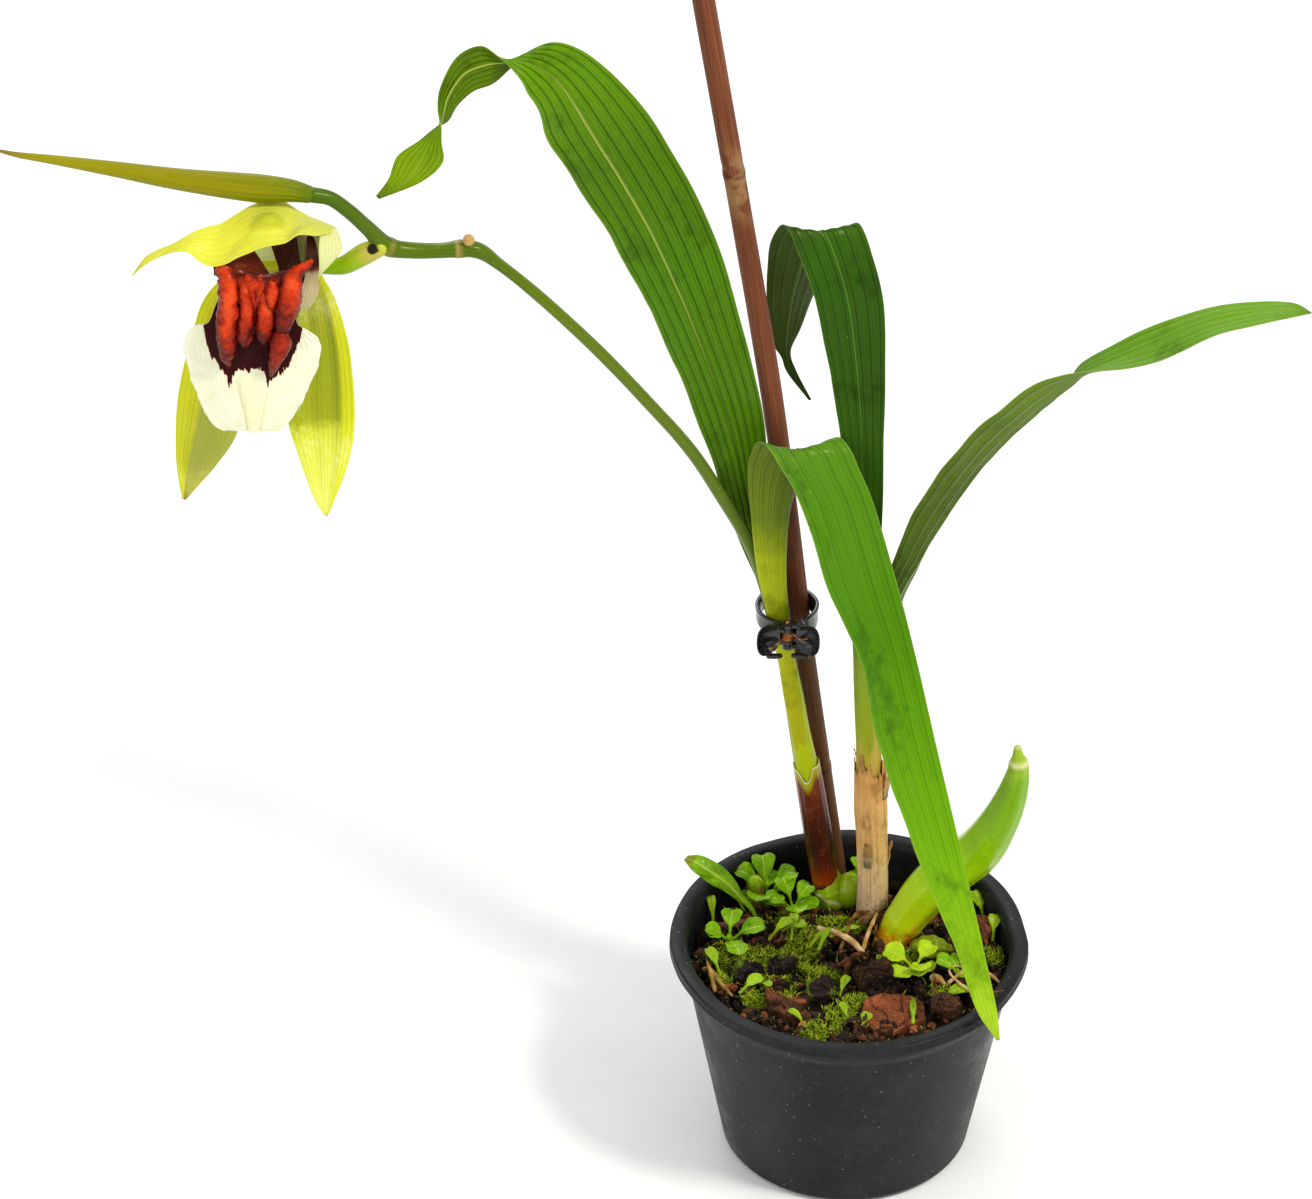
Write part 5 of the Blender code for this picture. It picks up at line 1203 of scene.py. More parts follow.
def lipMaterial():
    # cream with a yellow tinge, a dark brown patch with a reddish ragged border on its upper side,
    # and tan outside at the back
    finish, sockets, here, own = newMaterial(
        "lip_cream", 0.48, Specular_IOR_Level=0.08, Subsurface_Weight=0.2, Subsurface_Scale=0.002,
        Subsurface_Radius=(1.0, 0.9, 0.6))
    length = axis(own, 1)
    across = axis(own, 0)
    veins = veined(own, here, 26.0, 0.45)
    shade = mottled(here, 140.0, 0.8)
    colour = ramp(shade, [(0.0, "dadab6"), (0.5, "e8e7cb"), (1.0, "efedd6")])
    colour = painted(colour, times(veins, 0.18), "dddcb6")
    lobe = ranged(awayFrom(across, 0.5), 0.2, 0.05)
    yellow = times(lobe, ranged(length, 0.6, 0.75, 0.0, 0.55))
    colour = painted(colour, yellow, "ecebb4")
    patch = attribute("patch")
    streak = noiseNode(stretched(here, (1.0, 1.0, 0.25)), 1800.0, 3.0)
    edge = nudged(streak, 0.5, patch)
    stain = ramp(edge, [(0.2, "efeed6"), (0.34, "a85418"), (0.5, "601404"), (0.78, "3a0503"),
                        (1.0, "300306")])
    shown = ranged(edge, 0.18, 0.36)
    inside = times(shown, attribute("upper"))
    colour = mixed(inside, colour, stain)
    outside = sums("SUBTRACT", 1.0, attribute("upper"))
    back = ranged(length, 0.46, 0.36)
    colour = painted(colour, times(outside, back), "b3a47e")
    colourTo(sockets, colour)
    bumped(sockets, sums("MULTIPLY_ADD", veins, -0.5, shade), 0.00018)
    return finish


def keelMaterial():
    # glossy warty ridges: a ramp from maroon to orange red by each ridge's tone and painted light, orange red
    # where they face the front, maroon flanks as painted shade, darker towards their lower ends; fine pale
    # dots
    finish, sockets, here, _ = newMaterial(
        "keel_red", 0.24, Specular_IOR_Level=0.16, Specular_Tint=(1.0, 0.5, 0.3, 1.0),
        Subsurface_Weight=0.05, Subsurface_Scale=0.001,
        Subsurface_Radius=(1.0, 0.2, 0.1), Coat_Weight=0.12, Coat_Roughness=0.08)
    shade = mottled(here, 330.0, 1.3)
    # the attribute carries each ridge's tone with painted light on its front and painted shade on its flanks
    toneAndLight = nudged(shade, 0.4, attribute("toneAndLight"), 0.52)
    colour = ramp(toneAndLight, [(0.0, "3a0605"), (0.25, "5a0c06"), (0.5, "8e1a06"), (0.75, "bc3008"),
                          (1.0, "de4a1a")])
    dots = speckled(here, 2600.0, 0.3, 0.5)
    colour = painted(colour, times(dots, 0.1), "f08a5c")
    colourTo(sockets, colour)
    warts = noiseNode(here, 1100.0, 3.0, 0.6)
    bumped(sockets, warts, 0.0005)
    return finish


def keelSurface(rows, seed, tone, side):
    # ring creases: the radius swells between them; warts are a finer noise
    def bead(angle, s):
        return np.abs(np.sin(s / 2.1 + 0.9 * np.sin(s / 3.1 + seed) + 0.5 * np.sin(angle + seed))) ** 0.5

    def shape(angle, v, s):
        spot = skin(angle, v, s / 2.2)
        return (1.0 + 0.06 * bead(angle, s) + 0.14 * lattice(spot, 0.9, seed)
                + 0.09 * lattice(spot, 0.34, seed + 7))

    def toneAndLight(angle, v, s):
        # painted light: brightest where the ring faces the front and on the swellings, painted shade on the
        # flanks and in the creases; darker towards the lower end; tone scales each ridge
        front = (0.5 + 0.5 * np.cos(angle - 0.15)) ** 2.4
        return tone * front * (0.8 + 0.16 * bead(angle, s)) * (1 - 0.72 * smooth(v, 0.4, 0.95))

    line = [tuple(p) for p in seen(rows)]
    return tube(line, [1.1 * row[3] for row in rows], 110, 44, side=side, shape=shape,
                values={"toneAndLight": toneAndLight})


def makeKeels():
    # the bridge runs across, so its ring starts from another side
    ridges = [keelSurface(rows, seed, keelTones.get(name, 1.0), (0, 0, 1) if name == "bridge" else (1, 0, 0))
              for seed, (name, rows) in enumerate(keels.items())]
    addPiece("keels", joined(ridges), keelMaterial(), ["lip_keels"])


def makeLobes():
    # walls of the throat, smooth and glossy, with fine veins
    for name, (stations, colours) in lobes.items():
        finish, sockets, _, own = newMaterial("throat_" + name, 0.35, Specular_Tint=bark, Coat_Weight=0.06)
        streak = fibred(own, 24.0, 2.0)
        length = axis(own, 1)
        level = nudged(streak, 0.16, length)
        colour = ramp(level, colours)
        colourTo(sockets, painted(colour, ranged(streak, 0.52, 0.75, 0.0, 0.3), "7a3a1c"))
        bumped(sockets, streak, 0.0002)
        surface = blade(stations, 90, 40, ((0, 0), (0.5, 0.08), (1, 0)), ((0, 0.32), (1, 0.3)), 0.14,
                        lambda t, v, place, chord: 0.3 * lattice(place, 4.0, 5) + 0.1 * np.cos(t * 16))
        addPiece("lip_" + name + "_wall", surface, finish, ["lip"])


def makeColumn():
    # winged column: its ring is a flat oval, cream with a dark front
    finish, sockets, here, own = newMaterial("column_cream", 0.4, Specular_Tint=bark)
    length = axis(own, 1)
    shade = mottled(here, 200.0, 0.8)
    colour = ramp(length, [(0.0, "a8ac40"), (0.5, "c4c06a"), (0.7, "8a4a1c"), (1.0, "5a160a")])
    colour = painted(colour, times(shade, 0.35), "e6e4b0")
    colourTo(sockets, colour)
    bumped(sockets, shade, 0.0001)

    def shape(angle, v, s):
        wing = 1 + 0.16 * np.cos(2 * angle) * smooth(v, 0.25, 0.7)
        return wing * (1 + 0.12 * smooth(v, 0.86, 0.93) * smooth(v, 1.0, 0.95))

    surface = tube(column["line"], column["radii"], 70, 32, shape=shape)
    addPiece("flower_column", surface, finish, ["column"])


makeTepal("dorsal_sepal", dorsalSepal, 200, 84, hoodShape)
makeTepal("lateral_sepal_right", lateralRight, 180, 60, ribShape(3, 0.3, 0.5))
makeTepal("lateral_sepal_left", lateralLeft, 200, 60, ribShape(3, 0.3, 0.5))
makeTepal("petal_right", petalRight, 120, 30, ribShape(1, 0.15, 0.35))
makeTepal("petal_left", petalLeft, 120, 30, ribShape(2, 0.15, 0.3))
lipSurface = blade(lip["stations"], 300, 144, ((0, 0), (1, 0)), ((0, 0.38), (1, 0.38)), 0.16,
                   lipShape, {"patch": lipPatch}, lipScallop)
addPiece("lip_apron", lipSurface, lipMaterial(), ["lip"])
makeLobes()
makeKeels()
makeColumn()
print("flower done")


# Growths, sheaths and pseudobulbs

purple = {"line": ((-6.8, 37.3, 75), (-8, 36.9, 84), (-10.2, 36.2, 99.5), (-12.2, 36, 113.5),
                   (-14.4, 36, 128)), "radii": (4.5, 4.7, 4.8, 4.7, 4.5),
          "foot": ((-6.3, 37.45, 71.8), (-6.8, 37.3, 75), (-7.1, 37.2, 77)), "footRadii": (4.1, 4.62, 4.72)}
growth = {"core": ((-6.6, 37.4, 73), (-8, 36.9, 84), (-10.2, 36.2, 99.5), (-11.3, 36.1, 107)),
          "coreRadius": 3.2,
          "swelling": ((-4.6, 37.4, 63), (-5, 37, 68), (-5.4, 37, 74), (-5.8, 37.3, 79)),
          "swellingRadii": (3.6, 5.7, 5.6, 3.4),
          "bud": ((-1, 36.5, 67), (0.6, 36, 71), (0.8, 35.6, 75), (0.2, 35.4, 79)),
          "budRadii": (3.0, 5.0, 4.6, 1.6)}
papery = {"line": ((9, 29, 62), (8.8, 28.8, 80), (8, 28.4, 102), (7.2, 27.9, 118), (6.4, 27.4, 140.5)),
          "radii": (5.6, 5.3, 5.2, 5.4, 5.3),
          "bulb": ((9, 29, 62.4), (8.8, 28.8, 80), (8, 28.4, 102), (7, 27.8, 127)), "bulbRadius": 3.9,
          # peeling strips: heading in radians, height, span and how far each stands off
          "strips": ((4.4, 92, 14, 2.6), (5.6, 120, 17, 2.2), (2.0, 104, 18, 2.6), (0.4, 84, 16, 2.4),
                     (3.1, 128, 12, 2.0)), "middle": (8.2, 28.4), "stripWidths": (1.0, 1.1, 0.7, 0.15)}
newStem = {"line": ((-10.2, 36.2, 100), (-12.2, 36, 113.5), (-14.4, 36, 127), (-16.6, 35.6, 140),
                    (-19, 35.8, 156), (-21, 36, 172)), "radii": (3.7, 3.8, 3.85, 3.5, 3.1, 2.2)}
backStem = {"line": ((6.4, 27.4, 130), (6.2, 27.2, 142), (5.6, 27, 158), (5, 27.2, 176), (4.6, 27.6, 194)),
            "radii": (4.1, 4.2, 4.4, 4.4, 2.6)}
oldBulb = {
    "line": (
        (11, 11, 63), (15.5, 14, 69.5), (19.5, 16, 76.5), (26, 18, 85.5), (34, 19, 94),
        (43, 19, 102.5), (49.5, 18, 115), (53.5, 17, 127), (55.5, 16, 139), (55, 16, 147.5)),
    "radii": (4.6, 5.8, 6.8, 7.8, 8.2, 7.8, 6.6, 5.3, 3.6, 1.5)}
shrivelled = {"line": ((20.5, 6.5, 66), (24, 7, 69.3), (29, 7.5, 70.3), (34, 8, 69.2)),
              "radii": (1.8, 3.9, 4.0, 1.8)}
rhizome = {"line": ((-7, 39, 59), (1, 35, 59), (9, 28, 59), (12, 17, 57.5), (11, 7, 56.5)), "radius": 2.7}


def wallTube(line, radii, rows, sides, wall, top, bulge):
    # open sheath: rings to the height share top(angle), an outer and an inner wall that meet
    # at both ends; bulge(angle, v) multiplies the radius; angle 0 points to -X and a quarter
    # turn to the back
    data = smoothRows([(*p, r) for p, r in zip(line, radii)], 200)
    headings = unit(np.gradient(data[:, :3], axis=0))
    angle = np.arange(sides) * tau / sides
    share = np.linspace(0, 1, rows + 1)[:, None] * top(angle)[None, :]
    read = np.stack([np.interp(share, np.linspace(0, 1, len(data)), column)
                     for column in np.hstack((data, headings)).T], -1)
    centre, radius, heading = read[..., :3], read[..., 3], unit(read[..., 4:])
    one = unit(np.cross(heading, (0.0, 1.0, 0.0)))
    two = unit(np.cross(one, heading))
    size = radius * bulge(angle[None, :] + 0 * share, share)
    ray = one * np.cos(angle)[None, :, None] + two * np.sin(angle)[None, :, None]
    outer = centre + ray * size[..., None]
    inner = centre + ray * (size - wall)[..., None]
    around = np.concatenate((outer, inner[::-1]), axis=0)
    around = np.concatenate((around, around[:1]), axis=0)
    height = np.concatenate((share, share[::-1], share[:1]), axis=0)
    rim = np.concatenate((top(angle)[None, :] - share, (top(angle)[None, :] - share)[::-1]), axis=0)
    inside = np.concatenate((0 * share, 0 * share + 1), axis=0)
    count = 2 * (rows + 1)
    faces, uv = gridFaces(count, sides, True)
    faces = faces % (count * sides)
    column = np.rint(uv[..., 0] * sides).astype(int)
    row = np.rint(uv[..., 1] * count).astype(int)
    uv = np.stack((column / sides, height[row, column % sides]), -1)
    return (around[:-1].reshape(-1, 3) * mm, facingOut([(faces, uv)], outer),
            [("rim", rim.ravel()), ("inside", inside.ravel())])


def makePurpleSheath():
    # maroon sheath: open V at the front, one side reaches high; orange brown at its foot
    finish, sockets, here, own = newMaterial("sheath_purple", 0.3, Specular_Tint=bark, Coat_Weight=0.25,
                                             Coat_Roughness=0.15)
    length = axis(own, 1)
    streak = fibred(own, 40.0, 1.4)
    shade = mottled(here, 120.0, 1.2)
    level = nudged(streak, 0.22, length)
    colour = ramp(level, [(0.0, "a4460a"), (0.1, "8e3404"), (0.2, "5a2012"), (0.35, "35160f"),
                          (0.6, "4a1c12"), (0.85, "6c2c1c"), (1.0, "7c4020")])
    colour = painted(colour, ranged(shade, 0.55, 0.95, 0.0, 0.4), "8a4228")
    specks = speckled(here, 800.0, 0.24, 0.3)
    colour = painted(colour, times(specks, 0.4), "b07a5c")
    rim = attribute("rim")
    colour = painted(colour, ranged(rim, 0.11, 0.03, 0.0, 0.85), "a8a814")
    colour = painted(colour, ranged(rim, 0.014, 0.004), "d8cfa4")
    colour = painted(colour, attribute("inside"), "b7c41c")
    colourTo(sockets, colour)
    bumped(sockets, sums("ADD", streak, shade), 0.0002)

    def top(angle):
        # the mouth is lower at the front, and its edge is uneven
        front = np.exp(-(turnFrom(angle, 4.9) / 0.55) ** 2)
        return 1.0 - 0.1 * front - 0.02 * np.abs(np.sin(angle * 3))

    def bulge(angle, v):
        lap = 0.05 * smooth(np.mod(angle - 5.4 + 0.5 * v, tau), 0.3, 0.0)
        return 1 + lap + 0.012 * np.cos(11 * angle) + 0.02 * smooth(v, 0.1, 0.0)

    surface = wallTube(purple["line"], purple["radii"], 150, 96, 0.4, top, bulge)
    foot = tube(purple["foot"], purple["footRadii"], 16, 72, values={"rim": steady(0.5), "inside": steady(0)})
    addPiece("new_sheath", joined([surface, foot]), finish, ["purple_sheath"])


def bulbMaterial(name, stops, low, high, gloss=0.22, scratches=0.0):
    # colour by height, lengthwise ribs in shade, pale scratches and small specks
    finish, sockets, here, own = newMaterial(
        name, gloss, Specular_Tint=sap, Coat_Weight=0.3, Coat_Roughness=0.12, Subsurface_Weight=0.1,
        Subsurface_Scale=0.002, Subsurface_Radius=(0.6, 1.0, 0.2))
    height = axis(here, 2)
    streak = fibred(own, 16.0, 1.5)
    shade = mottled(here, 90.0, 1.1)
    level = nudged(shade, 0.16,
                   ranged(height, low, high, soft=False))
    colour = ramp(level, stops)
    colour = painted(colour, ranged(streak, 0.5, 0.8, 0.0, 0.15), "cfdc4a")
    scar = attribute("scar")
    colour = painted(colour, scar, "d9cf9a")
    specks = speckled(here, 520.0, 0.18, 0.16)
    colour = painted(colour, times(specks, 0.35), "5c6a14")
    if scratches:
        lines = noiseNode(stretched(here, (1.0, 1.0, 0.22)), 420.0, 3.0, 0.6)
        marks = times(ranged(lines, 0.66, 0.72), ranged(shade, 0.5, 0.8))
        colour = painted(colour, times(marks, scratches), "e6ecb0")
    colourTo(sockets, colour)
    bumped(sockets, sums("ADD", streak, shade), 0.00022)
    return finish


def makeGrowthBase():
    def scales(angle, v, s):
        return 1 + 0.03 * np.cos(9 * angle) + 0.04 * smooth(np.sin(s * 1.1 + angle), 0.6, 1.0)

    def edge(angle, v, s):
        return 0.6 * np.exp(-((v - 0.52 - 0.12 * np.cos(angle)) / 0.03) ** 2)

    stops = [(0.0, "6c8410"), (0.3, "7e9f04"), (0.6, "98b416"), (0.8, "b4c63a"), (1.0, "c2cf3c")]
    parts = [tube(growth["core"], growth["coreRadius"], 40, 32, values={"scar": steady(0)}),
             tube(growth["swelling"], growth["swellingRadii"], 50, 48, shape=scales, values={"scar": edge}),
             tube(growth["bud"], growth["budRadii"], 50, 48, values={"scar": steady(0)})]
    finish = bulbMaterial("growth_green", stops, 0.066, 0.09)
    addPiece("growth_foot", joined(parts), finish, ["growth_base"])


def makeNewStem():
    # the petioles' common green stem fills the sheath's mouth; a thin dark edge up its left side
    def edge(angle, v, s):
        turn = turnFrom(angle, -0.35)
        return 0.75 * np.exp(-(turn / 0.2) ** 2) * smooth(v, 0.3, 0.4)

    def shape(angle, v, s):
        return 1 + 0.05 * smooth(np.mod(angle - 4.4 - 0.6 * v, tau), 0.25, 0.0) + 0.015 * np.cos(9 * angle)

    stops = [(0.0, "8c9c10"), (0.4, "b4c014"), (0.75, "a4b410"), (1.0, "98a80c")]
    surface = tube(newStem["line"], newStem["radii"], 120, 48, shape=shape,
                   values={"scar": steady(0), "black": edge})
    addPiece("new_stem", surface, stemMaterial("new_green", stops, 0.34, 0.1, 0.185))


def makePaperySheath():
    # dry paper wound round the back bulb: torn top, lengthwise wrinkles and a peeling strip
    finish, sockets, here, own = newMaterial("papery", 0.72, Specular_Tint=bark)
    length = axis(own, 1)
    streak = fibred(own, 46.0, 1.2)
    thin = fibred(own, 150.0, 3.0)
    shade = mottled(here, 90.0, 1.4)
    level = nudged(shade, 0.3, length)
    colour = ramp(level, [(0.0, "94744c"), (0.12, "e0c098"), (0.3, "f0cc94"), (0.6, "eab870"),
                          (0.85, "d49c58"), (1.0, "b8844a")])
    colour = painted(colour, ranged(streak, 0.5, 0.72, 0.0, 0.6), "b47c38")
    colour = painted(colour, ranged(thin, 0.52, 0.7, 0.0, 0.5), "f8d890")
    blot = noiseNode(stretched(here, (1.0, 1.0, 0.5)), 160.0, 4.0, 0.65)
    colour = painted(colour, ranged(blot, 0.5, 0.66, 0.0, 0.55), "86602c")
    low = ranged(length, 0.3, 0.12, 0.0, 0.45)
    colour = painted(colour, times(low, shade), "b98d86")
    moss = times(ranged(length, 0.34, 0.16), ranged(shade, 0.52, 0.66, 0.0, 0.7))
    colour = painted(colour, moss, "6b7020")
    colour = painted(colour, ranged(attribute("rim"), 0.03, 0.0, 0.0, 0.5), "b08450")
    colourTo(sockets, colour)
    bumped(sockets, sums("MULTIPLY_ADD", thin, 0.5, streak), 0.0007)

    def top(angle):
        ring = np.stack((np.cos(angle), np.sin(angle)), -1)
        torn = 0.05 * lattice(ring * 4, 1.0, 3) + 0.03 * lattice(ring * 14, 1.0, 5)
        strip = 0.1 * np.exp(-(turnFrom(angle, 5.3) / 0.22) ** 2)
        return np.clip(0.9 + torn + strip, 0, 1.0)

    def bulge(angle, v):
        ring = np.stack((np.cos(angle) * 3, np.sin(angle) * 3, v * 3), -1)
        fold = 0.05 * lattice(ring, 0.8, 2) + 0.03 * lattice(ring * (2.5, 2.5, 0.6), 0.7, 4)
        lap = 0.06 * smooth(np.mod(angle - 4.2 - 0.7 * v, tau), 0.25, 0.0)
        return 1 + fold + lap + 0.02 * np.cos(17 * angle + 4 * v)

    surfaces = [wallTube(papery["line"], papery["radii"], 180, 140, 0.3, top, bulge)]
    for heading, height, span, reach in papery["strips"]:
        out = np.array((math.cos(heading), math.sin(heading), 0))
        across = np.array((-out[1], out[0], 0)) * 1.3
        base = np.array((*papery["middle"], height)) + out * 5.1
        spots = [base, base + out * 0.5 + (0, 0, span * 0.4), base + out * reach * 0.7 + (0, 0, span * 0.75),
                 base + out * reach + (0, 0, span * 0.85)]
        points, parts, _ = blade(ribbon(spots, across, papery["stripWidths"]), 40, 10, ((0, 0), (1, 0.05)),
                                 ((0, 0.16), (1, 0.12)), 0.1,
                                 lambda t, v, place, chord: 0.3 * lattice(place, 2.0, 6))
        surfaces.append((points, parts, [("rim", 0.2), ("inside", 0)]))
    addPiece("dry_sheath", joined(surfaces), finish, ["papery_sheath"])
    inner = tube(papery["bulb"], papery["bulbRadius"], 60, 36, values={"rim": steady(0.2)})
    addPiece("dry_bulb", inner, finish, ["back_bulb"])


def makeBackStem():
    # fleshy green sheath round both petioles above the paper, with a dry streak down its front
    def dry(angle, v, s):
        turn = turnFrom(angle, 4.3)
        return 0.6 * np.exp(-((turn + 0.5 * v) / 0.16) ** 2) * smooth(v, 0.9, 0.4)

    def shape(angle, v, s):
        return 1 + 0.04 * np.cos(7 * angle + v) + 0.07 * smooth(np.mod(angle - 4.8 - v, tau), 0.3, 0.0)

    stops = [(0.0, "b8a03c"), (0.2, "8c9c18"), (0.5, "80981a"), (1.0, "6c8a10")]
    surface = tube(backStem["line"], backStem["radii"], 120, 48, shape=shape,
                   values={"scar": dry, "black": steady(0)})
    addPiece("back_stem", surface, stemMaterial("back_green", stops, 0.36, 0.135, 0.2))


def makeOldBulb():
    # ribbed, with a swollen waist, ring marks, a cream scar at its top and a small knob
    def shape(angle, v, s):
        rib = 0.028 * np.cos(7 * angle + 0.6) * smooth(v, 0.05, 0.25)
        ring = 0.16 * np.exp(-((v - 0.935) / 0.014) ** 2) - 0.1 * smooth(v, 0.945, 0.955)
        waist = 0.03 * np.exp(-((v - 0.18) / 0.02) ** 2)
        return 1 + rib + ring + waist + 0.025 * lattice(skin(angle, v, s, 6), 8.0, 3)

    def scar(angle, v, s):
        return 0.85 * np.exp(-((v - 0.938) / 0.009) ** 2) + 0.4 * smooth(v, 0.985, 0.995) + 0 * angle

    stops = [(0.0, "a4560c"), (0.05, "c0900e"), (0.1, "b4c410"), (0.3, "98c008"), (0.6, "78a804"),
             (0.85, "6ea000"), (1.0, "8fb01c")]
    finish = bulbMaterial("old_bulb_green", stops, 0.07, 0.146, 0.2, 0.75)
    body = tube(oldBulb["line"], oldBulb["radii"], 260, 88, shape=shape, values={"scar": scar})
    addPiece("old_bulb_body", body, finish, ["old_bulb"])

    def wrinkle(angle, v, s):
        return 1 + 0.09 * np.cos(8 * angle + 2 * v) + 0.05 * np.sin(s * 2.2 + angle)

    stops = [(0.0, "3f4206"), (0.5, "5d6101"), (1.0, "7c8a16")]
    finish = bulbMaterial("shrivelled_green", stops, 0.064, 0.074, 0.24)
    body = tube(shrivelled["line"], shrivelled["radii"], 90, 56, shape=wrinkle, values={"scar": steady(0)})
    addPiece("shrivelled_body", body, finish, ["shrivelled_bulb"])


def makeRhizome():
    def shape(angle, v, s):
        return 1 + 0.08 * np.abs(np.sin(s * 0.9)) ** 0.5 + 0.05 * np.cos(5 * angle)

    finish, sockets, _, own = newMaterial("rhizome_brown", 0.7)
    streak = fibred(own, 30.0, 4.0)
    colourTo(sockets, ramp(streak, [(0.2, "4a2f18"), (0.6, "8a6236"), (0.9, "b08a54")]))
    bumped(sockets, streak, 0.0004)
    addPiece("rhizome_bar", tube(rhizome["line"], rhizome["radius"], 90, 28, shape=shape), finish,
             ["rhizome"])


makePurpleSheath()
makeGrowthBase()
makeNewStem()
makePaperySheath()
makeBackStem()
makeOldBulb()
makeRhizome()
print("bulbs done")


# Cane stake and twig

stake = {"line": ((0.6, 44.6, 46), (-2.4, 46.4, 68), (-4.6, 46.8, 84), (-13, 45.2, 148),
                  (-15.9, 43.1, 172), (-17.2, 42.2, 184), (-19.5, 42.4, 205), (-27, 43.5, 267.5),
                  (-38.5, 44.5, 342), (-50, 45.5, 414), (-52, 45.7, 426)),
         "radius": 3.6, "knots": (352, 236, 118)}
twig = {"line": ((-44, 20, 69.6), (-38, 22, 69.1), (-33.2, 23.5, 68.8)), "radius": 1.4}


def makeStake():
    # split cane: fine lengthwise ridges, a swollen ring at each knot, plain cut ends
    finish, sockets, here, own = newMaterial("cane", 0.5, Specular_Tint=bark, Coat_Weight=0.05,
                                             Coat_Roughness=0.4)
    height = axis(here, 2)
    grain = fibred(own, 60.0, 9.0)
    fine = fibred(own, 190.0, 14.0)
    colour = ramp(grain, [(0.25, "401e10"), (0.45, "6a3822"), (0.6, "80482e"), (0.8, "9c5e40")])
    colour = painted(colour, ranged(fine, 0.55, 0.72, 0.0, 0.6), "ae7440")
    colour = painted(colour, ranged(fine, 0.42, 0.3, 0.0, 0.6), "2c1810")
    patch = times(ranged(height, 0.332, 0.345), ranged(height, 0.366, 0.356))
    patchNoise = ranged(noiseNode(here, 160.0), 0.42, 0.58, 0.0, 0.75)
    colour = painted(colour, times(patch, patchNoise), "a07a50")
    dull = ranged(height, 0.2, 0.17, 0.0, 0.55)
    colour = painted(colour, dull, "58442e")
    colour = painted(colour, attribute("knot"), "2e1a10")
    colourTo(sockets, colour)
    bumped(sockets, sums("MULTIPLY_ADD", fine, 0.6, grain), 0.0004)
    low, high = stake["line"][0][2], stake["line"][-1][2]

    def heights(v):
        return low + (high - low) * v

    def shape(angle, v, s):
        ring = sum(0.05 * np.exp(-((heights(v) - z) / 1.4) ** 2)
                   - 0.04 * np.exp(-((heights(v) - z - 3) / 1.0) ** 2) for z in stake["knots"])
        return 0.97 + ring + 0.012 * np.cos(23 * angle) + 0.02 * lattice(skin(angle, v, s / 24, 2), 1.0, 3)

    def knot(angle, v, s):
        return sum(0.7 * np.exp(-((heights(v) - z + 0.6 * np.sin(angle * 2)) / 0.6) ** 2)
                   for z in stake["knots"])

    surface = tube(stake["line"], stake["radius"], 420, 72, ("flat", "flat"), shape=shape,
                   values={"knot": knot})
    addPiece("cane_stake", surface, finish, ["stake"], sharp=60)

    finish, sockets, here, own = newMaterial("twig_bark", 0.75)
    grain = fibred(own, 30.0, 5.0)
    colourTo(sockets, ramp(grain, [(0.2, "5a342c"), (0.5, "8a5c50"), (0.8, "b58a78")]))
    bumped(sockets, grain, 0.0004)
    surface = tube(twig["line"], twig["radius"], 60, 28, shape=lambda a, v, s: 0.95
                   + 0.06 * np.cos(5 * a + s) + 0.06 * np.sin(s * 1.4) + 0 * v)
    addPiece("twig_stick", surface, finish, ["twig"])


makeStake()
print("stake done")


# Potting mix, bark and moss

mix = {"height": 70.0, "slope": 0.1, "brim": 69.0, "gap": 0.65, "steps": 250, "chunk": 7.5,
       "crumb": 3.0, "fragments": 820, "sprigs": 5200,
       # moss: x, y and reach of each patch
       "moss": ((-38, 5, 8), (-28, -5, 10), (-17, 3, 7), (-8, -10, 7), (-4, 20, 8), (-14, 14, 6),
                (-3, -32, 6), (-11, -43, 6), (-24, -24, 5), (-20, 26, 6), (30, -19, 5), (48, 2, 6),
                (-44, -11, 4), (19, 1, 5), (2, -24, 4), (-33, -22, 4))}
chips = {    # place, size, turn and lean in degrees, tone from black to red, share of moss
    "bark_chip_red": ((13, -35), (22.5, 20, 4.4), 12, 14, 0.82, 0.0),
    "bark_chip_dark": ((8.6, -12.5), (15, 13, 8), -20, 16, 0.16, 0.1),
    "bark_chip_left": ((-35, -9.5), (13, 10, 6.5), 15, 8, 0.12, 0.45),
    "bark_chip_mid": ((-22.5, -5.5), (11.5, 10, 6.5), 40, 6, 0.06, 0.2),
    "bark_chip_long": ((-21, -31), (20, 7.5, 5), -38, 12, 0.42, 0.15),
    "bark_chip_mossy": ((-9, -19), (13, 11, 6.5), 25, 15, 0.25, 0.6),
    "bark_chip_right": ((46, 17), (7, 11, 7), 0, 10, 0.55, 0.0),
    "bark_chip_brown": ((31, -29), (11, 10, 5.5), 30, 8, 0.4, 0.1),
    "bark_chip_small": ((1, 10), (7, 6, 5.5), 10, 14, 0.1, 0.0)}


def mixLevel(y):
    # mean height of the mix, which falls towards the back
    return mix["height"] - mix["slope"] * y


def mixReach(gap):
    # how far the mix reaches at its brim, a gap inside the pot's wall
    return innerRadius(mix["brim"]) - gap


def scattered(draw, count, gap):
    # random places on the mix
    radius = mixReach(gap) * np.sqrt(draw.random(count))
    turn = draw.uniform(0, tau, count)
    return radius * np.cos(turn), radius * np.sin(turn)


def mossShare(spot):
    # 1 inside a moss patch: the patches' bell curves, broken at their edges by noise
    total = sum(np.exp(-np.sum((spot - (x, y)) ** 2, -1) / reach ** 2) for x, y, reach in mix["moss"])
    return smooth(total + 0.32 * lattice(spot, 2.6, 7) + 0.14 * lattice(spot, 0.9, 8), 0.34, 0.62)


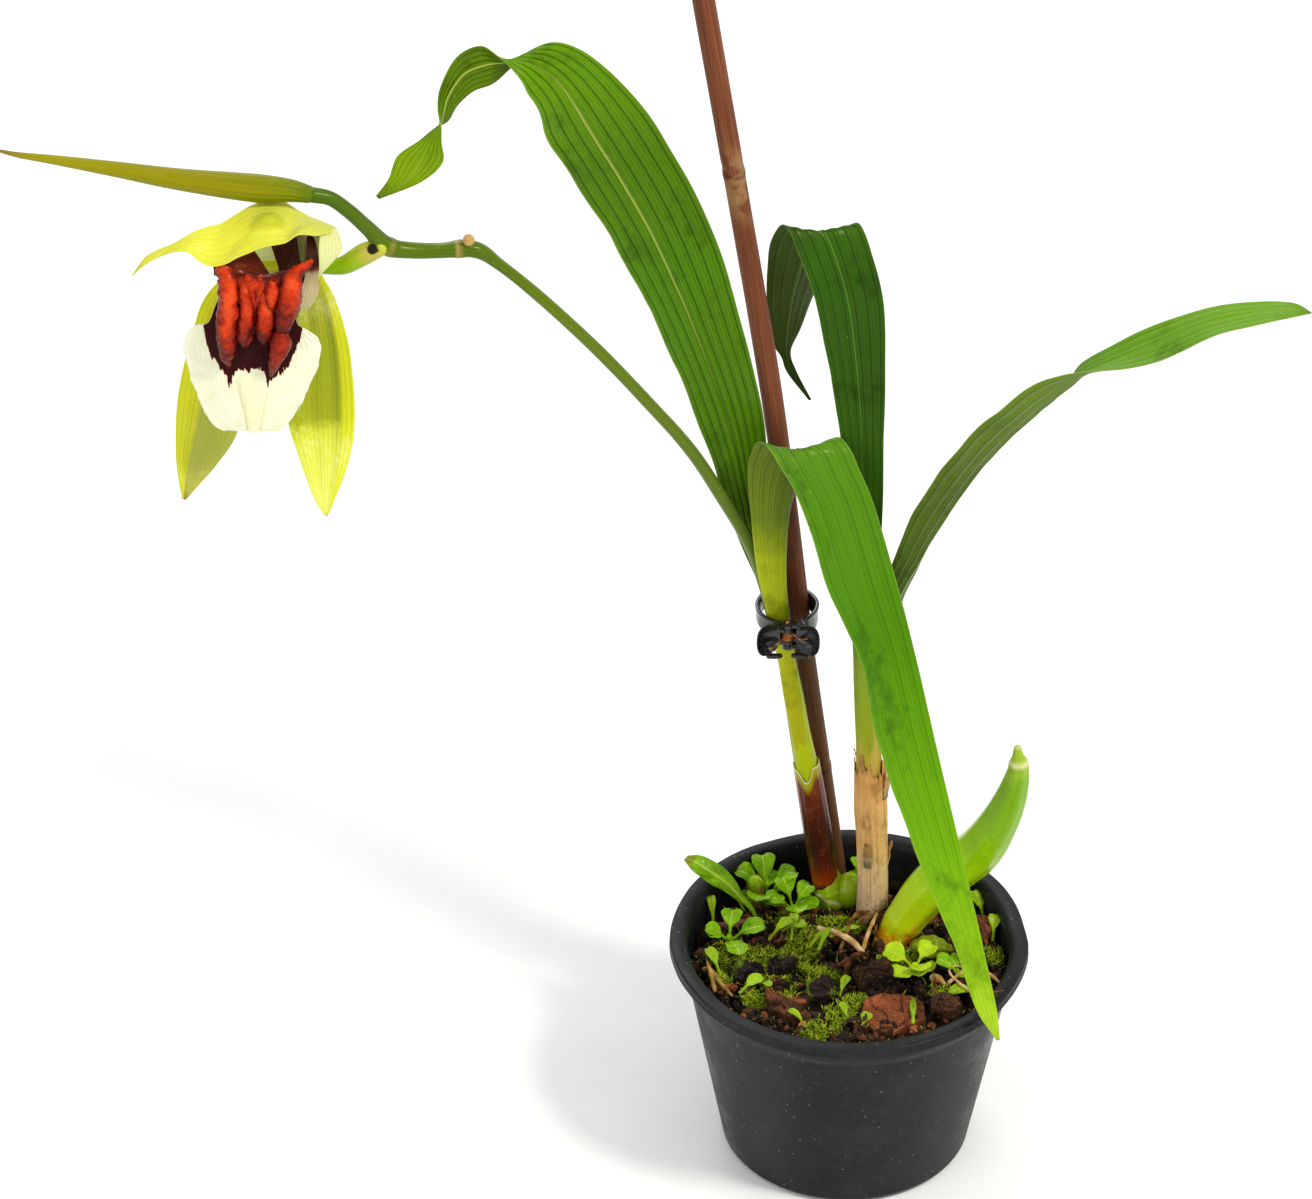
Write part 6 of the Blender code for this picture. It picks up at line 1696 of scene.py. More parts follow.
def mixGround(x, y):
    # height of the mix and masks for its finish: bark chunks, each with its own level and lean,
    # cracks where two cells meet, finer crumbs on them, and soft mounds under moss; the dark mask
    # is painted shade in the cracks
    spot = np.stack((x, y), -1)
    bent = spot + 1.5 * np.stack((lattice(spot, 4.0, 1), lattice(spot, 4.0, 2)), -1)
    gap, own, away = cells(bent, mix["chunk"], 3)
    crumbGap, crumb, _ = cells(bent, mix["crumb"], 8)
    moss = mossShare(spot)
    lean = away[..., 0] * (own * 7 % 1 - 0.5) + away[..., 1] * (own * 13 % 1 - 0.5)
    chunk = 2.4 * (own - 0.5) + 0.45 * lean + 0.5 * smooth(gap, 0.0, 0.5)
    fine = 1.1 * (crumb - 0.5) + 0.4 * smooth(crumbGap, 0.0, 0.4) + 0.3 * lattice(spot, 1.1, 4)
    crack = 3.4 * smooth(gap, 0.2, 0.0) + 1.1 * smooth(crumbGap, 0.24, 0.0)
    soft = 0.9 + 0.8 * lattice(spot, 6.0, 5) + 0.45 * lattice(spot, 1.7, 6) + 0.3 * lattice(spot, 0.8, 9)
    height = mixLevel(y) + (1 - 0.8 * moss) * (chunk + fine - crack) + moss * soft
    # painted shade: near black in the cracks between chunks and crumbs, less under moss
    dark = np.maximum(smooth(gap, 0.26, 0.02), 0.7 * smooth(crumbGap, 0.3, 0.05)) * (1 - 0.75 * moss)
    return height, dark, moss, own * 0.7 + crumb * 0.3


def barkMaterial(name, roughness):
    # bark from black to red by the tone attribute, with a grain of layers, dust, green growth and painted
    # shade in the cracks
    finish, sockets, here, _ = newMaterial(name, roughness)
    shade = mottled(here, 130.0, 1.5)
    layers = noiseNode(stretched(here, (1.0, 1.0, 5.0)), 330.0, 5.0, 0.62, 0.6)
    level = nudged(shade, 0.3, attribute("tone"))
    colour = ramp(level, [(0.0, "17110d"), (0.2, "2c2018"), (0.4, "543722"), (0.6, "7c4428"),
                          (0.8, "98502f"), (1.0, "bd7448")])
    colour = painted(colour, ranged(layers, 0.52, 0.7, 0.0, 0.5), "b07c50", "SOFT_LIGHT")
    colour = painted(colour, ranged(layers, 0.46, 0.34, 0.0, 0.6), "1a0f0a")
    fleck = speckled(here, 900.0, 0.3, 0.25)
    colour = painted(colour, times(fleck, 0.35), "c59a70")
    # painted shade in the cracks, from the dark attribute
    colour = painted(colour, attribute("dark"), "0b0705")
    green = noiseNode(here, 900.0, 5.0, 0.65)
    mossColour = ramp(green, [(0.3, "243202"), (0.45, "485c02"), (0.58, "6c8008"), (0.75, "a4b024")])
    spread = nudged(shade, 0.7, attribute("moss"))
    colour = mixed(ranged(spread, 0.35, 0.6), colour, mossColour)
    colourTo(sockets, colour)
    bumped(sockets, sums("ADD", layers, green), 0.0011)
    return finish


def makeMix():
    # a square grid laid on the disc (each side bowed to the rim), a wall and a floor below it;
    # where a crack falls deep, the pot's tapering wall pushes it inwards
    steps, reach = mix["steps"], mixReach(mix["gap"])
    u, w = np.meshgrid(np.linspace(-1, 1, steps + 1), np.linspace(-1, 1, steps + 1))
    x = u * np.sqrt(1 - w * w / 2) * reach
    y = w * np.sqrt(1 - u * u / 2) * reach
    height, dark, moss, own = mixGround(x, y)
    height = height - 1.2 * smooth(np.hypot(x, y) / reach, 0.96, 1.0)
    inward = np.minimum(1, (innerRadius(height) - 0.5) / np.maximum(np.hypot(x, y), 1))
    top = np.stack((x * inward, y * inward, height), -1).reshape(-1, 3)
    faces, uv = gridFaces(steps, steps)
    side = steps + 1
    ring = np.concatenate((np.arange(side), np.arange(1, side) * side + steps,
                           steps * side + np.arange(steps)[::-1], np.arange(1, steps)[::-1] * side))
    outwards = unit(top[ring, :2])
    points, parts = [top], [(faces, uv)]
    count, last = len(top), ring
    for z in (64.0, 40.0, 10.0, 4.6, 1.9):
        radius = innerRadius(z) - (mix["gap"] if z > 2 else 4.0)
        points.append(np.column_stack((outwards * radius, np.full(len(ring), z))))
        now = count + np.arange(len(ring))
        wall = np.stack((last, now, np.roll(now, -1), np.roll(last, -1)), -1)
        parts.append((wall, np.zeros((len(ring), 4, 2))))
        count, last = count + len(ring), now
    points.append(np.array([[0, 0, 1.9]]))
    fan = np.stack((np.roll(last, -1), last, np.full(len(last), count)), -1)
    parts.append((fan, np.zeros((len(last), 3, 2))))
    extra = count + 1 - len(top)
    # the wall and floor below the mix's top get painted shade as well (dark 0.4)
    values = [("dark", np.concatenate((dark.ravel(), np.full(extra, 0.4)))),
              ("moss", np.concatenate((moss.ravel(), np.zeros(extra)))),
              ("tone", np.concatenate((own.ravel() * 0.45, np.full(extra, 0.2))))]
    return np.vstack(points) * mm, parts, values


def chipSurface(place, size, turn, lean, tone, moss, seed):
    # a flake: its outline is a polygon of seven random sides with torn edges; the top is cut in
    # terraces of layers, with cracks; rings run from the middle of the top round to the underside
    draw = np.random.default_rng(seed)
    sides, rings = 72, 26
    angle = np.arange(sides) * tau / sides
    turns = np.arange(7) * tau / 7 + draw.uniform(-0.35, 0.35, 7)
    far = draw.uniform(0.72, 1.0, 7)
    reach = np.min(far[:, None] / np.maximum(np.cos(angle[None] - turns[:, None]), 0.2), axis=0)
    ray = np.stack((np.cos(angle), np.sin(angle)), -1)
    torn = 1 + 0.06 * lattice(ray * 3, 1.0, seed) + 0.035 * lattice(ray * 9, 1.0, seed)
    reach = np.minimum(reach, 1.12) * torn
    share = np.concatenate((np.linspace(0.02, 0.97, rings), [1.0, 1.01, 0.96], np.linspace(0.85, 0.05, 6)))
    level = np.concatenate((np.full(rings, 1.0), [0.72, -0.2, -0.85], np.full(6, -1.0)))
    spot = share[:, None, None] * (reach[:, None] * ray * np.array(size[:2]) / 2)[None]
    relief = lattice(spot, 5.0, seed + 1) + 0.5 * lattice(spot, 2.0, seed + 2)
    step = np.floor(relief * 2.2) / 2.2
    crack = smooth(np.abs(lattice(spot * (1.0, 0.45), 3.4, seed + 3)), 0.09, 0.0)
    top = 0.32 * step + 0.12 * relief + 0.1 * lattice(spot, 0.9, seed + 5) - 0.35 * crack
    lift = np.where(level[:, None] > 0.9, top, 0.2 * lattice(spot + level[:, None, None], 1.5, seed + 6))
    z = size[2] / 2 * (level[:, None] + lift * np.minimum(1.0, size[2] / 5))
    grid = np.concatenate((spot, z[..., None]), -1)
    turned, tilted = math.radians(turn), math.radians(lean)
    about = np.array(((math.cos(turned), -math.sin(turned), 0), (math.sin(turned), math.cos(turned), 0),
                      (0, 0, 1)))
    back = np.array(((1, 0, 0), (0, math.cos(tilted), -math.sin(tilted)),
                     (0, math.sin(tilted), math.cos(tilted))))
    grid = grid @ about.T @ back.T
    grid = grid + (place[0], place[1], mixLevel(place[1]) + 0.4 + size[2] * 0.12)
    rows = len(share) - 1
    faces, uv = gridFaces(rows, sides, True, True)
    count, blank = len(share) * sides, np.zeros((sides, 3, 2))
    parts = [(faces, uv), (fan(0, sides, count), blank), (fan(rows, sides, count + 1)[:, ::-1], blank)]
    points = np.vstack((grid.reshape(-1, 3), grid[0].mean(axis=0)[None], grid[-1].mean(axis=0)[None]))
    shade = np.clip(tone + 0.1 * step + 0.1 * draw.uniform(-1, 1), 0, 1)
    growth = moss * smooth(lattice(spot, 3.0, seed + 8) + 0.9 * share[:, None], 0.1, 0.9)
    # painted shade in the cracks of the top, as the dark mask
    masks = {"dark": 0.75 * crack * (level[:, None] > 0.9), "moss": growth, "tone": shade}
    values = [(name, np.concatenate((mask.ravel(), mask[0, :1], mask[-1, :1])))
              for name, mask in masks.items()]
    return points * mm, parts, values


def fragments():
    # bark crumbs: three rings of seven points with poles, each stretched, turned and tilted
    draw = np.random.default_rng(11)
    count = mix["fragments"]
    x, y = scattered(draw, count, 2.2)
    height, _, moss, _ = mixGround(x, y)
    keep = (moss < 0.6) | (draw.random(count) < 0.25)
    x, y, height, moss = x[keep], y[keep], height[keep], moss[keep]
    count = len(x)
    around = np.arange(7) * tau / 7
    share, level = np.array((0.6, 1.0, 0.8)), np.array((-0.5, -0.05, 0.4))
    out = share[:, None] * (1 + 0.4 * draw.uniform(-1, 1, (count, 3, 7)))
    ring = np.stack((out * np.cos(around), out * np.sin(around),
                     level[:, None] + 0.12 * draw.uniform(-1, 1, (count, 3, 7))), -1).reshape(count, 21, 3)
    poles = np.broadcast_to(np.array(((0, 0, -0.6), (0, 0, 0.5))), (count, 2, 3))
    points = np.concatenate((ring, poles), axis=1)
    length = 0.8 + 1.9 * draw.random(count) ** 2
    points = points * np.stack((length, length * draw.uniform(0.4, 0.9, count),
                                draw.uniform(0.8, 2.0, count)), -1)[:, None]
    yaw, tilt = draw.uniform(0, tau, count)[:, None], draw.normal(0, 0.5, count)[:, None]
    a, b, c = points[..., 0], points[..., 1], points[..., 2]
    b, c = b * np.cos(tilt) - c * np.sin(tilt), b * np.sin(tilt) + c * np.cos(tilt)
    a, b = a * np.cos(yaw) - b * np.sin(yaw), a * np.sin(yaw) + b * np.cos(yaw)
    points = np.stack((a + x[:, None], b + y[:, None], c + height[:, None] + 0.4), -1)
    quads, _ = gridFaces(2, 7, True)
    j = np.arange(7)
    ends = np.concatenate((np.stack(((j + 1) % 7, j, np.full(7, 21)), -1),
                           np.stack((14 + j, 14 + (j + 1) % 7, np.full(7, 22)), -1)))
    parts = [copies(quads, count, 23), copies(ends, count, 23)]
    tone = np.clip(draw.beta(1.4, 2.6, count) * 1.05, 0, 1)
    values = [("dark", np.zeros(count * 23)), ("moss", np.repeat(moss * 0.5, 23)),
              ("tone", np.repeat(tone, 23))]
    return points.reshape(-1, 3) * mm, parts, values


def makeMoss():
    # sprigs of moss: thin three-sided spears that lean and bend, thick where the patches are
    draw = np.random.default_rng(5)
    count = mix["sprigs"] * 4
    x, y = scattered(draw, count, 1.6)
    share = mossShare(np.stack((x, y), -1))
    keep = np.flatnonzero(draw.random(count) < np.maximum(share, 0.025))[:mix["sprigs"]]
    x, y = x[keep], y[keep]
    count = len(x)
    height = mixGround(x, y)[0]
    heading = draw.uniform(0, tau, count)
    lean = np.abs(draw.normal(0.5, 0.3, count))
    out = np.stack((np.cos(heading), np.sin(heading), 0 * heading), -1)
    up = unit(np.array((0, 0, 1.0)) + out * lean[:, None])
    span = draw.uniform(0.9, 2.6, count)[:, None]
    base = np.stack((x, y, height - 0.25), -1)
    wide = draw.uniform(0.16, 0.3, count)[:, None, None]
    corner = np.arange(3) * tau / 3
    side = unit(np.cross(up, (0.3, 0.2, 1.0)))
    other = np.cross(up, side)
    ring = side[:, None] * np.cos(corner)[None, :, None] + other[:, None] * np.sin(corner)[None, :, None]
    bend = out * 0.35 * span
    points = np.concatenate((base[:, None] + ring * wide * 0.8,
                             (base + up * span * 0.5 + bend * 0.25)[:, None] + ring * wide,
                             (base + up * span + bend)[:, None]), axis=1)
    quads, _ = gridFaces(1, 3, True)
    tris = np.array(((3, 4, 6), (4, 5, 6), (5, 3, 6), (2, 1, 0)))
    parts = [copies(quads, count, 7), copies(tris, count, 7)]
    finish, sockets, here, _ = newMaterial("moss_green", 0.6)
    level = sums("ADD", attribute("fresh"), noiseNode(here, 160.0, 3.0))
    colourTo(sockets, ramp(sums("SUBTRACT", level, 0.5),
                           [(0.0, "2c4004"), (0.3, "4e6602"), (0.6, "7c9008"), (0.9, "b8c42c")]))
    bumped(sockets, noiseNode(here, 3000.0), 0.0001)
    tip = np.array((-0.3, -0.3, -0.3, 0, 0, 0, 0.25))
    fresh = np.clip(draw.uniform(0.25, 0.95, count)[:, None] + tip, 0, 1)
    addPiece("moss", (points.reshape(-1, 3) * mm, parts, [("fresh", fresh.ravel())]), finish,
             ["potting_mix"])


ground = barkMaterial("bark_mix", 0.78)
chipFinish = barkMaterial("bark", 0.62)
addPiece("mix_ground", makeMix(), ground, ["potting_mix"])
addPiece("mix_crumbs", fragments(), chipFinish, ["potting_mix"], sharp=40)
for seed, (name, look) in enumerate(chips.items()):
    addPiece(name + "_flake", chipSurface(*look, seed + 20), chipFinish, [name], sharp=42)
makeMoss()
print("mix done")


# Small plants in the mix

rosettes = {    # place, then heading, reach, rise and half width of each leaf
    "weed_left": ((-27, 36), ((20, 8, 11, 2.6), (100, 7, 14, 2.5), (165, 8, 12, 2.8), (250, 8, 9, 2.7))),
    "weed_middle": ((-18, 30), ((40, 6, 8, 2.2), (120, 6, 10, 2.4), (200, 7, 8, 2.5), (280, 6, 6, 2.3))),
    "weed_front": ((-40, 11), ((10, 9, 6, 2.6), (170, 6, 5, 2.2), (80, 6, 8, 2.2))),
    "weed_back": ((7, 43.5), ((75, 5, 13, 2.2), (130, 4, 12, 2.1), (340, 5, 10, 2.1))),
    "weed_glossy": ((22, -6), ((160, 8, 6, 3.1), (40, 6, 7, 2.4), (285, 6, 6, 2.3))),
    "weed_right": ((37, -11), ((60, 6, 8, 2.3), (170, 6, 7, 2.2), (300, 5, 5, 2.2)))}
seedling = {
    "middle": ((-30.4, 24.5, 64), (-31.6, 25, 72), (-36.2, 26.2, 77.6), (-40.8, 27.2, 82.8),
               (-46, 28.2, 86.8), (-51.2, 29.2, 90.2), (-54.6, 29.6, 91.6)),
    "half": (0.7, 0.8, 1.3, 3.0, 3.6, 2.8, 1.0), "across": (0.65, 0.43, 0.63)}


def weedMaterial(name, low, high, gloss):
    # fresh leaf: paler midrib and side veins, translucent edges
    finish, sockets, here, own = newMaterial(
        name, gloss, Specular_Tint=sap, Coat_Weight=0.15, Coat_Roughness=0.15, Subsurface_Weight=0.15,
        Subsurface_Scale=0.0015, Subsurface_Radius=(0.5, 1.0, 0.1))
    across = axis(own, 0)
    length = axis(own, 1)
    shade = mottled(here, 160.0, 1.1)
    colour = ramp(shade, [(0.0, low), (1.0, high)])
    middle = awayFrom(across, 0.5)
    colour = painted(colour, ranged(middle, 0.06, 0.01, 0.0, 0.6), "c6d84e")
    slant = sums("MULTIPLY_ADD", middle, -3.0, times(length, 9.0))
    vein = sums("ABSOLUTE", sums("SUBTRACT", sums("FRACT", slant), 0.5))
    colour = painted(colour, ranged(vein, 0.09, 0.0, 0.0, 0.3), "b2d024")
    colour = painted(colour, ranged(length, 0.3, 0.0, 0.0, 0.5), "c0cc3a")
    colour = painted(colour, attribute("brown"), "7a4a28")
    colourTo(sockets, colour)
    bumped(sockets, sums("ADD", vein, shade), 0.0002)
    return finish


def weedLeaf(foot, heading, reach, rise, half, seed):
    # a stalk that widens to a spoon: six stations out from the foot, cupped, with waved edges
    out = np.array((math.cos(math.radians(heading)), math.sin(math.radians(heading)), 0))
    side = np.array((-out[1], out[0], 0))
    middles = [np.array(foot) + out * reach * go + (0, 0, rise * up)
               for go, up in ((0, 0), (0.35, 0.5), (0.5, 0.75), (0.72, 0.96), (0.98, 1.0), (1.14, 0.96))]
    stations = ribbon(middles, side, (0.5, 0.6, 0.85 * half, 1.25 * half, 1.1 * half, 0.45 * half))

    def shape(t, v, place, chord):
        leaf = smooth(v, 0.4, 0.62)
        return leaf * (-0.45 * half * (1 - t ** 2) * 0.5 + 0.1 * np.sin(v * 22 + seed + 2 * t) * np.abs(t)
                       + 0.2 * lattice(place, 2.0, 3) - 0.2 * np.exp(-(t / 0.09) ** 2))

    def scallop(t, v):
        return 0.03 * np.sin(v * 24 + seed * 1.7 + t) * smooth(v, 0.45, 0.6) * smooth(v, 1.0, 0.9)

    brown = {"brown": lambda t, v, place, chord: 0.25 * smooth(v, 0.95, 1.0) * np.ones_like(t)}
    return blade(stations, 44, 18, ((0, 0.1), (0.5, 0.05), (1, 0.02)), ((0, 0.55), (0.4, 0.35), (1, 0.22)),
                 0.1, shape, brown, scallop)


def makeWeeds():
    plain = weedMaterial("weed_green", "4c7e02", "8cc006", 0.36)
    bright = weedMaterial("weed_bright", "8cb40e", "bfdc24", 0.22)
    for number, (name, (place, leaves)) in enumerate(rosettes.items()):
        draw = np.random.default_rng(number + 3)
        level = mixLevel(place[1])
        parts = [tube(((*place, level - 4), (*place, level), (*place, level + 3)), 1.2, 14, 18,
                      values={"upper": steady(0), "brown": steady(0)})]
        large = [(heading, reach * 1.2, rise, half * 1.3) for heading, reach, rise, half in leaves]
        small = [(draw.uniform(0, 360), reach * 1.1, rise * 0.5, half * 1.1)
                 for _, reach, rise, half in leaves]
        for i, spec in enumerate([*large, *small]):
            foot = (place[0], place[1], level + 1.5 + 0.1 * i)
            parts.append(weedLeaf(foot, *spec, number * 5 + i))
        addPiece(name + "_leaves", joined(parts), bright if name == "weed_glossy" else plain,
                 [name])
    stations = ribbon(seedling["middle"], unit(np.array(seedling["across"])), seedling["half"])

    def shape(t, v, place, chord):
        wave = 0.35 * np.sin(v * 30 + 3 * t) * np.abs(t) ** 2
        return smooth(v, 0.3, 0.5) * (wave - 0.35 * np.exp(-(t / 0.1) ** 2) + 0.3 * lattice(place, 4.0, 3))

    brown = {"brown": lambda t, v, place, chord: 0.5 * smooth(v + 0.1 * lattice(place, 2.0, 4), 0.93, 0.98)}
    surface = blade(stations, 110, 30, ((0, 0), (0.4, 0.1), (0.8, 0.12), (1, 0.05)),
                    ((0, 0.7), (0.4, 0.5), (1, 0.3)), 0.12, shape, brown)
    addPiece("seedling_leaf", surface, weedMaterial("seedling_green", "5a8c08", "88bc1c", 0.3),
             ["seedling"])


makeWeeds()
print("weeds done")


# Litter on the mix: torn fibres, roots and a tendril

litter = {    # radius, shade from brown to cream, then x, y and height above the mix
    "pale_fibre": (1.0, 0.85, ((-9.6, 16.5, 3.4), (-5, 11.5, 5.2), (0.5, 6.5, 5.4), (4.4, 2.6, 3.4),
                               (5.6, 0.8, 1.5))),
    "long_fibre": (0.75, 0.7, ((4.2, 2.4, 2.2), (5.6, 5.5, 4.4), (7.4, 11, 6.8), (9.6, 18, 7.6),
                               (10.2, 23, 5.5))),
    "brown_fibre": (0.7, 0.25, ((-2.6, 5.2, 2.4), (-0.8, 8.4, 5.0), (0.6, 13, 7.6), (3.6, 18.5, 8.6),
                                (7.4, 23, 6.2))),
    "hooked_stalk": (0.95, 0.12, ((-1.2, -13.4, 1.4), (-0.8, -8, 3.2), (0.8, -3.4, 4.4), (4.0, -0.6, 4.2),
                                  (6.6, 1.2, 2.2))),
    "pale_stub": (1.35, 0.75, ((27.6, -12.2, 2.2), (29.6, -14.6, 3.4), (31.6, -16.4, 2.6))),
    "root": (0.85, 0.8, ((33, -15.4, 2.2), (37, -12.6, 3.8), (41.5, -11.4, 4.2), (46.4, -12.2, 3.6),
                         (50, -15, 2.2))),
    "tendril": (0.42, 0.9, ((43.4, -24.6, 2.0), (38.6, -21.6, 4.2), (34.6, -17.4, 5.4), (33.2, -12.4, 5.6),
                            (35.6, -9.2, 5.0), (39.4, -10.2, 4.2), (41.2, -12.6, 3.2))),
    "rim_rootlet": (0.45, 0.35, ((45.6, -19.4, 2.4), (46.4, -24.6, 6.0), (44.4, -31.4, 9.2),
                                 (42.2, -36.6, 8.4), (39.6, -40.2, 8.0))),
    "rim_twig": (0.4, 0.3, ((44.4, -31.4, 9.2), (47.6, -31.2, 9.4), (50.2, -29.4, 8.8))),
    "left_litter": (1.0, 0.5, ((-48.6, -6.4, 1.6), (-46.2, -10.4, 3.6), (-43.6, -16.6, 3.4),
                               (-39.4, -22.4, 1.6))),
    "left_stalk": (0.9, 0.6, ((-45, -18, 0.6), (-46.4, -13.4, 4.6), (-47.6, -9.2, 6.8))),
    "right_stalk": (0.6, 0.2, ((27.4, -21.6, 0.8), (28.2, -18.4, 4.2), (27.8, -15.6, 6.6)))}
star = {"place": (10, 20), "arms": 9, "radius": 0.55}    # a tuft of fibres that splay from one place
for i in range(star["arms"]):
    turn = math.radians(20 + 41 * i)
    reach = 6.5 + 3.1 * math.sin(i * 2.3)
    spots = ((2, 3.0), (0.5 * reach, 5.6), (0.8 * reach, 5.2 + math.cos(i)), (reach, 2.6 + 1.5 * math.cos(i)))
    litter["star_%d" % i] = (star["radius"], 0.1 + 0.09 * (i % 5), [
        (star["place"][0] + away * math.cos(turn), star["place"][1] + away * math.sin(turn), lift)
        for away, lift in spots])
strips = (    # green curled blades: place, heading, reach, rise and half width
    ((20, -43.5, 6.4), 88, 12, -0.5, 0.85), ((-43, -9, 2.2), 120, 8, 6, 1.6),
    ((-37, -20, 2.4), 30, 8, 4, 2.0), ((-45, 20, 2.0), 100, 7, 9, 1.2), ((-14, 6, 2.4), 35, 8, 5, 0.8),
    ((-11, 2, 2.2), 60, 9, 6, 0.8), ((-19, 12, 2.6), 80, 7, 6, 1.3), ((-6, 14, 3.0), 10, 9, 3, 0.9),
    ((-22, 18, 2.6), 330, 8, 6, 1.8), ((-27, 12, 2.4), 20, 8, 7, 1.7), ((-4, -22, 1.8), 60, 6, 5, 1.2),
    ((-1, -36, 1.2), 110, 6, 4, 1.0), ((47, 24, 2.2), 120, 7, 9, 2.4), ((49, 12, 2.2), 80, 6, 7, 1.8),
    ((44, -18, 1.8), 200, 8, 3, 1.6), ((30, -23, 2.0), 20, 8, 3, 2.0), ((-15, -38, 1.6), 150, 6, 4, 1.1),
    ((3, -40, 1.6), 60, 5, 3, 1.6), ((-30, -15, 3), 300, 6, 4, 1.2), ((12, 2, 2.6), 250, 6, 4, 0.8),
    ((-34, 30, 2), 150, 7, 8, 1.8))


def makeLitter():
    # each line is a rough tube that thins to its ends; green strips are narrow blades
    finish, sockets, _, own = newMaterial("litter", 0.66)
    streak = fibred(own, 14.0, 5.0)
    level = nudged(streak, 0.4, attribute("tone"))
    colour = ramp(level, [(0.0, "2c1a0e"), (0.25, "6e3c1c"), (0.5, "8f7a34"), (0.7, "b98a50"),
                          (1.0, "e0c08c")])
    colourTo(sockets, colour)
    bumped(sockets, streak, 0.0004)
    parts = []
    for seed, (radius, tone, line) in enumerate(litter.values()):
        points = [(x, y, mixLevel(y) + lift) for x, y, lift in line]
        thinning = along(((0, 0.8), (0.2, 1), (0.7, 0.9), (1, 0.4)), len(line))

        def shape(angle, v, s):
            spot = skin(angle, v, s / 2.5)
            return 1 + 0.28 * lattice(spot, 0.8, seed % 5) + 0.1 * lattice(spot, 0.3, 2)

        parts.append(tube(points, radius * thinning, 60, 14, side=(0.3, 1, 0.2), shape=shape, steps=3,
                          values={"tone": lambda a, v, s: tone + 0.12 * np.sin(s) + 0 * a}))
    addPiece("litter", joined(parts), finish, ["potting_mix"])

    blades = []
    for seed, ((x, y, lift), heading, reach, rise, half) in enumerate(strips):
        foot = (x, y, mixLevel(y) + lift - 1.5)
        blades.append(weedLeaf(foot, heading, reach, rise, half, seed))
    stub = tube(((-30.3, 34.6, 64), (-30.5, 34.4, 70), (-31, 34, 77.5)), (2.2, 2.5, 2.8), 40, 26,
                shape=lambda a, v, s: 1 + 0.06 * np.cos(6 * a) + 0.03 * np.sin(s * 2 + a),
                values={"upper": steady(0), "brown": lambda a, v, s: 0.75 * smooth(v, 0.92, 0.75) + 0 * a})
    addPiece("sprouts", joined([*blades, stub]), weedMaterial("sprout_green", "688c04", "a0c01c", 0.4),
             ["potting_mix"])


makeLitter()
print("litter done")


# Clip: two jaws on a pin, with a rusty spring between their cups

clip = {"centre": (-21.4, 38.2, 187.5), "inner": 9.9, "outer": 11.7, "band": 3.0, "pinBack": 13.5,
        "pinRadius": 0.8, "pinHalf": 5.2, "lug": 1.9, "lugsRight": (3.3, 4.8), "lugsLeft": (1.6, 3.0),
        "arc": {1: (-101, 88), -1: (-77, 88)}, "bandShare": (0.88, 0.94), "cup": (7.4, -2.2, 0.8),
        "cupWide": 4.7, "cupHigh": 5.6, "cupTurn": 26, "boxPower": 0.45, "wire": 0.3, "coil": 1.55,
        "turns": 4.5, "pitch": 0.64}


def capped(place):
    # closed surface from a grid of rings: both end rings are filled towards a pole, faces out
    rows, sides = place.shape[0] - 1, place.shape[1]
    faces, uv = gridFaces(rows, sides, True)
    points = np.vstack((place.reshape(-1, 3), place[0].mean(axis=0)[None], place[-1].mean(axis=0)[None]))
    first, last = fan(0, sides, len(points) - 2)[:, (1, 0, 2)], fan(rows, sides, len(points) - 1)
    parts = [(faces, uv), (first, np.zeros((sides, 3, 2))), (last, np.ones((sides, 3, 2)))]
    return points * mm, facingOut(parts, place), []


def power(x, p):
    return np.sign(x) * np.abs(x) ** p


def pebble(centre, half):
    # rounded box: a ball whose sines and cosines are raised to a power under one
    p = clip["boxPower"]
    up = np.linspace(-math.pi / 2 + 0.06, math.pi / 2 - 0.06, 21)[:, None]
    turn = (np.arange(32) * tau / 32)[None]
    ring = power(np.cos(up), p)
    place = np.stack((ring * power(np.cos(turn), p), ring * power(np.sin(turn), p),
                      power(np.sin(up), p) + 0 * turn), -1)
    return capped(place * np.array(half) + np.array(centre))


def jawBand(side):
    # rounded wall carried round the half ring; it flares at its top, and is deeper at one cheek
    angle = np.radians(np.linspace(*clip["arc"][side], 80))[:, None]
    turn = (np.arange(32) * tau / 32)[None]
    wall = (clip["outer"] - clip["inner"]) / 2
    across, high = power(np.cos(turn), 0.5) * wall, power(np.sin(turn), 0.35)
    degrees = np.degrees(angle)
    cheek = (1.6 if side > 0 else 0.4) * smooth(degrees, -75, -45) * smooth(degrees, 30, -5)
    z = high * clip["band"] + np.where(high < 0, high * cheek, high * 0.45 * cheek)
    radius = clip["inner"] + wall + across + 0.5 * smooth(high, 0.3, 1.0) - 0.12 * smooth(-high, 0.5, 1.0)
    wide, deep = clip["bandShare"]
    return capped(np.stack((side * wide * radius * np.cos(angle), deep * radius * np.sin(angle),
                            z + 0 * radius), -1))


def jawCup(side):
    # finger cup: a bowl whose depth grows with the radius, its outer rim curled further over
    share = np.concatenate((np.linspace(0.05, 0.93, 12), [0.98, 1.0, 0.985], np.linspace(0.93, 0.05, 10)))
    layer = np.concatenate((np.zeros(12), [0.12, 0.5, 0.88], np.ones(10)))
    turn = (np.arange(48) * tau / 48)[None]
    share, layer = share[:, None], layer[:, None]
    lean = 1 + 0.35 * side * np.cos(turn) - 0.25 * np.sin(turn)
    depth = 2.7 * share ** 2.2 * lean - 0.95 * layer
    wide = clip["cupWide"] * share * power(np.cos(turn), 0.85)
    high = clip["cupHigh"] * share * power(np.sin(turn), 0.85) * (1 + 0.08 * side * np.cos(turn))
    lean = math.radians(clip["cupTurn"])
    facing = np.array((-side * math.sin(lean), -math.cos(lean), 0.12))
    level = np.array((math.cos(lean), -side * math.sin(lean), 0))
    middle = np.array((side * clip["cup"][0], -clip["pinBack"] + clip["cup"][1], clip["cup"][2]))
    return capped(wide[..., None] * level + high[..., None] * np.array((0, 0, 1))
                  + depth[..., None] * facing + middle)


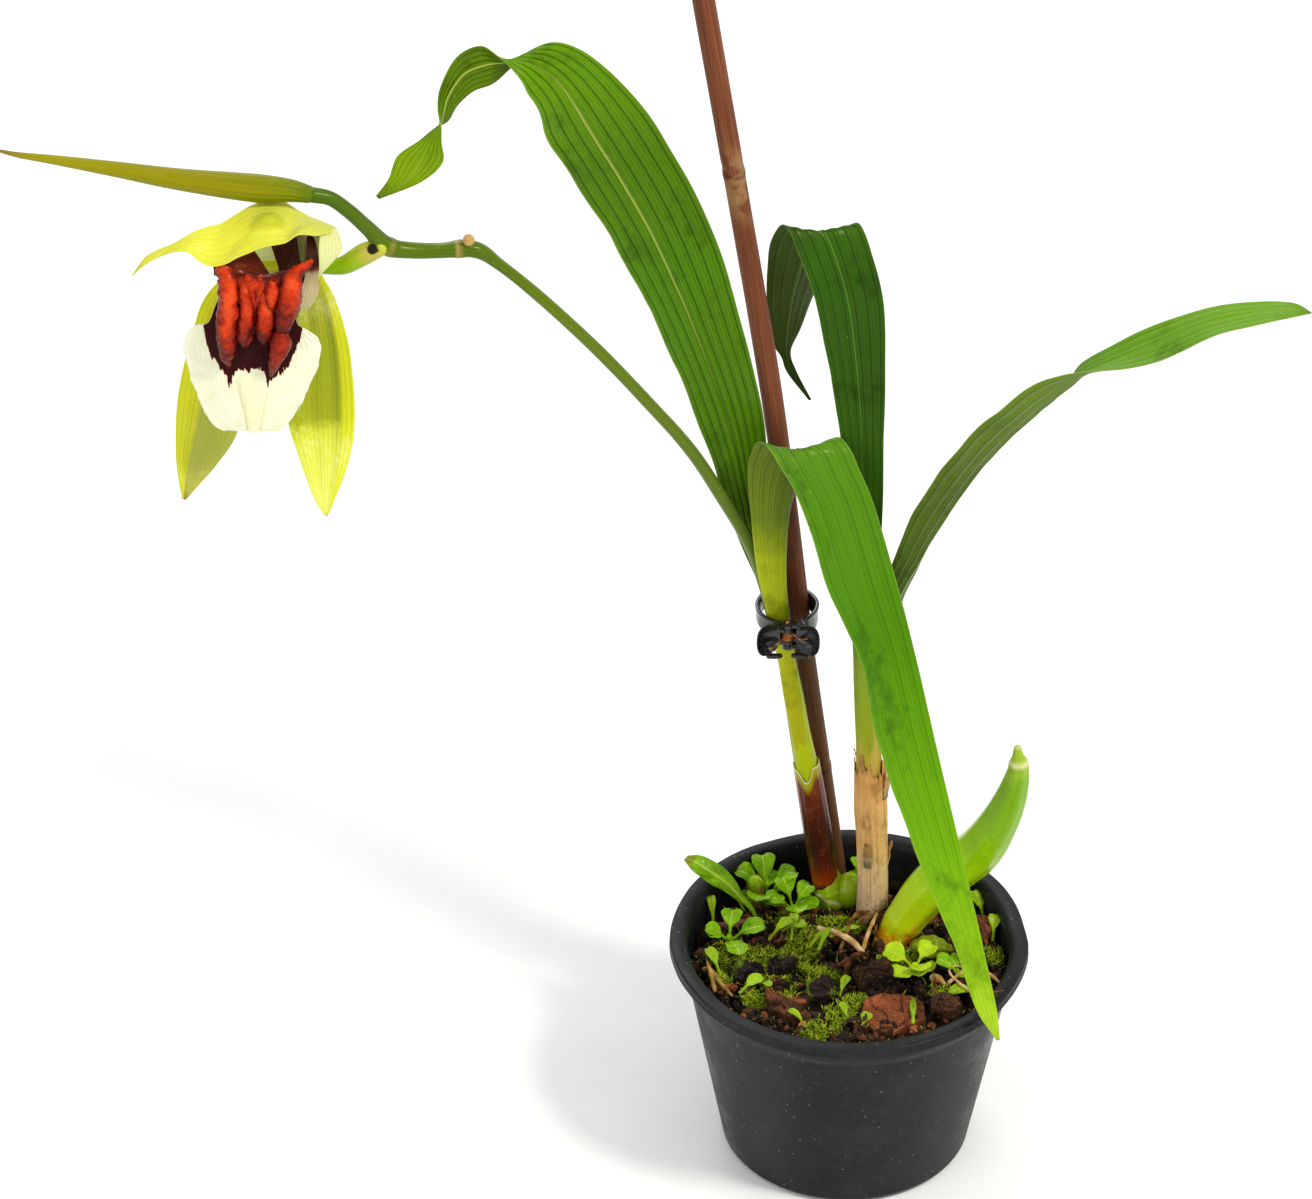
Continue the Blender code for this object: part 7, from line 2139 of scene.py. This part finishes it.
def moved(surface):
    # from the clip's own middle to its place
    points, parts, _ = surface
    return points + np.array(clip["centre"]) * mm, parts, []


def makeClip():
    black, sockets, here, _ = newMaterial("clip_plastic", 0.2, Specular_IOR_Level=0.4,
                                            Coat_Weight=0.3, Coat_Roughness=0.08)
    shade = mottled(here, 220.0, 1.2)
    colour = ramp(shade, [(0.0, "111213"), (0.6, "1c1d1e"), (1.0, "2a2b2b")])
    dust = speckled(here, 1500.0, 0.2, 0.1)
    colourTo(sockets, painted(colour, times(dust, 0.6), "8a8370"))
    link(ranged(shade, 0.1, 0.9, 0.15, 0.34), sockets["Roughness"])
    bumped(sockets, noiseNode(here, 900.0, 3.0), 0.00006)
    rust, sockets, here, _ = newMaterial("spring_steel", 0.5)
    shade = mottled(here, 700.0, 1.5)
    colourTo(sockets, ramp(shade, [(0.0, "5a2a12"), (0.4, "a4552a"), (0.75, "d08a4c"),
                                   (1.0, "d9b48a")]))
    link(ranged(shade, 0.2, 0.9, 0.15, 0.7), sockets["Metallic"])
    bumped(sockets, noiseNode(here, 3500.0, 4.0), 0.00012)
    back = -clip["pinBack"]
    for side, label, body in ((1, "right", "root"), (-1, "left", "clip_jaw")):
        near, far = clip["lugsRight"] if side > 0 else clip["lugsLeft"]
        parts = [jawBand(side), jawCup(side),
                 pebble((side * 4.0, back + 1.3, 0), (1.5, 2.3, far)),
                 tube(((side * 3.6, back + 0.4, -0.6), (side * 5.0, back - 0.6, -0.8),
                       (side * 6.6, back - 1.9, -1.0)), (1.9, 2.3, 2.0), 20, 28, side=(0, 0, 1), flat=0.55)]
        for sign in (-1, 1):
            parts.append(pebble((side * 2.0, back, sign * (near + far) / 2), (2.2, 1.35, (far - near) / 2)))
            parts.append(tube([(0, back, sign * near + sign * (far - near) * k) for k in (0, 0.5, 1)],
                              clip["lug"], 10, 32, ("flat", "flat")))
        parts.append(tube(((side * 6.4, back - 4.6, -5.2), (side * 4.0, back - 4.3, -5.4),
                           (side * 2.05 - 0.35, back - 3.9, -5.5)), (0.75, 0.8, 0.7), 24, 20, flat=1.5))
        addPiece("clip_" + label, joined([moved(part) for part in parts]), black,
                 ["clip_jaw_" + label], body, sharp=55)
    half = clip["pinHalf"] - 0.4
    pin = tube([(0, back, z) for z in (-half, 0, half)], clip["pinRadius"], 14, 24)
    addPiece("clip_axle", moved(pin), rust, ["clip_pin"])
    steps = int(clip["turns"] * 14) + 1
    low = -clip["pitch"] * clip["turns"] / 2
    turn = math.pi / 2 + np.arange(steps) * tau / 14
    coil = np.column_stack((clip["coil"] * np.cos(turn), back + clip["coil"] * np.sin(turn),
                            low + clip["pitch"] * np.arange(steps) / 14))
    rightLeg = [(6.4, back - 3.4, 0.9), (3.6, back - 1.9, 0.3 + low * 0.4)]
    wires = [moved(tube([tuple(p) for p in coil], clip["wire"], 240, 12, side=(0, 0, 1))),
             moved(tube([rightLeg[0], rightLeg[1], (1.55, back - 0.2, 0.9)], clip["wire"], 24, 12))]
    addPiece("clip_coil", joined(wires), rust, ["clip_spring"])
    leg = tube(((-6.0, back - 4.2, -2.9), (-3.6, back - 2.6, -1.8), (-1.55, back - 0.9, -0.9)), clip["wire"],
               24, 12)
    addPiece("clip_leg", moved(leg), rust, body="clip_jaw")


makeClip()
print("clip done")
